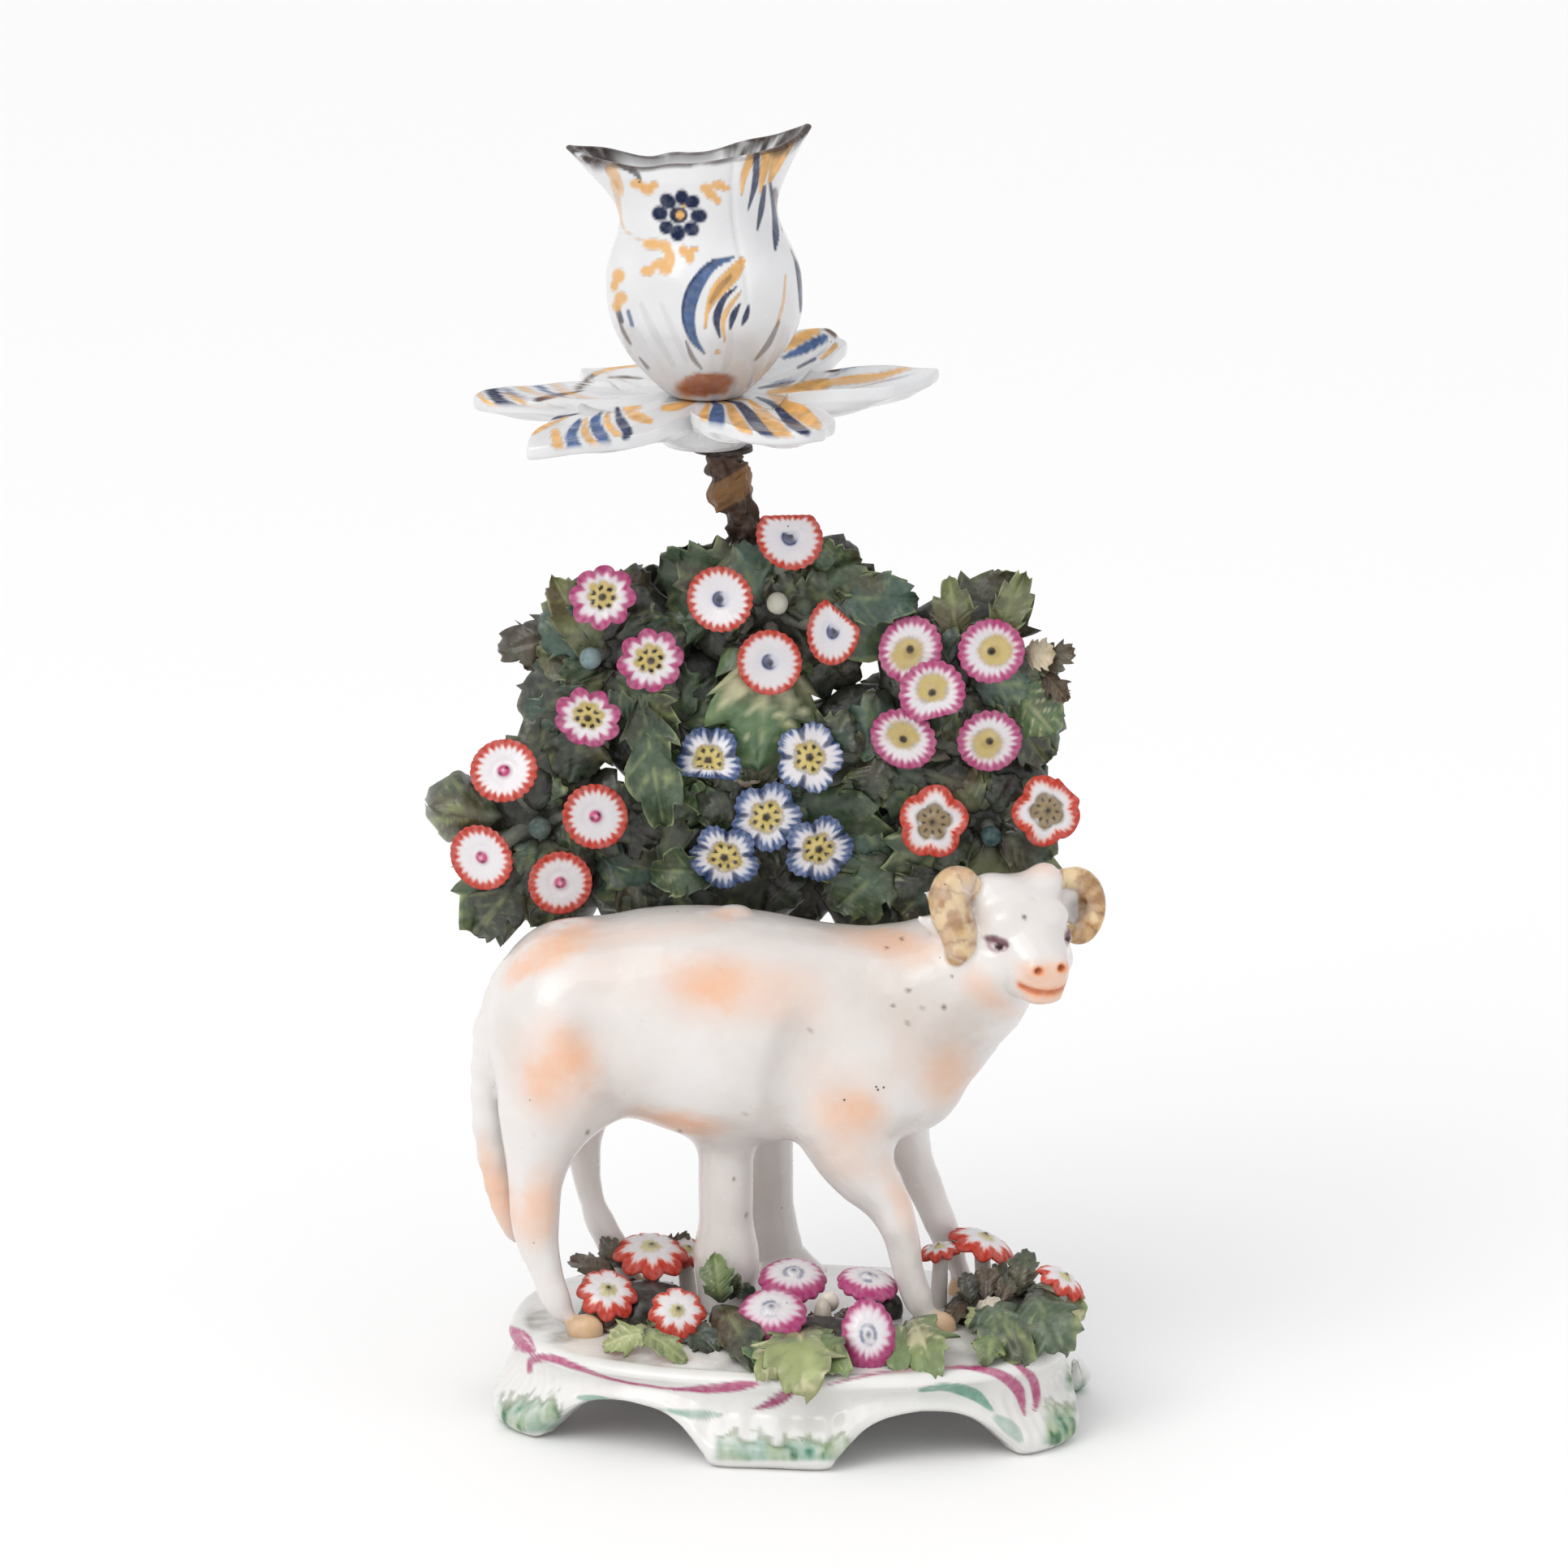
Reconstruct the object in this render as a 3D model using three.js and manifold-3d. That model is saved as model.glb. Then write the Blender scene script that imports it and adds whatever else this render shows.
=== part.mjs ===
// Bocage candlestick in porcelain: a ram on a footed rococo base in front of flowering leaves, with a
// knotted stem, a six-lobed drip pan and a tulip-shaped candle nozzle above.
// Millimetres, +Z up, the front towards -Y.
// The origin is the middle of the whole outline, on the floor.

import * as THREE from 'three';
import { mergeVertices } from 'three/addons/utils/BufferGeometryUtils.js';
import Module from 'manifold-3d';

const wasm = await Module();
wasm.setup();

// Base
const RIM_WIDTH = 107;
const RIM_DEPTH = 72;
const BASE_MIDDLE_X = 1.7;
const BASE_HEIGHT = 17;
const BASE_DOME = 2.5;
const BASE_WALL = 5;
const ARCH_HEIGHT = 9;
const FOOT_FLARE = 4.5;
const RIM_COVE = 2;
const BASE_TURN = THREE.MathUtils.degToRad(-6.5);

// Ram, drawn on a grid of 80 steps from the hooves to the withers
const RAM_HEIGHT = 80;
const RAM_GRID = 80;
const RAM_SETBACK = 2;

// Supports
const PILLAR_WIDTH = 12.8;
const PILLAR_DEPTH = 13;
const TRUNK_DIAMETER = 11;
const TRUNK_CLEARANCE = 2;

// Foliage, drawn on a grid 124 wide and 78 high
const BOCAGE_WIDTH = 124;
const BOCAGE_HEIGHT = 78;
const BOCAGE_GRID = [124, 78];
const FLOWER_DIAMETER = 13.4;
const FLOWER_REACH = 11;
const FLOWER_STEM = 3;
const FLOWER_CUP = 1.2;
const FLOWER_DEPTH = 3.2;
const BUD_DIAMETER = 5;
const LEAF_WIDTH = 22;
const LEAF_THICKNESS = 2.4;
const BRANCH_DIAMETER = 6.5;
const CLUMP_DIAMETER = 32;
const CLUMP_DEPTH = 9;

// Stem, pan and nozzle
const JOINT_GAP = 0.3;
const STEM_LENGTH = 21.2;
const STEM_DIAMETER = 8;
const STEM_COLLAR_DIAMETER = 10.4;
const STEM_FLANGE_DIAMETER = 12.8;
const STEM_FLANGE_THICKNESS = 0.9;
const STEM_LEAN_X = -3.2;
const STEM_LEAN_Y = -8;
const PAN_OFFSET_X = -2.8;
const PAN_REACH = 44.6;
const PAN_NOTCH_REACH = 21;
const PAN_EDGE_THICKNESS = 2.6;
const PAN_BOSS_DIAMETER = 15;
const PAN_HUB_THICKNESS = 9.3;
const NOZZLE_FOOT_DIAMETER = 14;
const NOZZLE_BELLY_DIAMETER = 36.4;
const NOZZLE_NECK_DIAMETER = 29;
const NOZZLE_HEIGHT = 42;
const NOZZLE_WALL = 3.2;
const NOZZLE_FLOOR = 6;
const NOZZLE_LEAN_X = -2.2;

const vec = (x, y, z) => new THREE.Vector3(x, y, z);
const turnsOf = (sides) => Array.from({ length: sides }, (_, i) => (i / sides) * Math.PI * 2);

// Solids

function solid(points, faces) {
  let volume = 0;
  for (let i = 0; i < faces.length; i += 3) {
    const [a, b, c] = [points[faces[i]], points[faces[i + 1]], points[faces[i + 2]]];
    volume += a.dot(b.clone().cross(c));
  }
  const vertProperties = new Float32Array(points.flatMap((point) => point.toArray()));
  const triVerts = new Uint32Array(volume < 0 ? faces.toReversed() : faces);
  return new wasm.Manifold(new wasm.Mesh({ numProp: 3, vertProperties, triVerts }));
}

function middle(ring) {
  return ring.reduce((sum, point) => sum.add(point), vec(0, 0, 0)).divideScalar(ring.length);
}

// A skin through rings of equal count, closed at both ends by fans to a tip
function loft(rings, startTip = middle(rings[0]), endTip = middle(rings.at(-1))) {
  const sides = rings[0].length;
  const points = [...rings.flat(), startTip, endTip];
  const start = points.length - 2;
  const end = points.length - 1;
  const lastRow = (rings.length - 1) * sides;
  const faces = [];
  for (let side = 0; side < sides; side += 1) {
    const next = (side + 1) % sides;
    for (let row = 0; row < lastRow; row += sides) {
      faces.push(row + side, row + next, row + sides + next);
      faces.push(row + side, row + sides + next, row + sides + side);
    }
    faces.push(start, next, side);
    faces.push(end, lastRow + side, lastRow + next);
  }
  return solid(points, faces);
}

function fromGeometry(geometry) {
  const bare = geometry.clone();
  bare.deleteAttribute('normal');
  bare.deleteAttribute('uv');
  const merged = mergeVertices(bare);
  const position = merged.getAttribute('position');
  const points = Array.from({ length: position.count }, (_, i) => vec().fromBufferAttribute(position, i));
  return solid(points, Array.from(merged.index.array));
}

function blob(centre, diameter, depth = diameter) {
  const ball = new THREE.IcosahedronGeometry(diameter / 2, 0);
  ball.scale(1, depth / diameter, 1);
  return fromGeometry(ball.translate(centre.x, centre.y, centre.z));
}

function join(solids) {
  return solids.reduce((whole, next) => whole.add(next));
}

// Sealed pockets between overlapping leaves are filled with porcelain
function fillPockets(shape) {
  return join(shape.decompose().filter((shell) => shell.volume() > 0));
}

// A ring about a centre, square to an axis, with its first point on the reference side
function ring(centre, axis, reference, sides, radiusA, radiusB = radiusA, reachAt = () => 1) {
  const across = reference.clone().addScaledVector(axis, -reference.dot(axis)).normalize();
  const upright = axis.clone().cross(across);
  return turnsOf(sides).map((turn, i) => centre.clone()
    .addScaledVector(across, Math.cos(turn) * radiusA * reachAt(i))
    .addScaledVector(upright, Math.sin(turn) * radiusB * reachAt(i)));
}

// A limb through stations of place, half width and half height, rounded at both ends
function limb(stations, sides, reference = vec(0, 1, 0), roundness = 0.5) {
  const tangentAt = (i) => {
    const before = stations[Math.max(i - 1, 0)].at;
    const after = stations[Math.min(i + 1, stations.length - 1)].at;
    return after.clone().sub(before).normalize();
  };
  const rings = stations.map(({ at, a, b = a }, i) => ring(at, tangentAt(i), reference, sides, a, b));
  const first = stations[0];
  const last = stations.at(-1);
  const startTip = first.at.clone().addScaledVector(tangentAt(0), -first.a * roundness);
  const endTip = last.at.clone().addScaledVector(tangentAt(stations.length - 1), last.a * roundness);
  return loft(rings, startTip, endTip);
}

function mesh(name, shape, colour, roughness) {
  const { vertProperties, triVerts } = shape.getMesh();
  const geometry = new THREE.BufferGeometry();
  geometry.setAttribute('position', new THREE.BufferAttribute(vertProperties, 3));
  geometry.setIndex(new THREE.BufferAttribute(triVerts, 1));
  geometry.computeVertexNormals();
  const glaze = new THREE.MeshStandardMaterial({ color: colour, roughness, metalness: 0 });
  const made = new THREE.Mesh(geometry, glaze);
  made.name = name;
  return made;
}

// Base: a domed cartouche on six scroll feet, arched between them and hollow below

const BASE_SEGMENTS = 48;
const BASE_FEET = 6;
const CORNER_POWER = 0.82;
const ARCH_CROWN = -0.9;
const FOOT_FLAT = 0.4;
const BASE_WALL_PROFILE = [[0, 0, 0], [0.35, 1, 0.1], [0.75, 0.5, 1], [1, 0.2, 0.75]];

const corner = (value) => Math.sign(value) * Math.abs(value) ** CORNER_POWER;

// 1 over a foot and 0 at the crown of an arch, by the direction seen from the middle
function footShare(turn) {
  const direction = Math.atan2(corner(Math.sin(turn)), corner(Math.cos(turn)));
  const wave = Math.cos(BASE_FEET * (direction + Math.PI / 2));
  return THREE.MathUtils.smoothstep(wave, ARCH_CROWN, FOOT_FLAT);
}

function basePoint(turn, offset, z, share = 1) {
  const x = (RIM_WIDTH / 2) * corner(Math.cos(turn));
  const y = (RIM_DEPTH / 2) * corner(Math.sin(turn));
  const outward = vec(x / RIM_WIDTH ** 2, y / RIM_DEPTH ** 2, 0).normalize();
  return vec(x * share, y * share, z).addScaledVector(outward, offset);
}

function makeBase() {
  const turns = turnsOf(BASE_SEGMENTS).map((turn) => turn - Math.PI / 2);
  const lowest = (turn) => ARCH_HEIGHT * (1 - footShare(turn));
  const wallRing = ([share, cove, flare]) => turns.map((turn) => {
    const z = BASE_HEIGHT + (lowest(turn) - BASE_HEIGHT) * share;
    return basePoint(turn, FOOT_FLARE * flare * footShare(turn) - RIM_COVE * cove, z);
  });
  const [, coveAtFoot, flareAtFoot] = BASE_WALL_PROFILE.at(-1);
  const innerFoot = turns.map((turn) => {
    const outside = FOOT_FLARE * flareAtFoot * footShare(turn) - RIM_COVE * coveAtFoot;
    return basePoint(turn, outside - BASE_WALL, lowest(turn));
  });
  const roof = BASE_HEIGHT - BASE_WALL;
  const innerRoof = turns.map((turn) => basePoint(turn, -BASE_WALL - RIM_COVE, roof));
  const dome = turns.map((turn) => basePoint(turn, 0, BASE_HEIGHT + BASE_DOME * 0.7, 0.6));
  const rings = [dome, ...BASE_WALL_PROFILE.map(wallRing), innerFoot, innerRoof];
  const base = loft(rings, vec(0, 0, BASE_HEIGHT + BASE_DOME), vec(0, 0, roof));
  return base.rotate([0, 0, THREE.MathUtils.radToDeg(BASE_TURN)]).translate([BASE_MIDDLE_X, 0, 0]);
}

// Ram

const RAM_STEP = RAM_HEIGHT / RAM_GRID;
const BODY_HALF_WIDTH = 18;
const ramAt = (x, y, z) => vec(x * RAM_STEP, RAM_SETBACK + y * RAM_STEP, BASE_HEIGHT + z * RAM_STEP);

// Stations on the ram's grid: x, y, z, half width and half height
const ramLimb = (stations, sides, reference, roundness) => limb(
  stations.map(([x, y, z, a, b = a]) => ({ at: ramAt(x, y, z), a: a * RAM_STEP, b: b * RAM_STEP })),
  sides, reference, roundness,
);

function makeBody() {
  const trunk = ramLimb([
    [-50, 0, 55, 10, 14], [-43, 0, 55.5, 15, 19], [-30, 0, 57, 17.5, 21], [-15, 0, 58, BODY_HALF_WIDTH, 21.5],
    [0, 0, 57.5, 17.5, 21.5], [12, 0, 56.5, 16.5, 21.5], [22, 0, 53.5, 15, 20], [29.5, 0, 51, 12, 15.5],
    [33.5, 0, 50, 8.5, 11],
  ], 12, vec(0, 1, 0), 0.35);
  const neck = ramLimb([[20, 0, 56, 12.5, 15.5], [31.5, -1.5, 63.5, 11.5, 12.5], [41, -5, 74, 9, 9]], 10);
  const tail = ramLimb([
    [-50.5, 0, 65, 3], [-54.8, 0, 57.5, 3.3], [-56.1, 0, 46, 3.4], [-55.5, 0, 33, 3.3],
    [-53.6, 0, 23.5, 2.5], [-50.2, 0, 15.6, 1.1],
  ], 6);
  return [trunk, neck, tail];
}

function makeLegs() {
  const nearHind = ramLimb([
    [-41, -7, 48, 9, 11], [-45.4, -9.5, 38, 5.5, 6.6], [-46.4, -10.5, 29.8, 4.6, 4.3],
    [-44.6, -11, 17.4, 4.1, 3.8], [-40.4, -11, 7, 3.5], [-38.4, -11.5, 3.4, 3.9, 4.2],
    [-36.6, -11.8, -1, 4.2, 4.8],
  ], 8, vec(0, 1, 0), 0);
  const nearFore = ramLimb([
    [10, -8, 45, 8.5, 11], [14.4, -9.5, 36, 6, 7.4], [20, -10.5, 27.5, 4.9], [23, -11, 20, 4.2],
    [24.8, -11, 12.4, 3.6], [26.8, -11.3, 4.4, 3.6, 4], [28.4, -11.6, -1, 4, 4.6],
  ], 8, vec(0, 1, 0), 0);
  const farFore = ramLimb([
    [21, 8, 40, 7, 8], [26, 10, 26, 3.6], [31, 10.5, 15, 2.7], [33.6, 10.5, 4, 2.8], [34.6, 10.4, -1, 3.4],
  ], 6, vec(0, 1, 0), 0);
  const farHind = ramLimb([
    [-38, 8, 42, 7, 9], [-38.4, 10, 28, 4.2], [-37.8, 10.5, 20, 3.3], [-33.8, 10.5, 12, 2.7],
    [-29, 10.4, 4, 2.8], [-26.8, 10.2, -1, 3.4],
  ], 6, vec(0, 1, 0), 0);
  return [nearHind, nearFore, farFore, farHind];
}

// The head looks right of the front; its places are given as sideways, forward and up from its middle
const HEAD_MIDDLE = [43.3, -5, 78];
const HEAD_TURN = THREE.MathUtils.degToRad(23);
const HEAD_SIDE = vec(Math.cos(HEAD_TURN), Math.sin(HEAD_TURN), 0);
const HEAD_FRONT = vec(Math.sin(HEAD_TURN), -Math.cos(HEAD_TURN), 0);

function headStation(sideways, forward, up, a, b = a) {
  const at = ramAt(...HEAD_MIDDLE)
    .addScaledVector(HEAD_SIDE, sideways * RAM_STEP)
    .addScaledVector(HEAD_FRONT, forward * RAM_STEP);
  at.z += up * RAM_STEP;
  return { at, a: a * RAM_STEP, b: b * RAM_STEP };
}

function makeHead() {
  const skull = limb([
    headStation(0, -7, 3.5, 6, 6), headStation(0, -2.5, 2.2, 9.4, 10), headStation(0, 2.5, -1.4, 10, 11),
    headStation(0, 7, -4.4, 8.4, 9), headStation(0, 10.6, -6.8, 6.2, 6.6), headStation(0, 13, -8, 5.2, 5.2),
  ], 10, HEAD_SIDE, 0.3);
  const poll = limb([headStation(0.5, -1, 5, 5.5), headStation(0.5, -1.5, 10, 3)], 6, HEAD_SIDE, 0.5);
  const sided = (side) => {
    const horn = limb([
      headStation(side * 6.5, -0.5, 8, 2.6), headStation(side * 10.5, -2, 10.4, 3.2),
      headStation(side * 14.8, -3, 7.6, 3.3), headStation(side * 16.4, -2, 2, 3.4),
      headStation(side * 14.8, 0.8, -3.4, 3.1), headStation(side * 11.8, 3.4, -5, 2),
    ], 6, vec(0, 0, 1), 0.5);
    const ear = limb([
      headStation(side * 8, -2.5, 1, 2.2, 1.4), headStation(side * 14.5, -3.5, 2.2, 3, 1.2),
      headStation(side * 19.6, -4, 3, 0.6, 0.5),
    ], 5, vec(0, 0, 1), 0.5);
    return [horn, ear];
  };
  return [skull, poll, ...sided(1), ...sided(-1)];
}

// Supports: a pillar under the belly and the trunk that carries the leaves

const PILLAR_X = -10.7;
const TRUNK_X = -3.5;
const TRUNK_Y = RAM_SETBACK + BODY_HALF_WIDTH * RAM_STEP + TRUNK_CLEARANCE + TRUNK_DIAMETER / 2;
const GROUND = BASE_HEIGHT - 1;

const BOCAGE_FOOT = BASE_HEIGHT + 68 * RAM_STEP;
const BOCAGE_FOOT_ON_GRID = 85;
const HUB_Y = TRUNK_Y - 6;

// A place on the foliage's grid, at a depth measured from the front of the trunk
function bocageAt(x, z, y = HUB_Y) {
  const across = BOCAGE_WIDTH / BOCAGE_GRID[0];
  const up = BOCAGE_HEIGHT / BOCAGE_GRID[1];
  return vec(TRUNK_X + (x - TRUNK_X) * across, y, BOCAGE_FOOT + (z - BOCAGE_FOOT_ON_GRID) * up);
}

const FORK_ON_GRID = 100;
const STEM_FOOT_ON_GRID = 160.3;
const STEM_FOOT = bocageAt(-8.5, STEM_FOOT_ON_GRID, TRUNK_Y - 2.5);
const TRUNK_FORK = bocageAt(-4.5, FORK_ON_GRID, TRUNK_Y);

function makeSupports() {
  const belly = BASE_HEIGHT + 45 * RAM_STEP;
  const pillarRing = (z, swell) => ring(
    vec(PILLAR_X, RAM_SETBACK - 0.5, z), vec(0, 0, 1), vec(1, 0, 0), 8,
    (PILLAR_WIDTH / 2) * swell, (PILLAR_DEPTH / 2) * swell,
  );
  const pillar = loft([pillarRing(GROUND, 1.12), pillarRing(GROUND + 6, 1), pillarRing(belly - 9, 1),
    pillarRing(belly, 1.25)]);
  const r = TRUNK_DIAMETER / 2;
  const top = STEM_FOOT.clone().sub(vec(0, 0, JOINT_GAP));
  const upright = [
    [vec(TRUNK_X + 1.5, TRUNK_Y, GROUND), r * 1.9], [vec(TRUNK_X + 0.5, TRUNK_Y, GROUND + 5), r * 1.25],
    [vec(TRUNK_X, TRUNK_Y, GROUND + 14), r], [TRUNK_FORK, r], [top, STEM_DIAMETER / 2],
  ];
  const trunk = loft(upright.map(([at, radius]) => ring(at, vec(0, 0, 1), vec(1, 0, 0), 8, radius)));
  return [pillar, trunk];
}

// Leaves, flowers and buds

const LEAF_HALF_OUTLINE = [[0, 0.2], [0.18, 0.88], [0.36, 0.74], [0.55, 1], [0.78, 0.56]];
const LEAF_BREADTH = 0.82;
const LEAF_ARCH = 0.1;
const LEAF_DROOP = 0.12;

function leaf(root, tip, facing, widest = LEAF_WIDTH) {
  const along = tip.clone().sub(root);
  const length = along.length();
  const width = Math.min(widest, length * LEAF_BREADTH);
  along.normalize();
  const across = along.clone().cross(facing).normalize();
  const out = across.clone().cross(along).normalize();
  const at = (share, side, below = 0) => root.clone()
    .addScaledVector(along, share * length)
    .addScaledVector(across, (side * width) / 2)
    .addScaledVector(out, LEAF_ARCH * length * Math.sin(Math.PI * share))
    .addScaledVector(out, -LEAF_DROOP * width * side ** 2 - below);
  const edge = [
    ...LEAF_HALF_OUTLINE.map(([share, side]) => at(share, side)),
    at(1, 0),
    ...LEAF_HALF_OUTLINE.toReversed().map(([share, side]) => at(share, -side)),
  ];
  return loft([edge], at(0.45, 0), at(0.45, 0, LEAF_THICKNESS));
}

const ROUND_PETALS = 8;
const FIVE_PETALS = 5;
const FIVE_PETAL_NOTCH = 0.76;
const STALK_SIDES = 3;

function stalk(from, to) {
  const along = to.clone().sub(from).normalize();
  return loft([from, to].map((at) => ring(at, along, vec(1, 0, 0), STALK_SIDES, FLOWER_STEM / 2)));
}

// A cupped head on a stalk from its foot
function flower(centre, facing, foot, { notch, diameter = FLOWER_DIAMETER }) {
  const axis = facing.clone().normalize();
  const reference = Math.abs(axis.z) > 0.9 ? vec(1, 0, 0) : vec(0, 0, 1);
  const radius = diameter / 2;
  const cup = centre.clone().addScaledVector(axis, -FLOWER_CUP);
  const back = centre.clone().addScaledVector(axis, -FLOWER_DEPTH);
  const sides = notch ? FIVE_PETALS * 2 : ROUND_PETALS;
  const petals = ring(centre, axis, reference, sides, radius, radius, (i) => (i % 2 && notch ? notch : 1));
  const neck = centre.clone().addScaledVector(axis, -(FLOWER_CUP + FLOWER_DEPTH) / 2);
  return [loft([petals], cup, back), stalk(foot, neck)];
}

// Sprigs on the foliage's grid: hub, flower places, bud places, and leaf tips around the hub in turn
const SPRIGS = [
  {
    hub: [-32, 142],
    flowers: [[-33.8, 154.3], [-24.7, 142], [-36.7, 130.8]],
    buds: [[-36, 142]],
    leaves: [[-43.5, 155], [-53.8, 141.5], [-48.4, 128], [-36, 117.5], [-19, 132], [-23, 156.5]],
  },
  {
    hub: [-2.5, 149],
    flowers: [[-12.1, 153.8], [1.1, 163.1], [-2.7, 141.5], [9.4, 147.6]],
    buds: [[-1.2, 152.5]],
    leaves: [[-23, 160], [-20, 142], [-4.7, 120.4, 9], [13, 133], [25, 151], [14, 160]],
  },
  {
    hub: [32, 137],
    flowers: [[23.4, 143.9], [27.5, 136.5], [38.7, 143.9], [22.1, 126.8], [38.5, 126.4]],
    buds: [],
    leaves: [[32, 155], [44, 156.5], [55.2, 138.4], [51.6, 121], [31, 116], [14, 124]],
  },
  {
    hub: [-46, 109],
    flowers: [[-52.5, 121.1], [-35.1, 112.1], [-56.9, 104], [-41.9, 99]],
    buds: [[-45.8, 109.4]],
    leaves: [[-45, 130], [-69, 111.5], [-58, 86.6], [-40, 84.6], [-25, 112]],
  },
  {
    hub: [-4, 113],
    notch: FIVE_PETAL_NOTCH,
    flowers: [[-14.3, 122.9], [4.9, 123.6], [-3.3, 111.9], [-11.3, 104], [6.7, 105.6]],
    buds: [],
    leaves: [[-27, 119], [-29, 99], [-12, 88], [7, 88], [20, 103], [14, 124]],
  },
  {
    hub: [38, 109],
    notch: FIVE_PETAL_NOTCH + 0.06,
    flowers: [[27.7, 111], [49.5, 113.3]],
    buds: [[38.9, 107.8]],
    leaves: [[19, 96], [37, 86], [51, 97], [55, 120]],
  },
];

// Deeper clumps of leaves that close the foliage between the sprigs
const CLUMPS = [[-22, 98], [20, 99], [-20, 128], [17, 120]];

const SPLAY = 0.03;
const UPTURN = 0.12;
const TOWARDS_FRONT = vec(0, -1, 0);
const LAYER_DEPTH = 4;

// Neighbouring leaves lie in turn before and behind their hub, so that they pass each other clear
function makeSprig({ hub, notch, flowers, buds, leaves }) {
  const [hubX, hubZ] = hub;
  const middleOfSprig = bocageAt(hubX, hubZ);
  const faceFrom = (x, z) => vec((x - hubX) * SPLAY, -1, (z - hubZ) * SPLAY + UPTURN);
  const blooms = flowers.flatMap(([x, z]) => (
    flower(bocageAt(x, z, HUB_Y - FLOWER_REACH), faceFrom(x, z), middleOfSprig, { notch })));
  const knobs = buds.flatMap(([x, z]) => {
    const place = bocageAt(x, z, HUB_Y - FLOWER_REACH * 0.7);
    return [blob(place, BUD_DIAMETER), stalk(middleOfSprig, place)];
  });
  const blades = leaves.map(([x, z, forward], i) => {
    const step = i % 2 ? -LAYER_DEPTH : LAYER_DEPTH;
    const root = middleOfSprig.clone().add(vec(0, -step / 2, 0));
    return leaf(root, bocageAt(x, z, HUB_Y - (forward ?? step)), TOWARDS_FRONT);
  });
  return [blob(middleOfSprig, CLUMP_DIAMETER, CLUMP_DEPTH), ...blooms, ...knobs, ...blades];
}

const BRANCH_RISE = 14;
const LAST_BRANCH_ON_GRID = 150;

// Each sprig's branch leaves the trunk a little below its hub
function makeBranch({ hub: [hubX, hubZ] }) {
  const below = THREE.MathUtils.clamp(hubZ - BRANCH_RISE, FORK_ON_GRID, LAST_BRANCH_ON_GRID);
  const share = (below - FORK_ON_GRID) / (STEM_FOOT_ON_GRID - FORK_ON_GRID);
  const from = TRUNK_FORK.clone().lerp(STEM_FOOT, share);
  const to = bocageAt(hubX, hubZ);
  const bend = from.clone().lerp(to, 0.5).add(vec(0, 1.5, 0));
  const r = BRANCH_DIAMETER / 2;
  return limb([{ at: from, a: r }, { at: bend, a: r * 0.9 }, { at: to, a: r * 0.75 }], 5, vec(0, 1, 0), 0);
}

function makeClump([x, z]) {
  return blob(bocageAt(x, z, HUB_Y + CLUMP_DEPTH / 4), CLUMP_DIAMETER, CLUMP_DEPTH);
}

// Flower beds on the base, about their own mounds: place as shares of the rim's half width and half depth
const BEDS = [
  {
    mound: [-0.5, -0.05, 16],
    flowers: [[2.5, 0, 12.5, 62, 15], [-7.5, -2, 7.5, 30, 12.5], [5.5, -6, 4, 30, 12.5], [8, 7, 12, 60, 11]],
    leaves: [[-3, -13, 1, 11], [-9, 13, 9, 13], [11, 0, 9, 11]],
  },
  {
    mound: [0.12, -0.46, 15],
    flowers: [[-3.5, 3.5, 11, 48, 13], [-8, -3, 5.5, 40, 13], [9.5, 3, 10, 52, 12], [9, -6, 2, 28, 12]],
    leaves: [[-12, -4, 4, 11], [-1, -17, -2, 16], [17, -8, 1, 12], [-11, 5, 10, 9]],
  },
  {
    mound: [0.78, -0.02, 17],
    flowers: [[-10.5, 3, 9, 72, 11], [-1.5, 6, 10, 78, 13], [12.5, 3, 4.5, 66, 11]],
    leaves: [[-9, -11, 1, 12], [4, -15, 0, 14], [14, -3, 3, 15], [3, 12, 7, 14]],
  },
];
const MOUND_HEIGHT = 5;
const HEAP_SIDES = 6;
const STALK_SPREAD = 0.75;
const LEAF_START = 0.2;

function makeBed({ mound: [shareX, shareY, width], flowers, leaves }) {
  const middleOfBed = vec((shareX * RIM_WIDTH) / 2, (shareY * RIM_DEPTH) / 2, BASE_HEIGHT + 1);
  const heap = loft(
    [ring(middleOfBed.clone().setZ(GROUND), vec(0, 0, 1), vec(1, 0, 0), HEAP_SIDES, width / 2)],
    vec(middleOfBed.x, middleOfBed.y, GROUND),
    vec(middleOfBed.x, middleOfBed.y, BASE_HEIGHT + MOUND_HEIGHT),
  );
  const root = middleOfBed.clone().add(vec(0, 0, 1));
  const blooms = flowers.flatMap(([x, y, z, lift, diameter]) => {
    const tilt = THREE.MathUtils.degToRad(lift);
    const facing = vec(0, -Math.cos(tilt), Math.sin(tilt));
    const foot = vec(root.x + x * STALK_SPREAD, root.y + y * STALK_SPREAD, GROUND);
    return flower(root.clone().add(vec(x, y, z)), facing, foot, { diameter });
  });
  const blades = leaves.map(([x, y, z, leafWidth]) => {
    const start = root.clone().add(vec(x * LEAF_START, y * LEAF_START, 0));
    return leaf(start, root.clone().add(vec(x, y, z)), vec(0, -0.5, 1), leafWidth);
  });
  return [heap, ...blooms, ...blades];
}

// Stem: knotted, with an oblique collar and a thin flange under the pan

const KNOT_SIDES = 8;
const COLLAR_SLANT = 0.35;

function stemRing(share, radius, slant = 0) {
  const at = STEM_FOOT.clone().add(vec(STEM_LEAN_X * share, STEM_LEAN_Y * share, STEM_LENGTH * share));
  const points = ring(at, vec(0, 0, 1), vec(1, 0, 0), KNOT_SIDES, radius);
  points.forEach((point) => { point.z += (point.x - at.x) * slant; });
  return points;
}

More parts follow.
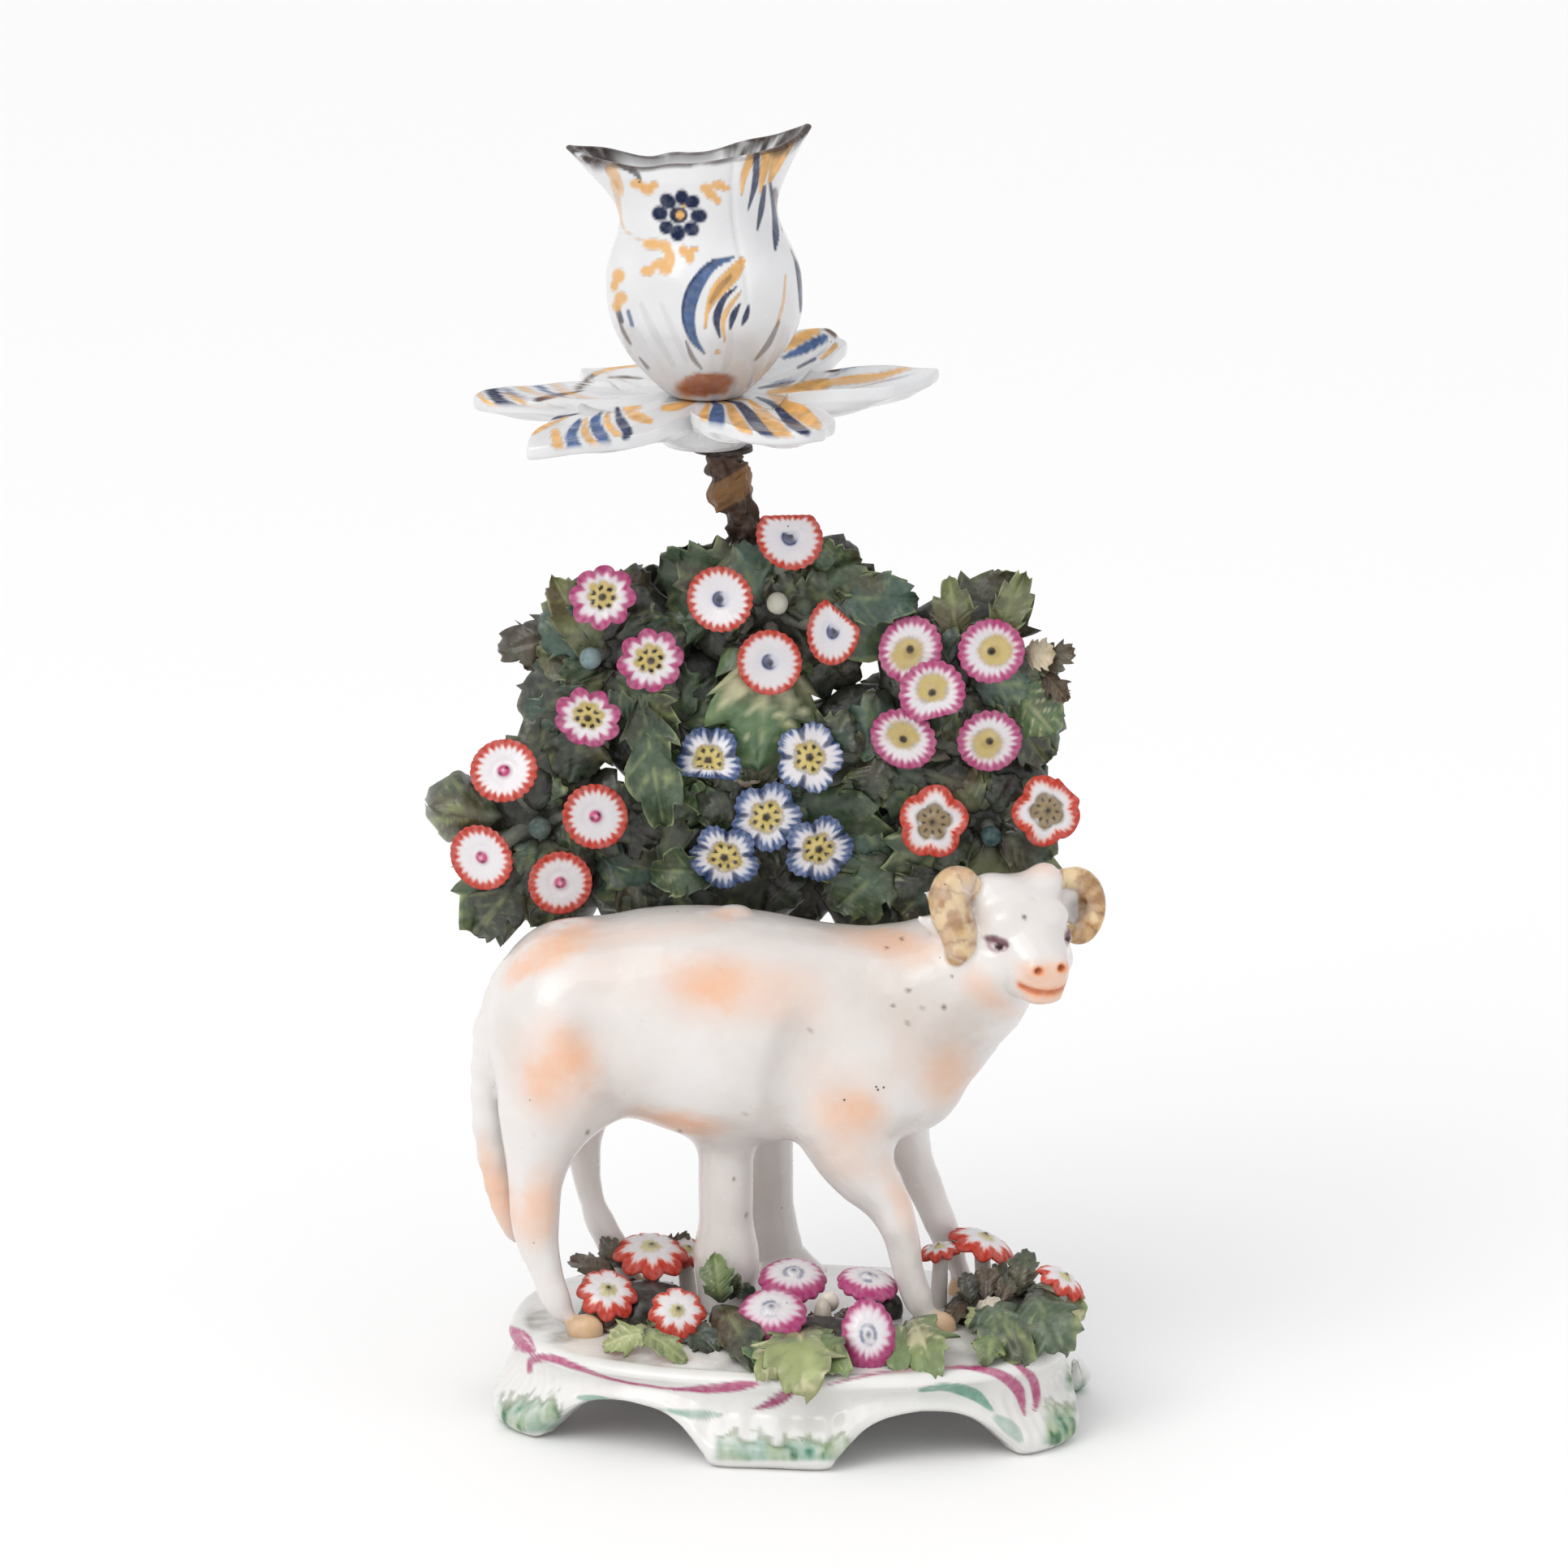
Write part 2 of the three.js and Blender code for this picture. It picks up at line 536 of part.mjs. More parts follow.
function makeStem() {
  const r = STEM_DIAMETER / 2;
  const collar = STEM_COLLAR_DIAMETER / 2;
  const flange = STEM_FLANGE_DIAMETER / 2;
  const flangeFoot = 1 - STEM_FLANGE_THICKNESS / STEM_LENGTH;
  return loft([
    stemRing(0, r), stemRing(0.16, r * 0.9), stemRing(0.26, r * 1.16), stemRing(0.34, r * 0.92),
    stemRing(0.48, r * 0.95, COLLAR_SLANT), stemRing(0.56, collar, COLLAR_SLANT),
    stemRing(0.68, collar * 0.92, COLLAR_SLANT), stemRing(0.72, r * 0.92, COLLAR_SLANT),
    stemRing(0.86, r), stemRing(0.92, r * 0.95), stemRing(flangeFoot, flange), stemRing(1, flange),
  ]);
}

const STEM_CLEARANCE_HEIGHT = 12;

function stemClearance() {
  const grown = STEM_COLLAR_DIAMETER / 2 + JOINT_GAP;
  const foot = STEM_FOOT.clone().sub(vec(0, 0, JOINT_GAP));
  const lean = STEM_CLEARANCE_HEIGHT / STEM_LENGTH;
  const top = foot.clone().add(vec(STEM_LEAN_X * lean, STEM_LEAN_Y * lean, STEM_CLEARANCE_HEIGHT));
  return loft([foot, top].map((at) => ring(at, vec(0, 0, 1), vec(1, 0, 0), KNOT_SIDES, grown)));
}

// Drip pan: six leaf lobes of uneven set and height around a flat seat

const PAN_LOBES = [[5, 5.4], [58, 6], [118, -2], [175, -1], [220, -4.6], [296, 1.2]];
const EVEN_HALF_GAP = 30;
const LOBE_FULLNESS = 1.3;
const PAN_SEGMENTS = 42;
const STEM_TOP = STEM_FOOT.clone().add(vec(STEM_LEAN_X, STEM_LEAN_Y, STEM_LENGTH));
const PAN_MIDDLE = STEM_TOP.clone().add(vec(PAN_OFFSET_X, 0, JOINT_GAP));
const SEAT_MARGIN = 1.5;

// The nearest lobe to a direction, and how far the direction is from its middle to its notch
function lobeAt(degrees) {
  const apart = (lobe) => ((degrees - lobe + 540) % 360) - 180;
  const near = PAN_LOBES.map(([angle, rise], i) => {
    const gap = apart(angle);
    const step = gap < 0 ? PAN_LOBES.length - 1 : 1;
    const neighbour = PAN_LOBES[(i + step) % PAN_LOBES.length][0];
    const half = Math.abs(((neighbour - angle + 540) % 360) - 180) / 2;
    return { rise, half, share: Math.abs(gap) / half };
  });
  return near.reduce((best, next) => (next.share < best.share ? next : best));
}

function makePan() {
  const top = PAN_MIDDLE.z + PAN_HUB_THICKNESS;
  const seat = NOZZLE_FOOT_DIAMETER / 2 + SEAT_MARGIN;
  const panRing = (reachShare, below) => turnsOf(PAN_SEGMENTS).map((turn) => {
    const { rise, half, share } = lobeAt(THREE.MathUtils.radToDeg(turn));
    const depth = (PAN_REACH - PAN_NOTCH_REACH) * (half / EVEN_HALF_GAP);
    const reach = PAN_REACH - depth * share ** LOBE_FULLNESS;
    const radius = seat + (reach - seat) * reachShare;
    const lift = rise * reachShare ** 2 * (1 - share * 0.6) - 1.5 * Math.sin(Math.PI * reachShare);
    const spine = 1.2 * reachShare * (1 - share);
    return vec(Math.cos(turn) * radius, Math.sin(turn) * radius, top + lift - spine * 0.5 - below)
      .add(vec(PAN_MIDDLE.x, PAN_MIDDLE.y, 0));
  });
  const foot = ring(PAN_MIDDLE, vec(0, 0, 1), vec(1, 0, 0), PAN_SEGMENTS, PAN_BOSS_DIAMETER / 2);
  const rings = [
    panRing(0, 0), panRing(0.55, 0), panRing(1, 0), panRing(0.985, PAN_EDGE_THICKNESS),
    panRing(0.5, PAN_EDGE_THICKNESS), foot,
  ];
  return loft(rings, PAN_MIDDLE.clone().setZ(top), PAN_MIDDLE.clone());
}

// Candle nozzle: a hollow tulip with a drawn-out lip on each side

const NOZZLE_SEGMENTS = 20;
const NOZZLE_PROFILE = [[0, 0], [0.1, 0.36], [0.27, 0.82], [0.44, 1], [0.62, 0.95]];
const NECK_SHARES = [0.8, 0.91];
const LIPS = [{ turn: 180, spread: 62, reach: 8.2, rise: 4.2 }, { turn: 0, spread: 96, reach: 6.4, rise: 8 }];
const RIM_FLARE = 0.8;

function lipShape(turn) {
  return LIPS.reduce((sum, { turn: middleTurn, spread, reach, rise }) => {
    const apart = Math.abs(((THREE.MathUtils.radToDeg(turn) - middleTurn + 540) % 360) - 180);
    const share = THREE.MathUtils.clamp(1 - apart / spread, 0, 1) ** 1.4;
    return { reach: sum.reach + reach * share, rise: sum.rise + rise * share };
  }, { reach: RIM_FLARE, rise: 0 });
}

function makeNozzle() {
  const footRadius = NOZZLE_FOOT_DIAMETER / 2;
  const bellyRadius = NOZZLE_BELLY_DIAMETER / 2;
  const neckRadius = NOZZLE_NECK_DIAMETER / 2;
  const foot = PAN_MIDDLE.clone().add(vec(0, 0, PAN_HUB_THICKNESS + JOINT_GAP));
  const leanAt = (height) => NOZZLE_LEAN_X * Math.min(height / NOZZLE_HEIGHT, 1) ** 3;
  const around = (radiusAt, heightAt) => turnsOf(NOZZLE_SEGMENTS).map((turn) => foot.clone()
    .add(vec(Math.cos(turn) * radiusAt(turn), Math.sin(turn) * radiusAt(turn), heightAt(turn)))
    .add(vec(leanAt(heightAt(turn)), 0, 0)));
  const bodyRadius = (swell) => footRadius + (bellyRadius - footRadius) * swell;
  const level = (share, radius) => around(() => radius, () => NOZZLE_HEIGHT * share);
  const rim = (inset, drop) => around(
    (turn) => neckRadius + lipShape(turn).reach - inset,
    (turn) => NOZZLE_HEIGHT + lipShape(turn).rise - drop,
  );
  const outside = [
    ...NOZZLE_PROFILE.map(([share, swell]) => level(share, bodyRadius(swell))),
    level(NECK_SHARES[0], neckRadius * 1.02), level(NECK_SHARES[1], neckRadius),
  ];
  const belly = NOZZLE_PROFILE.slice(2).toReversed();
  const inside = [
    level(NECK_SHARES[1], neckRadius - NOZZLE_WALL), level(NECK_SHARES[0], neckRadius * 1.02 - NOZZLE_WALL),
    ...belly.map(([share, swell]) => level(share, bodyRadius(swell) - NOZZLE_WALL)),
    around(() => footRadius, () => NOZZLE_FLOOR),
  ];
  const rings = [...outside, rim(0, 0), rim(NOZZLE_WALL * 0.7, 0.2), ...inside];
  const floor = foot.clone().add(vec(leanAt(NOZZLE_FLOOR), 0, NOZZLE_FLOOR));
  return loft(rings, foot, floor);
}

// Whole object

const group = fillPockets(join([
  makeBase(), ...makeBody(), ...makeLegs(), ...makeHead(), ...makeSupports(),
  ...SPRIGS.flatMap(makeSprig), ...SPRIGS.map(makeBranch), ...CLUMPS.map(makeClump), ...BEDS.flatMap(makeBed),
]).subtract(stemClearance()));

const candlestick = new THREE.Group();
candlestick.add(
  mesh('bocage_group', group, 0xefe9e3, 0.25),
  mesh('candle_branch', makeStem(), 0x54413a, 0.5),
  mesh('drip_pan', makePan(), 0xe9ebf0, 0.25),
  mesh('candle_nozzle', makeNozzle(), 0xe6e9ea, 0.25),
);
const outline = new THREE.Box3().setFromObject(candlestick);
const centre = outline.getCenter(vec());
candlestick.position.set(-centre.x, -centre.y, 0);

export default candlestick;
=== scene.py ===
# Looks of the bocage candlestick: a ram on a footed base in front of flowering leaves.
# The drawing's own frame is millimetres with +Z up and the front towards -Y. Pieces are made in it as
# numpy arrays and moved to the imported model's frame, in metres, as each object is made.
import math

import bpy
import numpy as np
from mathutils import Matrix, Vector


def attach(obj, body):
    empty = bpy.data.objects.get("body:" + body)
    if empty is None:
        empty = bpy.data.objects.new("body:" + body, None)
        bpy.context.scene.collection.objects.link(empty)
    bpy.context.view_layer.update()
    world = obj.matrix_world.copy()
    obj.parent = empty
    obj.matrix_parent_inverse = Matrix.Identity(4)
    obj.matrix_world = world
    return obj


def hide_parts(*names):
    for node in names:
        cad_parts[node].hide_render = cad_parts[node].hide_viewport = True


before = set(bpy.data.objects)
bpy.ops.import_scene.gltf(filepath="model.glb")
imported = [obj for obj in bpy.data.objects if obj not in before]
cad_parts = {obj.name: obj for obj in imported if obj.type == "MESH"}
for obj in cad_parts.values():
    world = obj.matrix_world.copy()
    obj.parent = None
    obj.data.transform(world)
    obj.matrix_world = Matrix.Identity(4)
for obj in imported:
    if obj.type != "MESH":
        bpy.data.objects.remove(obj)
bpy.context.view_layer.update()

MM = 0.001
PAN_MIDDLE = np.array([-14.5, 17.0, 181.8])


# How far the drawing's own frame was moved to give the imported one, read from the drip pan's round foot
def shift_of_drawing():
    points = np.array([v.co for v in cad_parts["drip_pan"].data.vertices]) / MM
    foot = np.unique(np.round(points[points[:, 2] < points[:, 2].min() + 0.05], 2), axis=0).mean(0)
    return np.array([foot[0] - PAN_MIDDLE[0], foot[1] - PAN_MIDDLE[1], 0.0])


SHIFT = shift_of_drawing()


# Camera: the photograph looks down 14 degrees from 1.5 m at a point 121 mm above the floor
PHOTO_SIZE = 1932
PHOTO_MIDDLE = PHOTO_SIZE / 2
PHOTO_SCALE = 6.64
PHOTO_DISTANCE = 1500.0
PHOTO_TILT = math.radians(14)
TILT_COS = math.cos(PHOTO_TILT)
TILT_SIN = math.sin(PHOTO_TILT)
AIM_HEIGHT = 121.0
SENSOR = 36.0
NEAREST_SEEN = 0.05

# Square lamps: name, place and side in metres, power and colour
LAMPS = [
    ("key_light", (-0.75, -0.85, 0.95), 0.6, 2.4, (1.0, 0.985, 0.96)),
    ("fill_light", (0.95, -0.65, 0.55), 0.8, 0.5, (0.97, 0.985, 1.0)),
]
SUN_FROM = Vector((-0.5, -0.6, 1.0))
SUN_POWER = 0.85
SUN_SPREAD = math.radians(50)
SUN_COLOUR = (1.0, 0.98, 0.95)
WORLD_COLOUR = (0.99, 0.99, 1.0, 1)
WORLD_STRENGTH = 0.84
FLOOR_CORNERS = [(-14, -14, 0), (14, -14, 0), (14, 14, 0), (-14, 14, 0)]
FLOOR_COLOUR = (0.93, 0.93, 0.93, 1)
FLOOR_ROUGHNESS = 0.8


# Where points of the drawing appear in the photograph, in its own pixels
def seen(points):
    rise = points[:, 2] - AIM_HEIGHT
    depth = PHOTO_DISTANCE + points[:, 1] * TILT_COS - rise * TILT_SIN
    scale = PHOTO_SCALE * PHOTO_DISTANCE / depth
    u = PHOTO_MIDDLE + points[:, 0] * scale
    v = PHOTO_MIDDLE - (rise * TILT_COS + points[:, 1] * TILT_SIN) * scale
    return np.stack([u, v], 1)


# The point that a pixel of the photograph shows, at a given depth of the drawing or at a given height
def at_pixel(u, v, y=None, height=None):
    share = (PHOTO_MIDDLE - v) / (PHOTO_SCALE * PHOTO_DISTANCE)
    if y is None:
        rise = height - AIM_HEIGHT
        y = (rise * (TILT_COS + share * TILT_SIN) - share * PHOTO_DISTANCE) / (share * TILT_COS - TILT_SIN)
    rise = (share * (PHOTO_DISTANCE + y * TILT_COS) - y * TILT_SIN) / (TILT_COS + share * TILT_SIN)
    depth = PHOTO_DISTANCE + y * TILT_COS - rise * TILT_SIN
    return np.array([(u - PHOTO_MIDDLE) * depth / (PHOTO_SCALE * PHOTO_DISTANCE), y, rise + AIM_HEIGHT])


def add_object(name, data):
    added = bpy.data.objects.new(name, data)
    bpy.context.scene.collection.objects.link(added)
    return added


def make_camera():
    data = bpy.data.cameras.new("photo_camera")
    data.sensor_width = SENSOR
    data.lens = SENSOR * PHOTO_DISTANCE * PHOTO_SCALE / PHOTO_SIZE
    data.clip_start = NEAREST_SEEN
    camera = add_object("photo_camera", data)
    aim = Vector((np.array([0, 0, AIM_HEIGHT]) + SHIFT) * MM)
    away = Vector((0, -TILT_COS, TILT_SIN)) * PHOTO_DISTANCE * MM
    camera.location = aim + away
    camera.rotation_euler = (-away).to_track_quat("-Z", "Y").to_euler()
    bpy.context.scene.camera = camera
    return aim


def add_lamp(name, kind, place, towards, power, tint):
    data = bpy.data.lights.new(name, kind)
    data.energy = power
    data.color = tint
    lamp = add_object(name, data)
    lamp.location = place
    lamp.rotation_euler = towards.to_track_quat("-Z", "Y").to_euler()
    return data


def make_stage():
    aim = make_camera()
    for name, place, side, power, tint in LAMPS:
        lamp = add_lamp(name, "AREA", place, aim - Vector(place), power, tint)
        lamp.shape = "SQUARE"
        lamp.size = side
    sun = add_lamp("soft_sun", "SUN", (0, 0, 0), -SUN_FROM, SUN_POWER, SUN_COLOUR)
    sun.angle = SUN_SPREAD
    world = bpy.data.worlds.new("studio")
    world.use_nodes = True
    background = world.node_tree.nodes["Background"]
    background.inputs["Color"].default_value = WORLD_COLOUR
    background.inputs["Strength"].default_value = WORLD_STRENGTH
    bpy.context.scene.world = world
    bpy.context.scene.view_settings.view_transform = "Standard"
    data = bpy.data.meshes.new("floor")
    data.from_pydata(FLOOR_CORNERS, [], [(0, 1, 2, 3)])
    material, shader, _ = new_material("pale_floor")
    shader.inputs["Base Color"].default_value = FLOOR_COLOUR
    shader.inputs["Roughness"].default_value = FLOOR_ROUGHNESS
    data.materials.append(material)
    add_object("floor", data)


# Numbers on arrays

# How much closer together the columns of round shapes are at the front than at the back
FRONT_CROWDING = 0.3
FINE_ROWS = 160
STROKE_ROWS = 16
CORNERS = [(i, j, k) for i in (0, 1) for j in (0, 1) for k in (0, 1)]
LATTICE_SIDE = 32
LATTICE_START = 100
SEED_STEP = 17.3
LATTICE = np.random.default_rng(5).random((LATTICE_SIDE,) * 3).astype(np.float32)


def smooth(low, high, value):
    share = np.clip((value - low) / (high - low), 0, 1)
    return share * share * (3 - 2 * share)


def full_turn(count):
    return np.linspace(0, 2 * math.pi, count, endpoint=False)


# Angles round an upright axis, starting at the front and closer together there than at the back
def round_turns(count):
    turn = full_turn(count)
    return turn - FRONT_CROWDING * np.sin(turn) - math.pi / 2


def unit(vectors):
    vectors = np.asarray(vectors, float)
    return vectors / np.maximum(np.linalg.norm(vectors, axis=-1, keepdims=True), 1e-9)


# Smooth noise from -1 to 1 whose spots are about size mm across
def noise(points, size, seed):
    place = np.asarray(points, float) / size + SEED_STEP * seed + LATTICE_START
    cell = np.floor(place).astype(int)
    part = smooth(0, 1, place - cell)
    total = np.zeros(len(place))
    for corner in CORNERS:
        weight = np.abs(1 - np.array(corner) - part)
        i, j, k = ((cell + corner) % LATTICE_SIDE).T
        total += weight[:, 0] * weight[:, 1] * weight[:, 2] * LATTICE[i, j, k]
    return total * 2 - 1


def rough_noise(points, size, seed, layers=3):
    total = sum(noise(points, size / 2 ** i, seed + i) / 2 ** i for i in range(layers))
    return total / (2 - 0.5 ** (layers - 1))


# A smooth curve through a few points, with as many rows as asked
def curve(points, rows):
    points = np.asarray(points, float)
    if len(points) < 3:
        return np.linspace(points[0], points[-1], rows)
    padded = np.concatenate([[2 * points[0] - points[1]], points, [2 * points[-1] - points[-2]]])
    place = np.linspace(0, len(points) - 1, rows)
    cell = np.minimum(place.astype(int), len(points) - 2)
    t = (place - cell)[:, None]
    a, b, c, d = (padded[cell + i] for i in range(4))
    square, cube = 2 * a - 5 * b + 4 * c - d, 3 * b - a - 3 * c + d
    return 0.5 * (2 * b + (c - a) * t + square * t ** 2 + cube * t ** 3)


# Values read off a smooth line through pairs
def read_line(pairs, at):
    fine = curve(pairs, FINE_ROWS)
    return np.interp(at, fine[:, 0], fine[:, 1])


# Triangles between the rows of a grid of points, joined at the sides when closed
def grid_faces(rows, columns, closed=False):
    row = np.arange(rows - 1)[:, None]
    column = np.arange(columns if closed else columns - 1)[None, :]
    a = row * columns + column
    b = row * columns + (column + 1) % columns
    lower = np.stack([a, b, b + columns], -1).reshape(-1, 3)
    upper = np.stack([a, b + columns, a + columns], -1).reshape(-1, 3)
    return np.concatenate([lower, upper])


# Triangles from one closed row to a point
def fan_faces(start, columns, tip, backwards=False):
    side = start + np.arange(columns)
    following = start + (np.arange(columns) + 1) % columns
    order = (following, side) if backwards else (side, following)
    return np.stack([*order, np.full(columns, tip)], 1)


# A closed skin through rows of equal count with a fan at each end
def loft(rows):
    rows = np.asarray(rows, float)
    count, columns = rows.shape[:2]
    points = np.concatenate([rows.reshape(-1, 3), [rows[0].mean(0)], [rows[-1].mean(0)]])
    first = fan_faces(0, columns, count * columns, True)
    last = fan_faces((count - 1) * columns, columns, count * columns + 1)
    return points, np.concatenate([grid_faces(count, columns, True), first, last])


# Rings of points round a path, with a radius for each of its points
def tube(path, radii, sides, up=(0, 0, 1)):
    path = np.asarray(path, float)
    along = unit(np.gradient(path, axis=0))
    across = unit(np.cross(along, up) + 1e-6)
    upright = np.cross(across, along)
    turn = full_turn(sides)[None, :, None]
    ring = np.cos(turn) * across[:, None] + np.sin(turn) * upright[:, None]
    return path[:, None] + ring * radii[:, None, None]


def normals_of(points, faces):
    a, b, c = (points[faces[:, i]] for i in range(3))
    square = np.cross(b - a, c - a)
    total = np.zeros(points.shape)
    for axis in range(3):
        total[:, axis] = sum(np.bincount(faces[:, i], square[:, axis], len(points)) for i in range(3))
    return unit(total)


# Points moved out along the skin's normals, each by its own amount
def swell(points, faces, amount):
    return points + normals_of(points, faces) * amount[:, None]


# Values of a loft's grid, followed by those of its two end points
def with_ends(values, first=0, last=0):
    return np.append(values.ravel(), [first, last])


# How far points are from a place, counted in the radii given
def span(points, place, radii=1.0):
    return np.linalg.norm((points - place) / radii, axis=1)


def span_to_line(points, line, rows):
    return np.min([span(points, place) for place in curve(line, rows)], 0)


# Faces turned so that the skin's normals point outwards
def outward(points, faces):
    a, b, c = (points[faces[:, i]] for i in range(3))
    volume = np.einsum("ij,ij->i", a, np.cross(b, c)).sum()
    return faces[:, ::-1] if volume < 0 else faces


# Several small meshes made as one piece of the bocage group
class Heap:
    def __init__(self):
        self.points, self.faces, self.paints, self.count = [], [], [], 0

    def add(self, points, faces, paint):
        self.points.append(points)
        self.faces.append(outward(points, faces) + self.count)
        self.paints.append(paint)
        self.count += len(points)

    def make(self, name, material, slot):
        points, faces = np.concatenate(self.points), np.concatenate(self.faces)
        make_piece(name, points, faces, material, "bocage_group", np.concatenate(self.paints))


def make_piece(name, points, faces, material, node, paint):
    mesh = bpy.data.meshes.new(name)
    mesh.vertices.add(len(points))
    mesh.vertices.foreach_set("co", ((points + SHIFT) * MM).astype(np.float32).ravel())
    mesh.loops.add(faces.size)
    mesh.loops.foreach_set("vertex_index", faces.astype(np.int32).ravel())
    mesh.polygons.add(len(faces))
    mesh.polygons.foreach_set("loop_start", np.arange(0, faces.size, 3, dtype=np.int32))
    mesh.update(calc_edges=True)
    mesh.shade_smooth()
    layer = mesh.color_attributes.new("paint", "FLOAT_COLOR", "POINT")
    layer.data.foreach_set("color", paint.astype(np.float32).ravel())
    mesh.materials.append(material)
    piece = add_object(name, mesh)
    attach(piece, "root")
    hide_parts(node)


# Paint

# The linear colour for three screen values from 0 to 255
def colour(red, green, blue):
    share = np.array([red, green, blue]) / 255
    return np.where(share <= 0.04045, share / 12.92, ((share + 0.055) / 1.055) ** 2.4)


ORANGE = colour(234, 166, 112)
DEEP_ORANGE = colour(228, 142, 84)
MAGENTA = colour(170, 54, 110)
IRON_RED = colour(190, 52, 30)
NAVY = colour(14, 36, 76)
STEEL_BLUE = colour(58, 90, 138)
BLUE = colour(52, 82, 130)
GOLD = colour(220, 168, 96)
OCHRE = colour(188, 142, 84)
BROWN = colour(88, 62, 48)
HOOF_BROWN = colour(206, 164, 112)
BLACK = colour(30, 26, 24)
GREY = colour(128, 124, 118)
GRASS_GREEN = colour(120, 150, 90)
TEAL = colour(84, 146, 122)
PORCELAIN = colour(238, 238, 240)


# Enamel laid over the glaze: colour and cover for each point, one stroke over another
class Paint:
    def __init__(self, points):
        self.tint = np.zeros((len(points), 3))
        self.cover = np.zeros(len(points))

    def lay(self, tint, cover):
        cover = np.clip(np.broadcast_to(cover, len(self.cover)), 0, 1)
        tint = colour(*tint) if isinstance(tint, tuple) else tint
        self.tint = self.tint * (1 - cover[:, None]) + tint * cover[:, None]
        self.cover = self.cover * (1 - cover) + cover

    # A tint whose cover grows as the value goes from bare to full
    def fade(self, tint, bare, full, value, strength=1.0):
        self.lay(tint, smooth(bare, full, value) * strength)

    # Brush strokes: tint, strength, and the places and widths along each
    def strokes(self, places, lines, widen, shown, soft=1.5, tone=1.0):
        for tint, strength, line in lines:
            wider = [(u, v, wide * widen) for u, v, wide in line]
            self.lay(np.clip(tint * tone, 0, 1), stroke(places, wider, soft) * strength * shown)

    def done(self):
        tint = self.tint / np.maximum(self.cover, 1e-4)[:, None]
        return np.concatenate([tint, self.cover[:, None]], 1)


# How fully a brush line covers each place: its points are place, place and width
def stroke(places, line, soft):
    line = curve(line, STROKE_ROWS)
    nearest = np.full(len(places), 1e9)
    for a, b in zip(line[:-1], line[1:]):
        run = b[:2] - a[:2]
        share = np.clip(((places - a[:2]) @ run) / max(run @ run, 1e-9), 0, 1)
        distance = np.linalg.norm(places - a[:2] - share[:, None] * run, axis=1)
        nearest = np.minimum(nearest, distance - (a[2] + (b[2] - a[2]) * share) / 2)
    return smooth(soft / 2, -soft / 2, nearest)


# How fully a dab covers each place: it is an oval with two radii, turned by some degrees
def dab(places, middle, radius, second=None, turn=0.0, soft=0.25):
    u, v = (places - np.asarray(middle, float)).T
    c, s = math.cos(math.radians(turn)), math.sin(math.radians(turn))
    x = (u * c + v * s) / radius
    y = (v * c - u * s) / (second or radius)
    return smooth(1 + soft, 1 - soft, np.hypot(x, y))


# Node materials

def new_material(name):
    material = bpy.data.materials.new(name)
    material.use_nodes = True
    tree = material.node_tree
    return material, tree.nodes["Principled BSDF"], tree


def add_node(tree, kind, **settings):
    node = tree.nodes.new(kind)
    for key, value in settings.items():
        if key in node.inputs:
            node.inputs[key].default_value = value
        else:
            setattr(node, key, value)
    return node


def mix_colours(tree, share, first, second):
    node = add_node(tree, "ShaderNodeMix", data_type="RGBA")
    for socket, value in ((node.inputs[0], share), (node.inputs[6], first), (node.inputs[7], second)):
        if isinstance(value, bpy.types.NodeSocket):
            tree.links.new(value, socket)
        else:
            socket.default_value = value
    return node.outputs[2]


def ramp(tree, source, low, high, to_low=0.0, to_high=1.0):
    node = add_node(tree, "ShaderNodeMapRange")
    tree.links.new(source, node.inputs["Value"])
    for name, value in (("From Min", low), ("From Max", high), ("To Min", to_low), ("To Max", to_high)):
        node.inputs[name].default_value = value
    return node.outputs["Result"]


def times(tree, first, second):
    node = add_node(tree, "ShaderNodeMath", operation="MULTIPLY")
    tree.links.new(first, node.inputs[0])
    tree.links.new(second, node.inputs[1])
    return node.outputs[0]


def spots(tree, place, scale, detail):
    node = add_node(tree, "ShaderNodeTexNoise", Scale=scale, Detail=detail)
    tree.links.new(place, node.inputs["Vector"])
    return node.outputs["Fac"]


# How many spots of each texture go into a metre, and the rest of what all glazes share
SHADE_SCALE = 60
WASH_SCALE = 700
PIT_SCALE = 330.0
PITTED_SCALE = 120
BUMP_SCALE = 260
DULL_SCALE = 400
PIT_TINT = (0.1, 0.085, 0.075, 1)
BUMP_HEIGHT = 0.0006
GLAZE_SCATTER = 0.12
SCATTER_RADII = (0.0022, 0.0019, 0.0016)
COAT_ROUGHNESS = 0.06


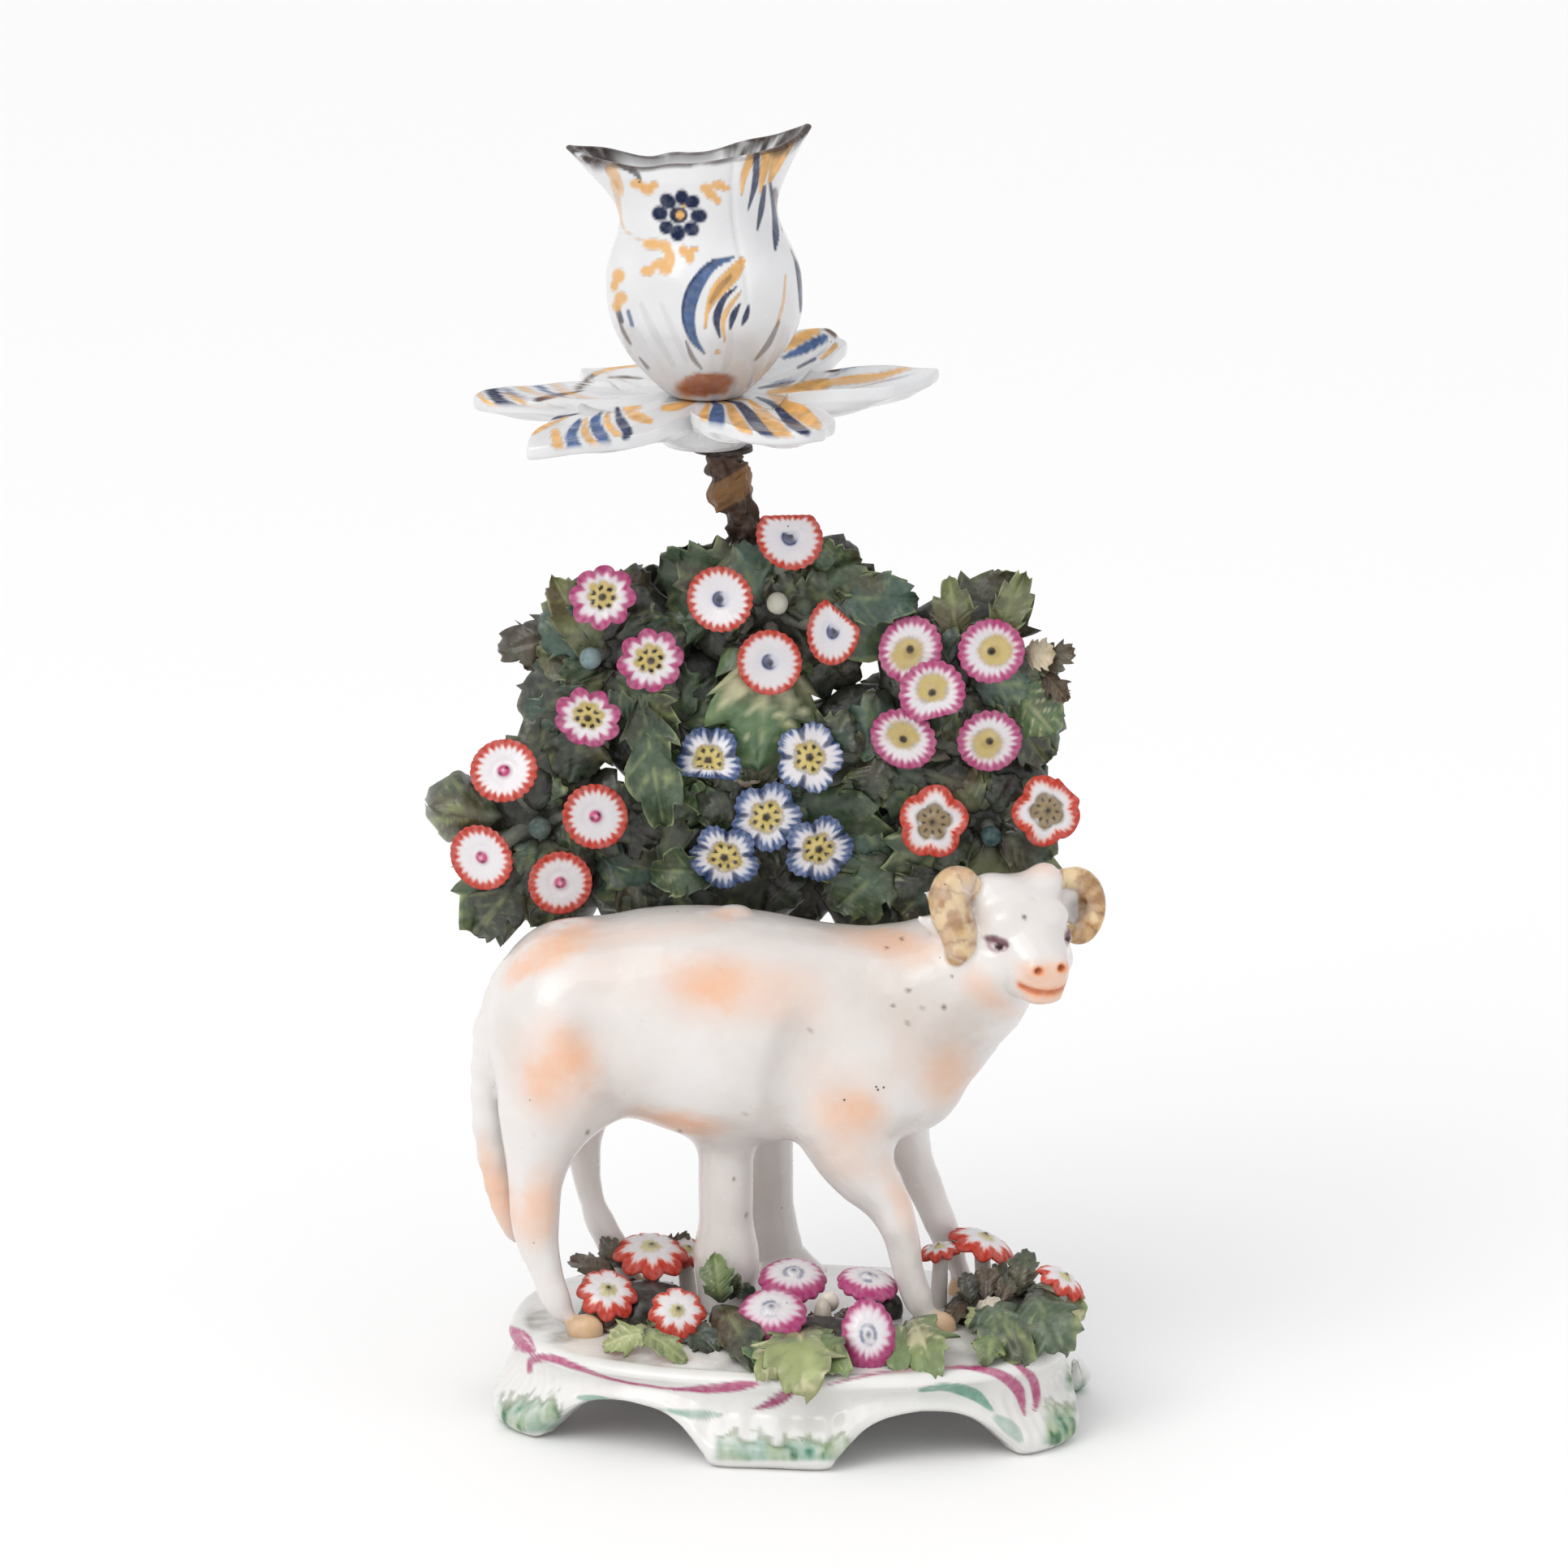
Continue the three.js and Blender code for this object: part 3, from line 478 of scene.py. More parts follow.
# White soft-paste body under a clear glaze, with enamel from the paint layer, pits and a faint unevenness
def glazed(name, body, shade, wash=0.14, bump=0.25, rough=0.16, coat=0.35, dull=0.16):
    material, shader, tree = new_material(name)
    place = add_node(tree, "ShaderNodeTexCoord").outputs["Object"]
    paint = add_node(tree, "ShaderNodeVertexColor", layer_name="paint")
    broad = ramp(tree, spots(tree, place, SHADE_SCALE, 3), 0.4, 0.72)
    white = mix_colours(tree, broad, (*body, 1), (*shade, 1))
    thin = ramp(tree, spots(tree, place, WASH_SCALE, 5), 0.3, 0.6, 1 - wash, 1.0)
    cover = times(tree, paint.outputs["Alpha"], thin)
    painted = mix_colours(tree, cover, white, paint.outputs["Color"])
    cells = add_node(tree, "ShaderNodeTexVoronoi", Scale=PIT_SCALE)
    tree.links.new(place, cells.inputs["Vector"])
    rare = ramp(tree, spots(tree, place, PITTED_SCALE, 2), 0.62, 0.66)
    pit = times(tree, ramp(tree, cells.outputs["Distance"], 0.1, 0.06), rare)
    tree.links.new(mix_colours(tree, pit, painted, PIT_TINT), shader.inputs["Base Color"])
    relief = add_node(tree, "ShaderNodeBump", Strength=bump, Distance=BUMP_HEIGHT)
    tree.links.new(spots(tree, place, BUMP_SCALE, 3), relief.inputs["Height"])
    tree.links.new(relief.outputs["Normal"], shader.inputs["Normal"])
    uneven = ramp(tree, spots(tree, place, DULL_SCALE, 4), 0.3, 0.7, rough, rough + 0.12)
    tree.links.new(uneven, shader.inputs["Roughness"])
    shader.inputs["Subsurface Weight"].default_value = GLAZE_SCATTER
    shader.inputs["Subsurface Radius"].default_value = SCATTER_RADII
    tree.links.new(ramp(tree, cover, 0, 0.9, 0.5, dull), shader.inputs["Specular IOR Level"])
    tree.links.new(ramp(tree, cover, 0, 0.9, coat, coat * dull), shader.inputs["Coat Weight"])
    shader.inputs["Coat Roughness"].default_value = COAT_ROUGHNESS
    return material


# Ram: one soft shape grown from balls and bars as a distance field, then skinned

RAM_ORIGIN = np.array([0.0, 2.0, 17.0])
HEAD_MIDDLE = np.array([43.3, -5.0, 78.0])
HEAD_TURN = math.radians(23)
HEAD_AXES = np.array([
    [math.cos(HEAD_TURN), math.sin(HEAD_TURN), 0],
    [math.sin(HEAD_TURN), -math.cos(HEAD_TURN), 0],
    [0, 0, 1],
])


# A place on the head, given as sideways, forward and up from its middle
def on_head(place):
    return HEAD_MIDDLE + np.asarray(place[:3], float) @ HEAD_AXES


def spaced(*stretches):
    return np.concatenate([np.arange(low, high, step) for low, high, step in stretches])


class Field:
    FAR = 40.0

    def __init__(self, xs, ys, zs):
        self.axes = [np.asarray(axis, np.float32) for axis in (xs, ys, zs)]
        self.distance = np.full([len(axis) for axis in self.axes], self.FAR, np.float32)

    def block(self, low, high, margin):
        ends = [(low[i] - margin, high[i] + margin) for i in range(3)]
        cut = tuple(slice(*np.searchsorted(axis, end)) for axis, end in zip(self.axes, ends))
        x, y, z = (axis[part] for axis, part in zip(self.axes, cut))
        return cut, (x[:, None, None], y[None, :, None], z[None, None, :])

    # A new form joined to what is there, or carved out of it, with a rounded seam as wide as blend
    def merge(self, cut, new, blend, carve):
        old, sign = self.distance[cut], -1 if carve else 1
        overlap = np.maximum(blend - np.abs(old - sign * new), 0) / blend
        both = np.maximum(old, -new) if carve else np.minimum(old, new)
        self.distance[cut] = both - sign * overlap ** 2 * blend / 4

    def ball(self, middle, radii, blend, axes=None, carve=False):
        middle = np.asarray(middle, float)
        reach = max(radii)
        cut, (x, y, z) = self.block(middle - reach, middle + reach, blend + 3)
        x, y, z = x - middle[0], y - middle[1], z - middle[2]
        if axes is not None:
            x, y, z = (axes[i][0] * x + axes[i][1] * y + axes[i][2] * z for i in range(3))
        near = np.sqrt((x / radii[0]) ** 2 + (y / radii[1]) ** 2 + (z / radii[2]) ** 2)
        slope = np.sqrt((x / radii[0] ** 2) ** 2 + (y / radii[1] ** 2) ** 2 + (z / radii[2] ** 2) ** 2)
        away = near * (near - 1) / np.maximum(slope, 1e-4)
        self.merge(cut, away, blend, carve)

    def bar(self, start, end, blend, carve):
        a, b = np.asarray(start[:3], float), np.asarray(end[:3], float)
        reach = max(start[3], end[3])
        cut, (x, y, z) = self.block(np.minimum(a, b) - reach, np.maximum(a, b) + reach, blend + 3)
        run = b - a
        share = ((x - a[0]) * run[0] + (y - a[1]) * run[1] + (z - a[2]) * run[2]) / (run @ run)
        share = np.clip(share, 0, 1)
        dx, dy, dz = (p - a[i] - share * run[i] for i, p in enumerate((x, y, z)))
        away = np.sqrt(dx ** 2 + dy ** 2 + dz ** 2) - (start[3] + (end[3] - start[3]) * share)
        self.merge(cut, away, blend, carve)

    def limb(self, stations, blend, rows=0, carve=False):
        stations = curve(stations, rows) if rows else stations
        for start, end in zip(stations[:-1], stations[1:]):
            self.bar(start, end, blend, carve)


# The field's skin: one point in each cell that the surface crosses, and a face round each crossed edge
def skin(field):
    d = field.distance
    inside = d < 0
    size = np.array(d.shape) - 1
    part = [tuple(slice(c, c + s) for c, s in zip(corner, size)) for corner in CORNERS]
    total = sum(inside[cut].astype(np.int8) for cut in part)
    active = (total > 0) & (total < 8)
    cells = np.argwhere(active)
    number = np.full(active.shape, -1, np.int64)
    number[active] = np.arange(len(cells))
    places = np.zeros((len(cells), 3))
    count = np.zeros(len(cells))
    for first in CORNERS:
        for axis in range(3):
            if first[axis]:
                continue
            a, b = cells + first, cells + first
            b[:, axis] += 1
            da, db = d[tuple(a.T)], d[tuple(b.T)]
            crossed = (da < 0) != (db < 0)
            share = np.where(crossed, da / np.where(crossed, da - db, 1), 0)
            at = np.stack([field.axes[i][a[:, i]] for i in range(3)], 1).astype(float)
            at[:, axis] += share * (field.axes[axis][b[:, axis]] - at[:, axis])
            places += at * crossed[:, None]
            count += crossed
    places /= count[:, None]
    faces = []
    for axis in range(3):
        one, two = (axis + 1) % 3, (axis + 2) % 3
        inner = [slice(1, -1)] * 3
        inner[axis] = slice(0, -1)
        after = list(inner)
        after[axis] = slice(1, None)
        a, b = inside[tuple(inner)], inside[tuple(after)]
        edges = np.argwhere(a != b)
        leaving = a[tuple(edges.T)]
        offset = np.ones(3, int)
        offset[axis] = 0
        edges = edges + offset
        quad = []
        for back_one, back_two in ((1, 1), (0, 1), (0, 0), (1, 0)):
            cell = edges.copy()
            cell[:, one] -= back_one
            cell[:, two] -= back_two
            quad.append(number[tuple(cell.T)])
        quad = np.stack(quad, 1)
        quad[~leaving] = quad[~leaving][:, ::-1]
        faces.append(quad[:, [0, 1, 2]])
        faces.append(quad[:, [0, 2, 3]])
    return places, np.concatenate(faces)


# Points drawn towards the middle of their neighbours, a little in and a little out
def relax(points, faces):
    a = np.concatenate([faces[:, 0], faces[:, 1], faces[:, 2]])
    b = np.concatenate([faces[:, 1], faces[:, 2], faces[:, 0]])
    count = np.bincount(a, minlength=len(points))[:, None]
    for step in (0.5, -0.52, 0.5, -0.52):
        total = np.stack([np.bincount(a, points[b, i], len(points)) for i in range(3)], 1)
        points = points + (total / count - points) * step
    return points


# Limbs are given as places along their middle, each with a radius. Rounded forms are given as their middle,
# their radii, how wide the seam round them is, and True where they are carved out
TORSO_TOP = [
    (-55, 60), (-52, 66.5), (-46, 72.8), (-37, 76.4), (-26, 79), (-14.5, 79.5), (-4, 78.4), (6.6, 76.4),
    (14, 75.6), (22, 74), (29, 68), (35, 58),
]
TORSO_FOOT = [
    (-55, 52), (-52, 45), (-46, 41), (-37, 40.5), (-28, 39.6), (-17, 35.8), (-8.5, 35.2), (0.6, 35.5),
    (12, 36.6), (21.9, 37.6), (27, 39.6), (31.7, 44), (35, 52),
]
TORSO_HALF_DEPTH = [
    (-55, 3), (-50, 10), (-44, 13.6), (-37, 15.6), (-26, 16.8), (-14.5, 17.6), (-4, 17.8), (6.6, 16.8),
    (16, 14.6), (24, 12.6), (30, 9.5), (35, 4),
]
TORSO_ENDS = (-55, 35)
TORSO_POWER = 2.25
TORSO_FORMS = [
    ((-41.5, 0, 57.5), (13.4, 14.6, 18), 7), ((23.5, 0, 55), (13, 13.6, 17), 7),
    ((-41.6, -7, 52), (11.6, 9.6, 15.5), 5), ((-41.6, 7, 52), (11, 9, 15), 5),
    ((14.5, -9, 48.5), (10.5, 8.6, 13), 5), ((16.5, 9, 48), (9.5, 7, 12), 5),
]
NECK = [(20, 0, 58.5, 14), (28, -1, 62.5, 12.8), (34.5, -2.4, 67.5, 11.2), (41, -4.5, 74.5, 8.8)]
BACK_LUMP = ((-9.2, 0.5, 78.7), (3, 3, 1.3), 1.2)
NEAR_KNEE = ((21.2, -12.2, 21.6), (2.5, 2, 3.2), 1.6)
NEAR_HOCK = ((-47.8, -10.2, 29), (2.2, 2.3, 3.6), 2)
NEAR_HIND_LEG = [
    (-41, -7.5, 50, 10), (-44.6, -9, 42, 7.4), (-46, -9.6, 34, 4.7), (-46.6, -10, 27, 3.5),
    (-46.6, -10.3, 22.4, 3.2), (-46.2, -10.6, 17.7, 2.5), (-44.7, -11, 13, 1.7), (-43.3, -11.2, 8.3, 1.5),
    (-41.4, -11.8, 4.4, 1.7),
]
NEAR_FORE_LEG = [
    (10.6, -8, 41, 8.6), (12.6, -9, 35.6, 6.4), (15.2, -9.5, 30.2, 4.4), (18.8, -10, 26.3, 3),
    (20.8, -10.4, 22.4, 2.3), (22.3, -10.8, 17.7, 1.85), (23, -11, 13, 1.6), (24.6, -11.3, 8.3, 1.5),
    (26.2, -11.6, 4.3, 1.7),
]
FAR_FORE_LEG = [
    (20.5, 7, 40, 6.6), (23.4, 9.6, 31, 3.4), (25.9, 10.2, 24.1, 2.5), (27.6, 10.4, 20.1, 2),
    (29.2, 10.5, 16.1, 1.8), (30.6, 10.5, 12.9, 1.8), (33.4, 10.5, 5.5, 1.9),
]
FAR_HIND_LEG = [
    (-38.5, 7, 44, 7.5), (-38.4, 9.6, 33, 3.2), (-37.6, 10.2, 27, 1.8), (-37.2, 10.3, 23, 1.4),
    (-35.6, 10.4, 17, 1.6), (-33.4, 10.5, 12.5, 1.9), (-30, 10.5, 5.5, 2.2),
]
TAIL = [
    (-46.5, -0.5, 69.5, 3.2), (-50.4, -0.8, 67.6, 2.6), (-53.2, -1.2, 63.5, 2.3), (-55.5, -1.6, 55, 2.2),
    (-56.2, -2, 46.9, 2.3), (-55.2, -2.4, 35.9, 2.7), (-53.2, -2.5, 25.5, 2.4), (-51.8, -2.5, 19.6, 1.6),
    (-50.6, -2.5, 15.5, 0.6),
]
THIGH_CREASE = [
    (-35.5, -18.2, 64, 1.4), (-33.6, -18.6, 54, 1.8), (-32.6, -17.8, 46, 1.8), (-31.6, -15, 39, 1.4),
]
SHOULDER_CREASE = [(5.5, -18.6, 64, 1.2), (2, -19, 54, 1.7), (1, -18, 45, 1.7), (1.6, -14.5, 37.5, 1.2)]
HOOVES = [
    ((-37.1, -13.4, 1.7), 3.7), ((28.9, -12, 1.8), 3.8), ((34.9, 10.4, 1.8), 3.9),
    ((-27.8, 10.3, 1.8), 3.9),
]
PILLAR = [(-10.9, -0.5, -2, 5.6), (-10.9, -0.5, 12, 5.0), (-11, -0.5, 37, 5.2)]
LEFT_HORN = [
    (-9, -0.4, 7.4, 1.6), (-10.2, -0.2, 8.6, 2.1), (-11.6, -0.1, 9.2, 2.5), (-13.2, -0.4, 8.4, 3),
    (-13.9, 0, 5.8, 3.4), (-13.5, 1, 3, 3.3), (-13, 2.2, 0.2, 3), (-13, 3, -2.2, 2.4),
    (-13.7, 3.2, -4, 1.5),
]
RIGHT_HORN = [
    (8.2, -1, 7.4, 1.3), (11.1, -1, 7.5, 1.5), (13.5, -1.3, 6.8, 1.9), (15.4, -1.5, 4.5, 2.25),
    (15.8, -1, 1.6, 2.35), (14.9, 0, -1, 2.25), (12.9, 1.2, -2.8, 1.8), (10.8, 2, -2.7, 1.3),
    (9.8, 2.2, -1.7, 0.8),
]
HORN_RINGS = 8
HORNS = [(LEFT_HORN, 46), (RIGHT_HORN, 40)]
LEFT_EAR = [(-9, -1.5, -1.4, 1.7), (-13, -1.8, -1.2, 1.7), (-16.2, -2, 0.9, 1.2), (-19.4, -2, 2.7, 0.25)]
LEFT_TUFT = [(-15.5, -1.8, 5, 0.8), (-17.9, -1.8, 7.3, 0.3)]
RIGHT_EAR = [(7.6, -1.6, 2.6), (15.4, -1.2, 1.8)]
EYELIDS = [[(8, 4.8, -1.2, 0.35), (6.9, 7.3, -0.5, 0.42), (4.8, 8.5, -1.3, 0.35)],
           [(7.9, 5, -2.3, 0.3), (6.7, 7.4, -2.9, 0.34), (4.9, 8.5, -2.1, 0.3)]]
HEAD_FORMS = [
    ((0, -1.5, 1), (9, 9.2, 8), 4), ((0, 2.4, -3.4), (8, 8.2, 7.2), 4), ((0, 7.4, -4.6), (6.1, 6.8, 5.2), 3),
    ((0, 10.2, -7.1), (5.2, 4.9, 4.7), 2.4), ((0, 9.4, -9.6), (4.3, 4.5, 2.9), 2),
    ((-5.4, -1, 6), (4, 3.8, 3.8), 3), ((6, -1, 7.2), (3.3, 3.4, 3.6), 3),
]
# Brow, cheek, nose, eye socket and eye of one side
FACE_FORMS = [
    ((4.8, 5, 2.6), (3, 3, 2.2), 2.4), ((6.4, 3, -6.8), (3, 4, 2.8), 3),
    ((2.4, 13.4, -5.2), (1.9, 1.8, 1.7), 1.2), ((7.6, 7.4, -1.7), (2.4, 1.8, 1.1), 1.4, True),
    ((6.5, 6.2, -1.75), (1.9, 1.5, 1.05), 0.3),
]
CHIN = ((0, 12.4, -11.2), (3.2, 1.7, 0.9), 1.2)
FOREHEAD_PIT = ((1.2, 5.8, 6.2), (0.6, 0.6, 0.6), 0.4, True)
NOSTRILS = [(-2.35, 15, -5.2), (2.35, 15, -5.1)]
MOUTH = [
    (-4.7, 12, -8.4, 0.22), (-3, 13.5, -9.2, 0.32), (0, 14.6, -9.6, 0.36), (3, 13.7, -9.4, 0.32),
    (4.9, 12.1, -8.7, 0.22),
]


def add_torso(field):
    low, high = (-60, -21, 30), (40, 21, 84)
    cut, (x, y, z) = field.block(low, high, 0)
    along = np.clip(x, *TORSO_ENDS)
    top, foot = read_line(TORSO_TOP, along), read_line(TORSO_FOOT, along)
    half_depth = read_line(TORSO_HALF_DEPTH, along)
    half_height = np.maximum((top - foot) / 2, 1)
    up = z - (top + foot) / 2
    reach = np.abs(y / half_depth) ** TORSO_POWER + np.abs(up / half_height) ** TORSO_POWER
    near = reach ** (1 / TORSO_POWER)
    slope = np.sqrt((y / half_depth ** 2) ** 2 + (up / half_height ** 2) ** 2) / np.maximum(near, 0.05)
    away = (near - 1) / np.maximum(slope, 0.02) + np.abs(x - along)
    field.merge(cut, away.astype(np.float32), 2.0, False)
    for form in TORSO_FORMS:
        field.ball(*form)
    field.limb(NECK, 6)
    field.ball(*BACK_LUMP)
    field.limb(THIGH_CREASE, 6, 8, True)
    field.limb(SHOULDER_CREASE, 6, 8, True)


def add_head(field):
    def ball(place, radii, blend, carve=False):
        field.ball(on_head(place), radii, blend, HEAD_AXES, carve)

    def limb(stations, blend, rows=0, carve=False):
        field.limb([(*on_head(station), station[3]) for station in stations], blend, rows, carve)

    for form in HEAD_FORMS:
        ball(*form)
    for side in (-1, 1):
        for (across, forward, up), *sizes in FACE_FORMS:
            ball((side * across, forward, up), *sizes)
        for lid in EYELIDS:
            limb([(side * across, forward, up, radius) for across, forward, up, radius in lid], 0.7, 9)
    for place in NOSTRILS:
        ball(place, (0.8, 1.1, 0.7), 0.6, True)
    limb(MOUTH, 0.5, 12, True)
    ball(*CHIN)
    ball(*FOREHEAD_PIT)
    for horn, rows in HORNS:
        limb(horn, 0.8, rows)
    limb(LEFT_EAR, 0.8, 12)
    limb(LEFT_TUFT, 0.4, 5)
    root, tip = np.array(RIGHT_EAR)
    along = unit(tip - root)
    across = unit(np.cross(along, (0, 1, 0.2)))
    axes = np.stack([along, across, np.cross(along, across)]) @ HEAD_AXES
    field.ball(on_head((root + tip) / 2), (4, 3.7, 1.1), 1.2, axes)
    field.ball(on_head((root + tip) / 2 + (0, 1.25, 0.2)), (3, 1.8, 0.9), 0.5, axes, True)


def ram_field():
    field = Field(
        spaced((-64, 28, 0.9), (28, 66, 0.42)),
        spaced((-29, -21, 0.5), (-21, -1, 0.47), (-1, 22, 0.75)),
        spaced((-4, 62, 0.85), (62, 94, 0.44)),
    )
    add_torso(field)
    field.limb(TAIL, 1.3, 16)
    field.limb(NEAR_HIND_LEG, 3.5, 16)
    field.limb(NEAR_FORE_LEG, 3.5, 16)
    field.limb(FAR_FORE_LEG, 3.5, 10)
    field.limb(FAR_HIND_LEG, 3.5, 10)
    field.ball(*NEAR_KNEE)
    field.ball(*NEAR_HOCK)
    field.limb(PILLAR, 5)
    for middle, length in HOOVES:
        field.ball(middle, (length, 2.8, 2.9), 1.4)
        toe = np.array(middle)
        field.bar((*(toe + (1.5, 0, 1)), 0.35), (*(toe + (5.5, 0, -1)), 0.45), 0.6, True)
    add_head(field)
    return field


# How far points are from a horn's skin, and how far along the horn they are
def along_horn(points, stations, rows):
    line = curve([(*on_head(station), station[3]) for station in stations], rows)
    gaps = np.linalg.norm(points[:, None] - line[None, :, :3], axis=2) - line[None, :, 3]
    return gaps.min(1), gaps.argmin(1) / (rows - 1)


# Warm patches on the near side: place in the photograph, two radii, turn and strength
RAM_PATCHES = [
    (684, 1166, 52, 17, -30, 0.85), (640, 1194, 24, 11, -50, 0.5), (688, 1318, 46, 54, 0, 0.6),
    (700, 1300, 24, 30, 0, 0.6), (668, 1330, 20, 24, 0, 0.4), (872, 1208, 46, 26, 10, 0.8),
    (920, 1216, 66, 34, 8, 0.45), (870, 1240, 60, 24, 10, 0.25), (980, 1230, 40, 34, 0, 0.22),
    (836, 1384, 50, 14, 8, 0.8), (1092, 1158, 60, 17, 6, 0.6), (1122, 1180, 30, 14, 0, 0.35),
    (1046, 1375, 38, 30, 10, 0.75), (1058, 1362, 20, 18, 0, 0.4), (1035, 1334, 44, 30, 0, 0.22),
    (1166, 1322, 30, 36, 20, 0.75), (664, 1486, 22, 44, 8, 0.75), (1112, 1480, 13, 50, -22, 0.5),
    (1046, 1432, 36, 22, 24, 0.3), (612, 1476, 18, 48, -14, 0.85), (596, 1420, 9, 24, 0, 0.3),
    (900, 1126, 24, 8, 0, 0.6), (800, 1150, 84, 10, -6, 0.25), (1208, 1217, 17, 27, -42, 0.5),
    (1234, 1238, 24, 10, 20, 0.35), (1176, 1074, 22, 9, 0, 0.4), (1284, 1066, 22, 13, 0, 0.5),
    (760, 1200, 60, 40, 0, 0.12), (1112, 1300, 20, 44, 10, 0.15),
]
# Thin grey-brown darkening over parts of the body, given like the patches
RAM_GREYING = [
    (1120, 1232, 64, 44, 20, 0.5), (1190, 1258, 44, 26, -34, 0.5), (1010, 1270, 90, 60, 0, 0.2),
    (760, 1290, 60, 60, 0, 0.12), (1150, 1300, 60, 40, 0, 0.25), (700, 1400, 36, 60, 0, 0.16),
    (896, 1470, 34, 80, 0, 0.24), (930, 1180, 60, 30, 0, 0.12), (800, 1180, 90, 24, 0, 0.14),
    (1130, 1560, 20, 60, -14, 0.2),
]
# Dark pits in the glaze: place in the photograph and radius. The one at (1262, 1130) is painted shade in the
# carved hollow between the brows
RAM_PITS = [
    (1120, 1220, 3), (1134, 1242, 2.4), (1163, 1241, 3.2), (1099, 1239, 2.4), (1111, 1157, 2.6),
    (1092, 1168, 2.2), (1117, 1260, 2.2), (1173, 1203, 2.2), (1000, 1270, 2.4), (722, 1463, 4),
    (724, 1395, 2.8), (918, 1372, 2.4), (920, 1498, 2.6), (1104, 1427, 3), (975, 1437, 4), (794, 1383, 2.6),
    (838, 1394, 2), (1262, 1130, 3), (765, 1430, 2), (905, 1452, 2), (660, 1400, 2),
]


def paint_ram(points, local):
    paint = Paint(points)
    place = seen(points)
    mirrored = points * (1, -1, 1) + (0, 2 * RAM_ORIGIN[1], 0)
    other = seen(mirrored)
    near = smooth(4, -3, local[:, 1])
    grain = rough_noise(points, 9, 3)
    fine = rough_noise(points, 2.4, 4)
    ragged = fine[:, None] * 9
    for u, v, wide, high, turn, strength in RAM_PATCHES:
        cover = dab(place + ragged, (u, v), wide, high, turn, 0.75)
        far_cover = dab(other + ragged + (35, -12), (u, v), wide, high, turn, 0.75) * 0.8
        blush = (near * cover + (1 - near) * far_cover) * strength * (0.72 + 0.35 * grain)
        deep = smooth(0.75, 1.1, blush * (1 + 0.4 * fine))[:, None]
        paint.lay(ORANGE * (1 - deep) + DEEP_ORANGE * deep, blush)
    head = (local - HEAD_MIDDLE) @ HEAD_AXES.T
    paint.lay(ORANGE, smooth(9.5, 15, head[:, 1]) * smooth(-2.5, -5, head[:, 2]) * (0.5 + 0.15 * grain))
    lips = span_to_line(head, [station[:3] for station in MOUTH], 24)
    paint.fade(DEEP_ORANGE, 1.7, 0.5, lips, 0.6)
    paint.fade((190, 98, 52), 0.8, 0.3, lips, 0.8)
    for nostril in NOSTRILS:
        hole = span(head, nostril, (1.2, 2.4, 1.0))
        paint.fade(DEEP_ORANGE, 1.3, 0.6, hole, 0.95)
        paint.fade((128, 62, 38), 0.8, 0.35, hole, 0.85)
    for side in (-1, 1):
        paint.fade((150, 104, 124), 1.15, 0.85, span(head, (side * 6.9, 6.9, -1.7), (2.3, 2.2, 1.35)), 0.6)
        paint.fade((222, 208, 210), 1.1, 0.7, span(head, (side * 7, 7.2, -1.8), (1.6, 2.0, 0.8)), 0.7)
        paint.fade((58, 34, 42), 1.15, 0.75, span(head, (side * 7, 7.1, -1.75), (0.8, 2.2, 0.85)))
        lid = [(side * 8.6, 4.2, -0.7), (side * 7, 7.5, -0.6), (side * 4.4, 8.7, -1.9)]
        paint.fade((96, 46, 66), 1.1, 0.5, span_to_line(head, lid, 14), 0.9)
    for stations, rows in HORNS:
        gap, share = along_horn(local, stations, rows)
        horn = smooth(0.75, 0.25, gap)
        paint.lay(np.clip(OCHRE * (1 + 0.35 * fine)[:, None], 0, 1), horn * 0.97)
        paint.fade((150, 106, 62), -0.15, 0.25, rough_noise(points, 2.6, 17), horn * 0.8)
        paint.fade((236, 214, 172), 0, 0.3, rough_noise(points, 3, 18), horn * 0.85)
        ring = np.abs((share * HORN_RINGS + 0.3 * grain + 0.1 * fine) % 1 - 0.5)
        paint.fade((222, 196, 142), 0.22, 0.42, ring, horn * smooth(-0.5, 0.3, fine) * 0.5)
        paint.fade((104, 68, 38), 0.13, 0.03, ring, horn * smooth(-0.6, 0.2, fine) * 0.55)
    # Painted shade: grey round the right ear's root, and brown-grey in the gap between the left ear and its
    # horn
    paint.fade((92, 82, 84), 3.2, 1.2, span(head, (13, -0.2, 1.2)), 0.55)
    paint.fade((96, 78, 72), 2.4, 0.8, span(head, (-12.4, -0.5, -2.2)), 0.6)
    for middle, length in HOOVES:
        hoof = span(local, middle, (length + 0.7, 3.6, 3.2))
        paint.fade(np.clip(HOOF_BROWN * (1 + 0.3 * fine)[:, None], 0, 1), 1.2, 0.85, hoof, 0.8)
        paint.fade(BROWN, 1.2, 0.6, span(local, np.array(middle) + (3.4, 0, 0), (2.6, 0.75, 3)), 0.8)
    for u, v, wide, high, turn, strength in RAM_GREYING:
        cover = dab(place + fine[:, None] * 12, (u, v), wide, high, turn, 0.8) * near
        paint.lay((186, 172, 160), cover * strength * (0.8 + 0.4 * grain))
    for u, v, size in RAM_PITS:
        paint.lay((92, 80, 72), dab(place, (u, v), size, soft=0.6) * near * 0.85)
    return paint.done()


def make_ram(glaze):
    local, faces = skin(ram_field())
    local = relax(local, faces)
    bumps = 0.16 * noise(local, 9, 1) + 0.05 * noise(local, 3, 2)
    local = swell(local, faces, bumps * smooth(64, 58, local[:, 2] - 0.3 * local[:, 0]))
    points = local + RAM_ORIGIN
    make_piece("ram", points, faces, glaze, "bocage_group", paint_ram(points, local))


# Candle nozzle: a hollow tulip with a drawn-out lip on each side

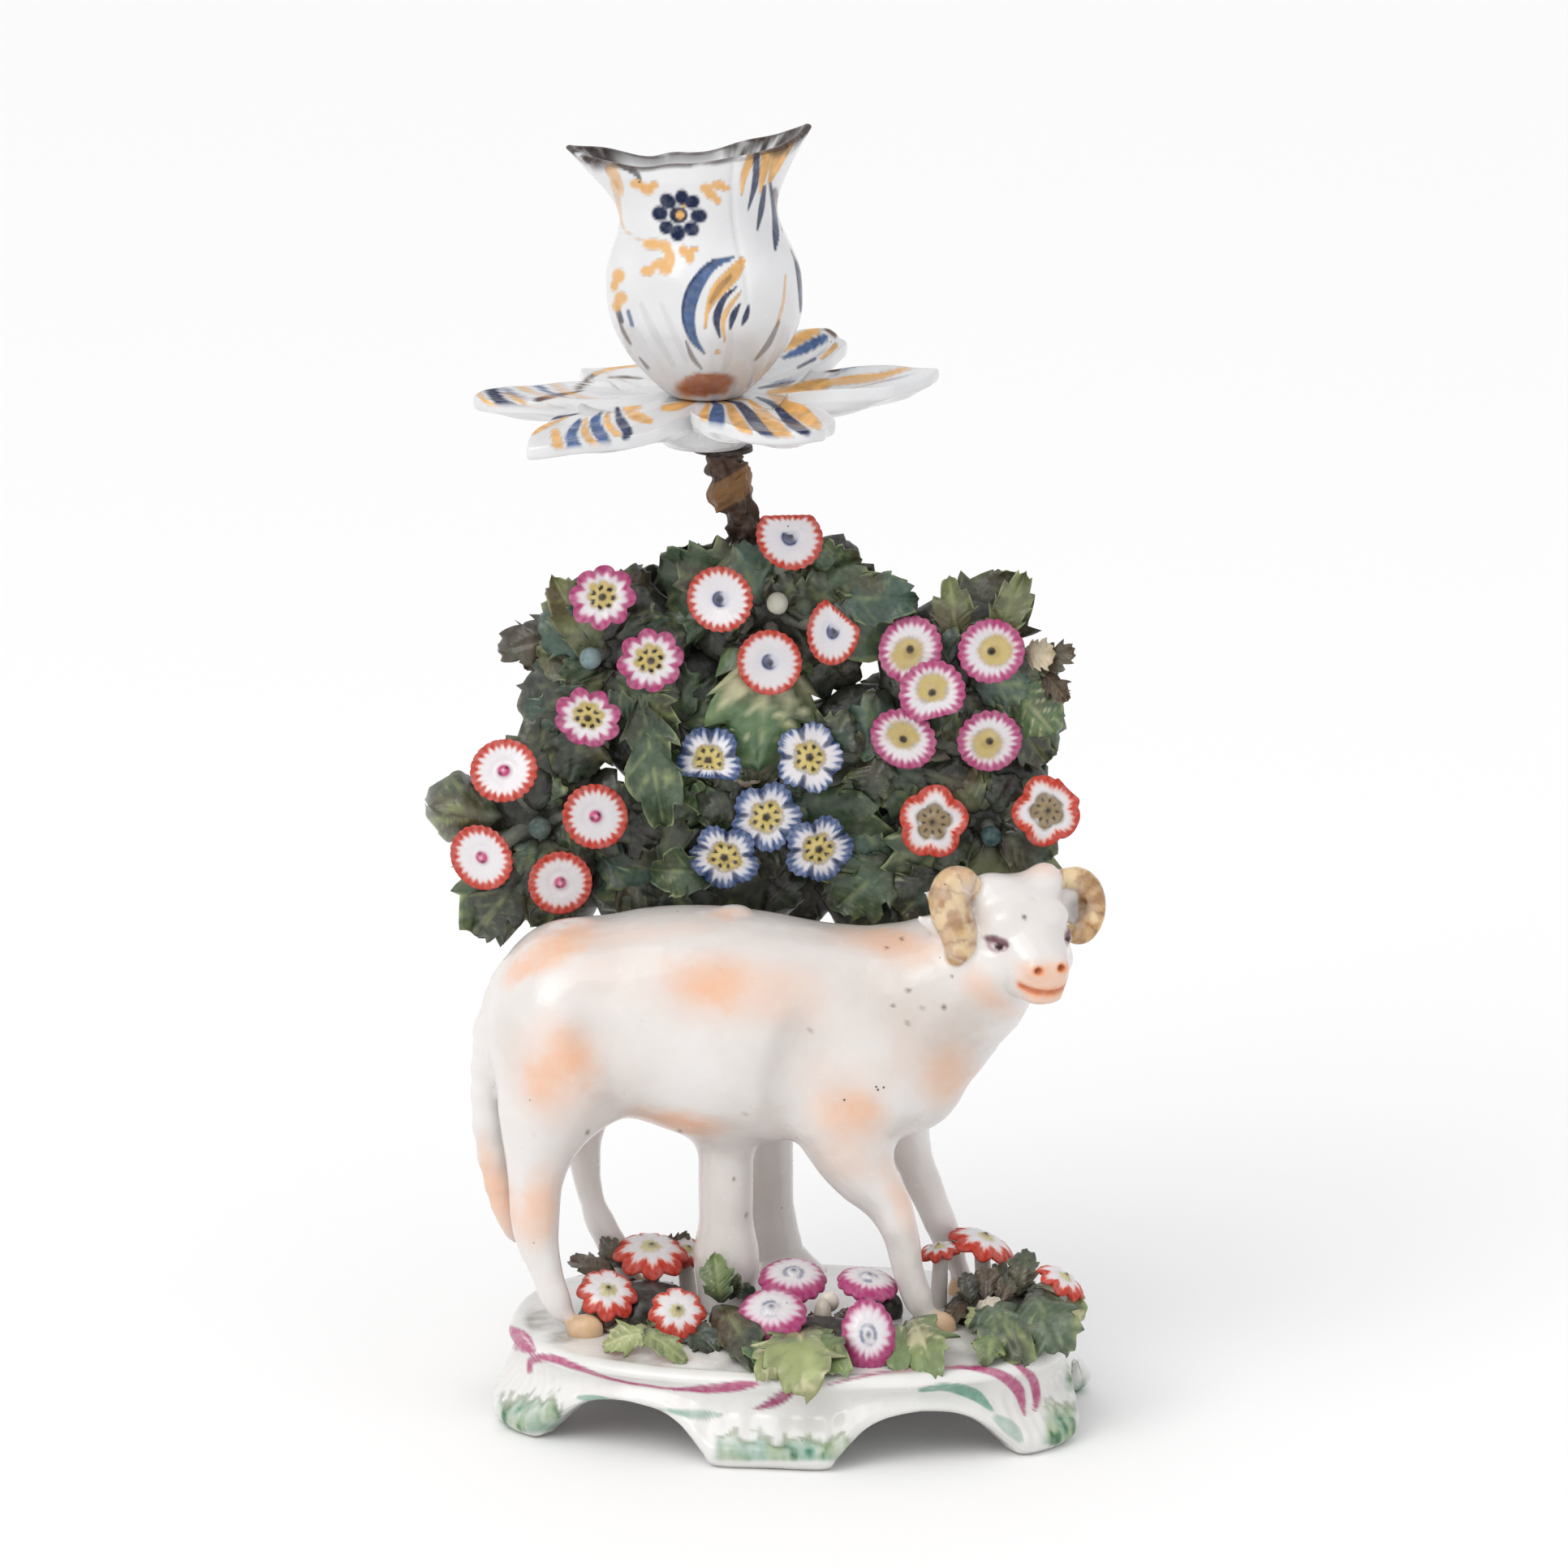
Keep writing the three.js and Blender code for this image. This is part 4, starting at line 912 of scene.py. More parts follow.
NOZZLE_COLUMNS = 340
NOZZLE_OUTER_ROWS = 98
NOZZLE_INNER_ROWS = 24
NOZZLE_LIP_ROWS = 7
NOZZLE_FOOT = PAN_MIDDLE + (0, 0, 9.6)
NOZZLE_HEIGHT = 42.0
NOZZLE_LEAN_X = -2.2
NOZZLE_WALL = 3.2
NOZZLE_FLOOR = 6.0
NOZZLE_OUTLINE = [
    (0, 7), (1.6, 8.8), (4.2, 11.2), (7.6, 14), (11.3, 16.2), (15, 17.7), (19, 18.1), (23, 18), (26, 17.2),
    (30, 15.6), (33.6, 14.6), (37, 14.3), (42, 14.9),
]
# Drawn-out lips: direction, spread, reach and rise
LIPS = [(180, 62, 8.2, 4.2), (0, 96, 6.4, 8)]
LIP_START = 33.0
FRONT_RISE = 3.0
PETAL_SEAMS = [-63, 62, 192]


# Degrees from one direction to another, from -180 to 180
def apart(turn, middle):
    return (turn - middle + 540) % 360 - 180


def lip_shape(turn):
    reach, rise = np.full_like(turn, 0.5), np.zeros_like(turn)
    for middle, spread, far, high in LIPS:
        share = np.clip(1 - np.abs(apart(turn, middle)) / spread, 0, 1) ** 1.4
        reach, rise = reach + far * share, rise + high * share
    front = np.cos(np.radians(np.clip(apart(turn, -90), -90, 90))) ** 2
    return reach, rise + FRONT_RISE * front


def nozzle_rows():
    turn = np.degrees(round_turns(NOZZLE_COLUMNS))
    reach, rise = lip_shape(turn)
    rim = NOZZLE_HEIGHT + rise + 0.35 * np.cos(np.radians(turn * 7)) * np.clip(1 - rise / 6, 0, 1)
    level = np.linspace(0, 1, NOZZLE_OUTER_ROWS)[:, None]
    height = level * rim
    radius = read_line(NOZZLE_OUTLINE, np.minimum(height, NOZZLE_HEIGHT))
    flare = np.clip((height - LIP_START) / (rim - LIP_START), 0, 1) ** 1.5
    outside = radius + reach * flare
    high = smooth(16, 26, height)
    for seam in PETAL_SEAMS:
        gap = apart(turn, seam)
        side = smooth(0, 1.6, gap) * smooth(46, 6, gap)
        outside = outside + high * (0.55 * side - 0.3 * np.exp(-(gap / 2.2) ** 2))
    flutes = np.cos(np.radians(turn * 9 + height * 3)) * smooth(1, 8, height) * smooth(24, 9, height)
    outside = outside + 0.28 * flutes
    thick = 1.5 + (NOZZLE_WALL - 1.5) * smooth(0, 10, rim - height)
    bend = np.linspace(math.pi, 0, NOZZLE_LIP_ROWS + 2)[1:-1, None]
    lip_radius = outside[-1] - 0.75 + 0.75 * np.cos(math.pi - bend)
    lip_height = rim + 0.6 * np.sin(bend)
    inner_height = NOZZLE_FLOOR + (rim - NOZZLE_FLOOR) * np.linspace(1, 0, NOZZLE_INNER_ROWS)[:, None]
    row = inner_height / rim * (NOZZLE_OUTER_ROWS - 1)
    base = np.minimum(row.astype(int), NOZZLE_OUTER_ROWS - 2)
    column = np.arange(NOZZLE_COLUMNS)[None, :]
    part = row - base
    hollow = outside - thick
    inside = hollow[base, column] * (1 - part) + hollow[base + 1, column] * part
    radii = np.concatenate([outside, lip_radius, np.maximum(inside, 4)])
    heights = np.concatenate([height, lip_height, inner_height])
    angle = np.radians(turn)[None, :]
    lean = NOZZLE_LEAN_X * np.minimum(heights / NOZZLE_HEIGHT, 1) ** 3
    rows = np.stack([np.cos(angle) * radii + lean, np.sin(angle) * radii, heights], -1) + NOZZLE_FOOT
    return rows, rim


NOZZLE_STAIN = (870, 474)
DARK_STAIN = (858, 480)
# A blue blossom: its middle, and its petals as places from there, two radii and turn
BLOSSOM_MIDDLE = (837, 265)
BLOSSOM = [
    (-14, -17, 11, 9, 40), (3, -22, 8.5, 9.5, 0), (16, -16, 9.5, 8.5, -30), (24, 1, 10.5, 9, 0),
    (15, 17, 10, 9, 30), (-2, 22, 9.5, 10.5, 0), (-16, 15, 9, 8.5, -30), (-24, -2, 10, 9.5, 0),
]
# Gold dabs: place in the photograph, two radii and turn
GOLD_LEAVES = [
    (785, 227, 9, 6, 10), (797, 233, 9, 7, 20), (806, 228, 6, 5, 0), (870, 232, 8, 6, 0),
    (885, 228, 9, 6, 0), (894, 232, 6, 4, 0), (876, 240, 8, 6, 20), (884, 247, 5, 5, 0),
    (805, 301, 13, 7, 0), (820, 304, 7, 8, 0), (825, 319, 7, 13, 0), (812, 325, 11, 6, -20),
    (798, 334, 9, 6.5, 0), (820, 333, 8, 6, 0), (842, 309, 6, 7, 0), (850, 316, 6, 9, 0),
    (855, 307, 6, 4, 0), (762, 340, 8, 9, 0), (757, 352, 5, 7, 0), (765, 367, 8, 8, 0), (760, 377, 6, 7, 0),
    (884, 434, 4, 2.6, 0), (842, 252, 4, 3, 20),
]
# Strokes of the brush: tint, strength, and places in the photograph with the width at each
NOZZLE_STROKES = [
    (STEEL_BLUE * 0.85, 0.95, [
        (903, 317, 4), (876, 328, 11), (856, 356, 15), (848, 386, 14), (854, 415, 8), (868, 435, 2),
    ]),
    (NAVY, 0.75, [(880, 320, 2), (850, 350, 3), (841, 386, 3), (849, 417, 2), (866, 435, 1)]),
    (GOLD, 0.95, [(914, 322, 8), (903, 338, 15), (884, 358, 14), (872, 382, 5), (869, 404, 3)]),
    (BROWN, 0.5, [(900, 340, 4), (886, 356, 7), (876, 372, 4)]),
    (NAVY, 0.95, [(907, 354, 2), (892, 368, 6), (883, 392, 8), (887, 416, 2)]),
    (GOLD, 0.9, [(913, 360, 2), (900, 376, 5), (891, 396, 5), (893, 420, 2)]),
    (NAVY, 0.95, [(912, 374, 2), (904, 388, 7), (900, 404, 3)]),
    (NAVY, 0.95, [(922, 378, 3), (919, 390, 6), (915, 399, 3)]),
    (GOLD, 0.9, [(927, 190, 10), (917, 216, 7), (914, 240, 2)]),
    (NAVY, 0.9, [(932, 190, 7), (931, 222, 7), (922, 258, 2)]),
    (GOLD, 0.95, [(946, 182, 11), (941, 212, 8), (937, 236, 3)]),
    (NAVY, 0.9, [(942, 230, 4), (938, 258, 6), (933, 284, 2)]),
    (GOLD, 0.95, [(968, 174, 18), (956, 202, 12), (948, 224, 4)]),
    (NAVY, 0.95, [(949, 226, 3), (954, 262, 5), (956, 290, 7), (955, 309, 2)]),
    (BROWN, 0.8, [(955, 234, 5), (961, 262, 5), (964, 284, 2)]),
    (BROWN, 0.7, [(975, 307, 3), (981, 320, 5), (985, 333, 5)]),
    (NAVY, 0.95, [(981, 322, 4), (987, 348, 8), (987, 384, 3)]),
    (GOLD, 0.7, [(968, 338, 2), (965, 372, 3), (957, 402, 3)]),
    (BROWN, 0.65, [(960, 396, 3), (947, 423, 6), (931, 443, 3)]),
    (BROWN, 0.7, [(845, 420, 2), (853, 440, 5), (865, 455, 2)]),
    (BROWN, 0.7, [(788, 441, 2), (798, 453, 4)]),
    (GOLD, 0.55, [(757, 226, 9), (762, 250, 5), (768, 280, 2.5), (784, 293, 2), (805, 297, 3)]),
    (GOLD, 0.7, [(752, 208, 12), (762, 226, 9), (766, 240, 3)]),
    (NAVY, 0.85, [(761, 378, 4), (766, 396, 5)]),
    (STEEL_BLUE, 0.85, [(774, 384, 4), (779, 401, 4)]),
    (BROWN, 0.7, [(759, 384, 2), (768, 408, 4), (777, 424, 3)]),
    (BLACK, 0.8, [(752, 196, 4), (768, 203, 8), (784, 214, 6), (790, 224, 2)]),
    # The three faint grey strokes are painted shade on the lower front of the nozzle
    (GREY, 0.16, [(790, 375, 5), (806, 410, 8), (830, 450, 5)]),
    (GREY, 0.14, [(815, 375, 4), (828, 405, 7), (846, 445, 5)]),
    (GREY, 0.12, [(900, 410, 5), (898, 440, 8), (890, 458, 5)]),
]


def paint_nozzle(points, outer, rim):
    paint = Paint(points)
    middle = NOZZLE_FOOT[1]
    turned = points.copy()
    behind = points[:, 1] > middle
    turned[behind, 1] = 2 * middle - points[behind, 1]
    place = seen(turned)
    place[behind, 0] += 26 * smooth(middle, middle + 9, points[behind, 1])
    shown = outer * smooth(0.6, 2.6, np.abs(points[:, 1] - middle))
    tone = (1 + 0.3 * noise(points, 1.6, 7))[:, None]
    paint.strokes(place, NOZZLE_STROKES, 1.22, shown, tone=tone)
    for u, v, wide, high, turn in GOLD_LEAVES:
        paint.lay(GOLD, dab(place, (u, v), wide, high, turn) * 0.9 * shown)
    middle_u, middle_v = BLOSSOM_MIDDLE
    for u, v, wide, high, turn in BLOSSOM:
        paint.lay(NAVY * 0.7, dab(place, (middle_u + u, middle_v + v), wide, high, turn, 0.2) * shown)
    paint.lay(NAVY * 0.6, dab(place, (middle_u - 1, middle_v), 11.5, 10.5, soft=0.15) * shown)
    paint.lay(GOLD, dab(place, (middle_u + 1, middle_v), 5.5, 5, soft=0.25) * shown)
    stain = dab(place + 5 * rough_noise(points, 2, 5)[:, None], NOZZLE_STAIN, 36, 14, -8, 0.25) * shown
    paint.lay((166, 92, 36), stain * (0.9 + 0.1 * rough_noise(points, 3, 6)))
    paint.lay((138, 70, 36), dab(place, DARK_STAIN, 22, 8, 0, 0.6) * shown * 0.7)
    height = points[:, 2] - NOZZLE_FOOT[2]
    below = rim - height
    turn = np.degrees(np.arctan2(points[:, 1] - middle, points[:, 0] - NOZZLE_FOOT[0] - NOZZLE_LEAN_X))
    shown = outer.astype(float)
    lips = np.maximum(smooth(60, 20, np.abs(apart(turn, 0))), smooth(42, 20, np.abs(apart(turn, 180))))
    patchy = smooth(-0.35, 0.3, rough_noise(points, 2.2, 8) + 0.25)
    # Dark brown in patches along the rim, wider and stronger on the lips
    paint.lay((46, 34, 30), smooth(0.25 + 2.6 * lips, 0.05, below) * patchy * (0.45 + 0.5 * lips))
    # Dark brown in patches inside the nozzle, below the lips
    far_lip = np.maximum(lips, smooth(74, 46, np.abs(apart(turn, 6))))
    paint.lay((50, 37, 32), (1 - shown) * far_lip * smooth(9, 5, below) * patchy)
    spotty = smooth(-0.5, 0.2, rough_noise(points, 4, 9) + 0.1)
    paint.lay((60, 44, 36), smooth(0.1, -0.3, below) * spotty * 0.75)
    return paint.done()


def make_nozzle(glaze):
    rows, rim = nozzle_rows()
    points, faces = loft(rows)
    outer = with_ends(np.arange(len(rows)).repeat(NOZZLE_COLUMNS) < NOZZLE_OUTER_ROWS + 4) > 0
    points = swell(points, faces, 0.1 * noise(points, 8, 4))
    paint = paint_nozzle(points, outer, with_ends(np.tile(rim, len(rows)), 60, 60))
    make_piece("nozzle", points, outward(points, faces), glaze, "candle_nozzle", paint)


# Drip pan: six leaf lobes of uneven set and height around a flat seat

PAN_COLUMNS = 430
PAN_TOP_ROWS = 58
PAN_REACH = 44.6
PAN_NOTCH_REACH = 21.0
PAN_HUB = 9.3
PAN_BOSS_RADIUS = 7.5
PAN_SEAT_RADIUS = 8.5
PAN_THICKNESS = 2.4
# Lobes: direction and rise of the tip
PAN_LOBES = [(5, 4.6), (58, 6), (118, -2), (175, -0.6), (222, -3.6), (296, 1.2)]
PAN_ROUND = 1.5
PAN_POINTED = 1.12
PAN_STAIN = (872, 476)
PAN_DARK_STAIN = (858, 484)
# Oval parts of the far side that have painted strokes, so that no plain bands go there
PAN_PAINTED = [((990, 430), 60, 40), ((740, 462), 60, 26)]
# Strokes of the brush: tint, and places in the photograph with the width at each
PAN_STROKES = [
    (NAVY, [(596, 478, 5), (608, 484, 13), (622, 498, 10), (653, 505, 7), (680, 503, 4), (705, 499, 1)]),
    (GOLD, [(588, 482, 4), (599, 495, 5), (620, 505, 5), (645, 509, 2)]),
    (GOLD, [(623, 484, 3), (640, 493, 6), (652, 500, 3), (680, 499, 2)]),
    (BROWN, [(660, 493, 5), (690, 486, 4), (718, 481, 1)]),
    (NAVY, [(630, 540, 5), (647, 524, 6), (670, 517, 5), (712, 509, 1.5)]),
    (GOLD, [(633, 546, 6), (654, 533, 8), (677, 523, 4), (698, 513, 2)]),
    (GOLD, [(684, 532, 9), (687, 547, 12), (695, 561, 8)]),
    (STEEL_BLUE, [(714, 519, 6), (705, 533, 12), (707, 550, 16), (718, 562, 14)]),
    (GOLD, [(722, 517, 4), (721, 533, 8), (731, 547, 9), (739, 556, 6)]),
    (STEEL_BLUE, [(738, 512, 6), (734, 523, 13), (741, 537, 14), (748, 546, 10)]),
    (GOLD, [(748, 511, 5), (750, 523, 8), (760, 535, 7)]),
    (NAVY, [(761, 504, 5), (764, 517, 10), (772, 530, 12), (771, 540, 8)]),
    (GOLD, [(776, 509, 10), (787, 514, 12), (801, 519, 7)]),
    (GOLD, [(770, 504, 4), (789, 502, 5)]),
    (GOLD, [(818, 503, 7), (833, 501, 9), (849, 496, 7)]),
    (NAVY, [(822, 493, 4), (840, 490, 4), (858, 487, 2)]),
    (GOLD, [(873, 499, 5), (867, 514, 10)]),
    (STEEL_BLUE, [(883, 494, 6), (885, 507, 14), (882, 522, 19), (883, 531, 12)]),
    (GOLD, [(899, 499, 7), (904, 511, 12), (913, 524, 13), (922, 532, 8)]),
    (NAVY, [(903, 493, 3), (917, 504, 10), (934, 523, 15), (955, 539, 11)]),
    (GOLD, [(922, 493, 4), (941, 511, 12), (960, 530, 15), (974, 541, 9)]),
    (NAVY, [(932, 489, 3), (954, 499, 7), (974, 520, 12), (994, 533, 9)]),
    (GOLD, [(947, 486, 4), (968, 496, 14), (990, 511, 17), (1007, 524, 9)]),
    (GOLD, [(947, 483, 5), (978, 478, 10), (1016, 473, 13)]),
    (NAVY, [(935, 478, 2), (958, 474, 5), (979, 469, 2)]),
    (BROWN, [(712, 478, 5), (730, 463, 5), (744, 455, 2)]),
    (GOLD, [(733, 460, 5), (757, 452, 5), (784, 450, 3)]),
    (BROWN, [(750, 465, 2), (770, 465, 4), (791, 467, 1.5)]),
    (GOLD, [(953, 434, 10), (977, 421, 13), (1004, 407, 11)]),
    (STEEL_BLUE, [(966, 441, 4), (990, 430, 11), (1014, 417, 11)]),
    (NAVY, [(983, 453, 3), (1004, 442, 4)]),
    (GOLD, [(1012, 441, 4), (1030, 427, 7)]),
    (BROWN, [(1016, 403, 6), (1028, 413, 6)]),
    (BROWN, [(1018, 457, 3), (1028, 455, 6), (1039, 452, 3)]),
    (GOLD, [(1022, 468, 1.5), (1050, 464, 3), (1085, 461, 2), (1112, 457, 1)]),
    # The grey stroke darkens the right lobe above its gold edge
    (GREY, [(1050, 447, 3), (1082, 444, 5), (1108, 446, 2)]),
]


# For each direction: the nearest lobe's rise, half its gap, and how near its notch, without and with a sign
def nearest_lobe(turn):
    best = np.full(len(turn), 9.0)
    rise, half, signed = np.zeros(len(turn)), np.ones(len(turn)), np.zeros(len(turn))
    count = len(PAN_LOBES)
    for i, (angle, high) in enumerate(PAN_LOBES):
        gap = apart(turn, angle)
        before = abs(apart(PAN_LOBES[i - 1][0], angle)) / 2
        after = abs(apart(PAN_LOBES[(i + 1) % count][0], angle)) / 2
        span = np.where(gap < 0, before, after)
        share = np.abs(gap) / span
        closer = share < best
        best = np.where(closer, share, best)
        rise, half = np.where(closer, high, rise), np.where(closer, span, half)
        signed = np.where(closer, gap / span, signed)
    return rise, half, best, signed


def pan_rows():
    turn = np.degrees(round_turns(PAN_COLUMNS))
    rise, half, share, signed = nearest_lobe(turn)
    depth = (PAN_REACH - PAN_NOTCH_REACH) * half / 30
    pointed = smooth(30, 14, np.abs(apart(turn, PAN_LOBES[4][0])))
    reach = PAN_REACH - 0.7 - depth * share ** (PAN_ROUND + (PAN_POINTED - PAN_ROUND) * pointed)
    frill = 0.5 * np.cos(np.radians(turn * 23)) + 0.35 * np.cos(np.radians(turn * 37 + 40))
    reach = np.minimum(reach + frill * smooth(0.05, 0.3, share) - 0.3, PAN_REACH - 0.2)
    angle = np.radians(turn)

    def ring(along, below):
        radius = PAN_SEAT_RADIUS + (reach - PAN_SEAT_RADIUS) * along
        lift = rise * along ** 2 * (1 - share * 0.6) - 1.5 * math.sin(math.pi * min(along, 1))
        spine = -0.6 * along * (1 - share)
        rib = 0.32 * np.cos(signed * 13 + along * 5) * smooth(0.15, 0.6, along) * smooth(1.02, 0.8, along)
        edge = 0.5 * smooth(0.84, 0.97, along) * (1 + 0.5 * np.cos(np.radians(turn * 17)))
        height = PAN_HUB + lift + spine + rib + edge - below
        return np.stack([np.cos(angle) * radius, np.sin(angle) * radius, height], 1) + PAN_MIDDLE

    rows = [ring(along, 0) for along in np.linspace(0.02, 0.985, PAN_TOP_ROWS)]
    for bend in np.linspace(0, math.pi, 8)[1:-1]:
        below = PAN_THICKNESS / 2 * (1 - math.cos(bend)) * 0.96 + 0.05
        rows.append(ring(0.985 + 0.013 * math.sin(bend), below))
    rows += [ring(along, PAN_THICKNESS + 0.2 * (1 - along)) for along in np.linspace(0.985, 0.3, 18)]
    foot = np.stack([np.cos(angle), np.sin(angle), 0 * angle], 1) * PAN_BOSS_RADIUS + PAN_MIDDLE
    last = rows[-1]
    for part in np.linspace(0, 1, 7)[1:]:
        flat = last + (foot - last) * part
        flat[:, 2] = last[:, 2] + (foot[:, 2] - last[:, 2]) * part ** 1.6
        rows.append(flat)
    return np.array(rows)


def make_pan(glaze):
    rows = pan_rows()
    points, faces = loft(rows)
    faces = outward(points, faces)
    paint = Paint(points)
    place = seen(points)
    top = smooth(-0.1, 0.25, normals_of(points, faces)[:, 2])
    hand = noise(points, 5, 3)[:, None] * 1.2
    tone = (1 + 0.3 * noise(points, 1.6, 7))[:, None]
    lines = [(tint, 0.98, line) for tint, line in PAN_STROKES]
    paint.strokes(place + hand, lines, 1.12, top, 2, tone)
    paint.lay((176, 104, 40), dab(place, PAN_STAIN, 40, 15, -6, 0.2) * top * 0.9)
    paint.lay((138, 70, 36), dab(place, PAN_DARK_STAIN, 24, 8, 0, 0.5) * top * 0.7)
    across = points - PAN_MIDDLE
    far = smooth(2, 10, across[:, 1])
    for middle, wide, high in PAN_PAINTED:
        far = far * (1 - dab(place, middle, wide, high))
    turn = np.degrees(np.arctan2(across[:, 1], across[:, 0]))
    _, _, share, signed = nearest_lobe(turn)
    radius = np.hypot(across[:, 0], across[:, 1])
    feather = (signed * 5 + radius * 0.12) % 1
    band = smooth(18, 22, radius) * smooth(42, 37, radius)
    band = band * smooth(0.1, 0.2, share) * smooth(0.86, 0.74, share)
    line = smooth(0.02, 0.12, feather) * smooth(0.62, 0.5, feather)
    tint = np.where((np.floor(signed * 5 + radius * 0.12) % 2)[:, None] > 0, STEEL_BLUE, GOLD)
    paint.lay(tint, line * band * far * top * 0.8)
    make_piece("drip_pan_leaf", points, faces, glaze, "drip_pan", paint.done())


# Stem: knotted bark with an oblique collar and a thin dark flange under the pan

STEM_ROWS = 120
STEM_SIDES = 80
STEM_FOOT = np.array([-8.5, 25.0, 160.3])
STEM_TOP = PAN_MIDDLE - (-2.8, 0, 0.3)
# Share of the way up, and radius or sideways bend
STEM_PROFILE = [
    (0, 3.6), (0.06, 3), (0.12, 3.1), (0.18, 3.7), (0.23, 3.9), (0.3, 3.2), (0.4, 3.1), (0.5, 3.8),
    (0.58, 4.5), (0.66, 4.6), (0.72, 4), (0.76, 3.4), (0.84, 3.3), (0.92, 3.4), (0.945, 3.8), (0.955, 6),
    (1, 6.2),
]
STEM_BEND = [(0, 1.6), (0.2, 2.2), (0.4, 1.2), (0.6, 0.2), (0.8, 0.6), (1, 0)]


def make_stem(bark):
    shape = STEM_ROWS, STEM_SIDES
    share = np.linspace(0, 1, STEM_ROWS)[:, None]
    turn = full_turn(STEM_SIDES)[None, :]
    profile = np.array(STEM_PROFILE)
    radius = np.interp(share, profile[:, 0], profile[:, 1])
    middle = STEM_FOOT + (STEM_TOP - STEM_FOOT) * share
    collar = smooth(0.44, 0.5, share) * smooth(0.76, 0.72, share)
    slant = 0.6 * smooth(0.36, 0.5, share) * smooth(0.92, 0.74, share)
    free = smooth(0.965, 0.93, share)
    grain = np.stack(np.broadcast_arrays(np.cos(turn) * 4, np.sin(turn) * 4, share * 21.2), -1).reshape(-1, 3)
    middle[:, 0] += read_line(STEM_BEND, share[:, 0])
    lumps = rough_noise(grain * (1, 1, 0.9), 3, 12, 4).reshape(shape)
    ridges = np.abs(noise(grain * (1, 1, 0.35), 1.3, 14)).reshape(shape)
    jag = np.maximum(noise(grain * (1, 1, 1.2), 2.2, 15).reshape(shape) - 0.1, 0)
    radius = radius + free * (0.7 * lumps - 0.5 * ridges + 2.6 * jag * (1 - collar * 0.3)) - 0.35
    radius = np.minimum(radius, 6.4)
    rows = np.stack([
        middle[:, :1] + np.cos(turn) * radius,
        middle[:, 1:2] + np.sin(turn) * radius,
        middle[:, 2:] + slant * np.cos(turn) * radius,
    ], -1)
    points, faces = loft(rows)
    paint = Paint(points)
    paint.lay((74, 56, 46), 1)
    lump = with_ends(lumps)
    paint.fade((38, 28, 24), 0.35, 0.05, with_ends(ridges), 0.75)
    paint.fade((112, 88, 70), 0.1, 0.6, lump, 0.6)
    paint.fade((142, 104, 62), 0.3, 0.8, with_ends(np.broadcast_to(collar, shape)) + 0.25 * lump, 0.75)
    upper = (points[:, 2] - STEM_FOOT[2]) / (STEM_TOP[2] - STEM_FOOT[2])
    paint.fade((34, 26, 24), 0.93, 0.96, upper, 0.9)
    # Painted highlight: pale grey towards the foot of the stem
    paint.fade((104, 92, 82), 0.16, 0.0, upper, 0.4)
    make_piece("stem", points, outward(points, faces), bark, "candle_branch", paint.done())


# Base: a domed cartouche on six scroll feet, hollow below

BASE_COLUMNS = 500
WALL_ROWS = 38
RIM_WIDTH = 107.0
RIM_DEPTH = 72.0
BASE_MIDDLE_X = 1.7
BASE_HEIGHT = 17.0
BASE_DOME = 2.5
BASE_WALL = 5.0
ARCH_HEIGHT = 10.0
FOOT_FLARE = 4.5
RIM_COVE = 2.0
RIM_ROLL = 2.3
WALL_TOP = BASE_HEIGHT - 1.7
BASE_TURN = math.radians(-6.5)
CORNER_POWER = 0.82
TOP_ROWS = 34
FOOT_TABLE = [
    (0, 1), (10.5, 1), (13, 0.8), (15.5, 0.54), (18.5, 0.28), (22.5, 0.09), (28, 0), (32, 0), (36.5, 0.06),
    (40.5, 0.2), (44.5, 0.44), (48.5, 0.76), (53, 1), (69, 1), (74, 0.62), (80, 0.2), (86, 0.04), (90, 0),
]
WALL_COVE = [(0, 0), (0.18, 0.62), (0.4, 1), (0.75, 0.5), (1, 0.2)]
WALL_FLARE = [(0, 0), (0.2, 0.02), (0.38, 0.2), (0.55, 0.66), (0.72, 1), (0.86, 0.96), (1, 0.6)]
# Strokes of the brush: tint, strength, and places in the photograph with the width at each
BASE_STROKES = [
    (MAGENTA, 0.9, [(627, 1638, 8), (642, 1652, 20), (656, 1664, 8)]),
    (PORCELAIN, 0.6, [(640, 1640, 1), (652, 1654, 2), (660, 1664, 1)]),
    (MAGENTA, 0.9, [
        (652, 1688, 6), (656, 1676, 8), (680, 1674, 9), (712, 1685, 6), (755, 1700, 3), (805, 1708, 2.5),
        (870, 1714, 2.5),
    ]),
    (PORCELAIN, 0.8, [(668, 1677, 1), (684, 1681, 2.5), (706, 1690, 1)]),
    (MAGENTA, 0.9, [(830, 1712, 2), (880, 1710, 9), (915, 1707, 9), (936, 1705, 2)]),
    (MAGENTA * 0.7, 0.95, [(930, 1736, 2), (958, 1724, 11), (980, 1709, 7)]),
    (MAGENTA, 0.85, [
        (1022, 1706, 2), (1070, 1695, 2.5), (1112, 1688, 3), (1175, 1685, 4), (1212, 1687, 6),
    ]),
    (MAGENTA, 0.9, [(1190, 1685, 3), (1230, 1693, 9), (1254, 1712, 12), (1262, 1743, 3)]),
    (MAGENTA, 0.9, [(1250, 1680, 3), (1270, 1696, 9), (1278, 1720, 9), (1275, 1738, 3)]),
    (TEAL, 0.7, [(714, 1722, 4), (735, 1724, 9), (757, 1727, 4)]),
    (TEAL, 0.35, [(757, 1727, 4), (800, 1736, 3), (838, 1740, 4)]),
    (TEAL, 0.65, [(826, 1738, 4), (858, 1742, 9), (886, 1742, 4)]),
    (TEAL, 0.85, [(1133, 1712, 4), (1168, 1710, 8), (1200, 1718, 12), (1221, 1736, 4)]),
    (TEAL, 0.5, [(1228, 1747, 8), (1243, 1758, 14), (1256, 1772, 8)]),
]
# Grass on the feet: left, right, upper and lower edge
GRASS_PATCHES = [
    (612, 694, 1716, 1766), (880, 1050, 1764, 1801), (1284, 1330, 1724, 1782), (1312, 1345, 1678, 1716),
]
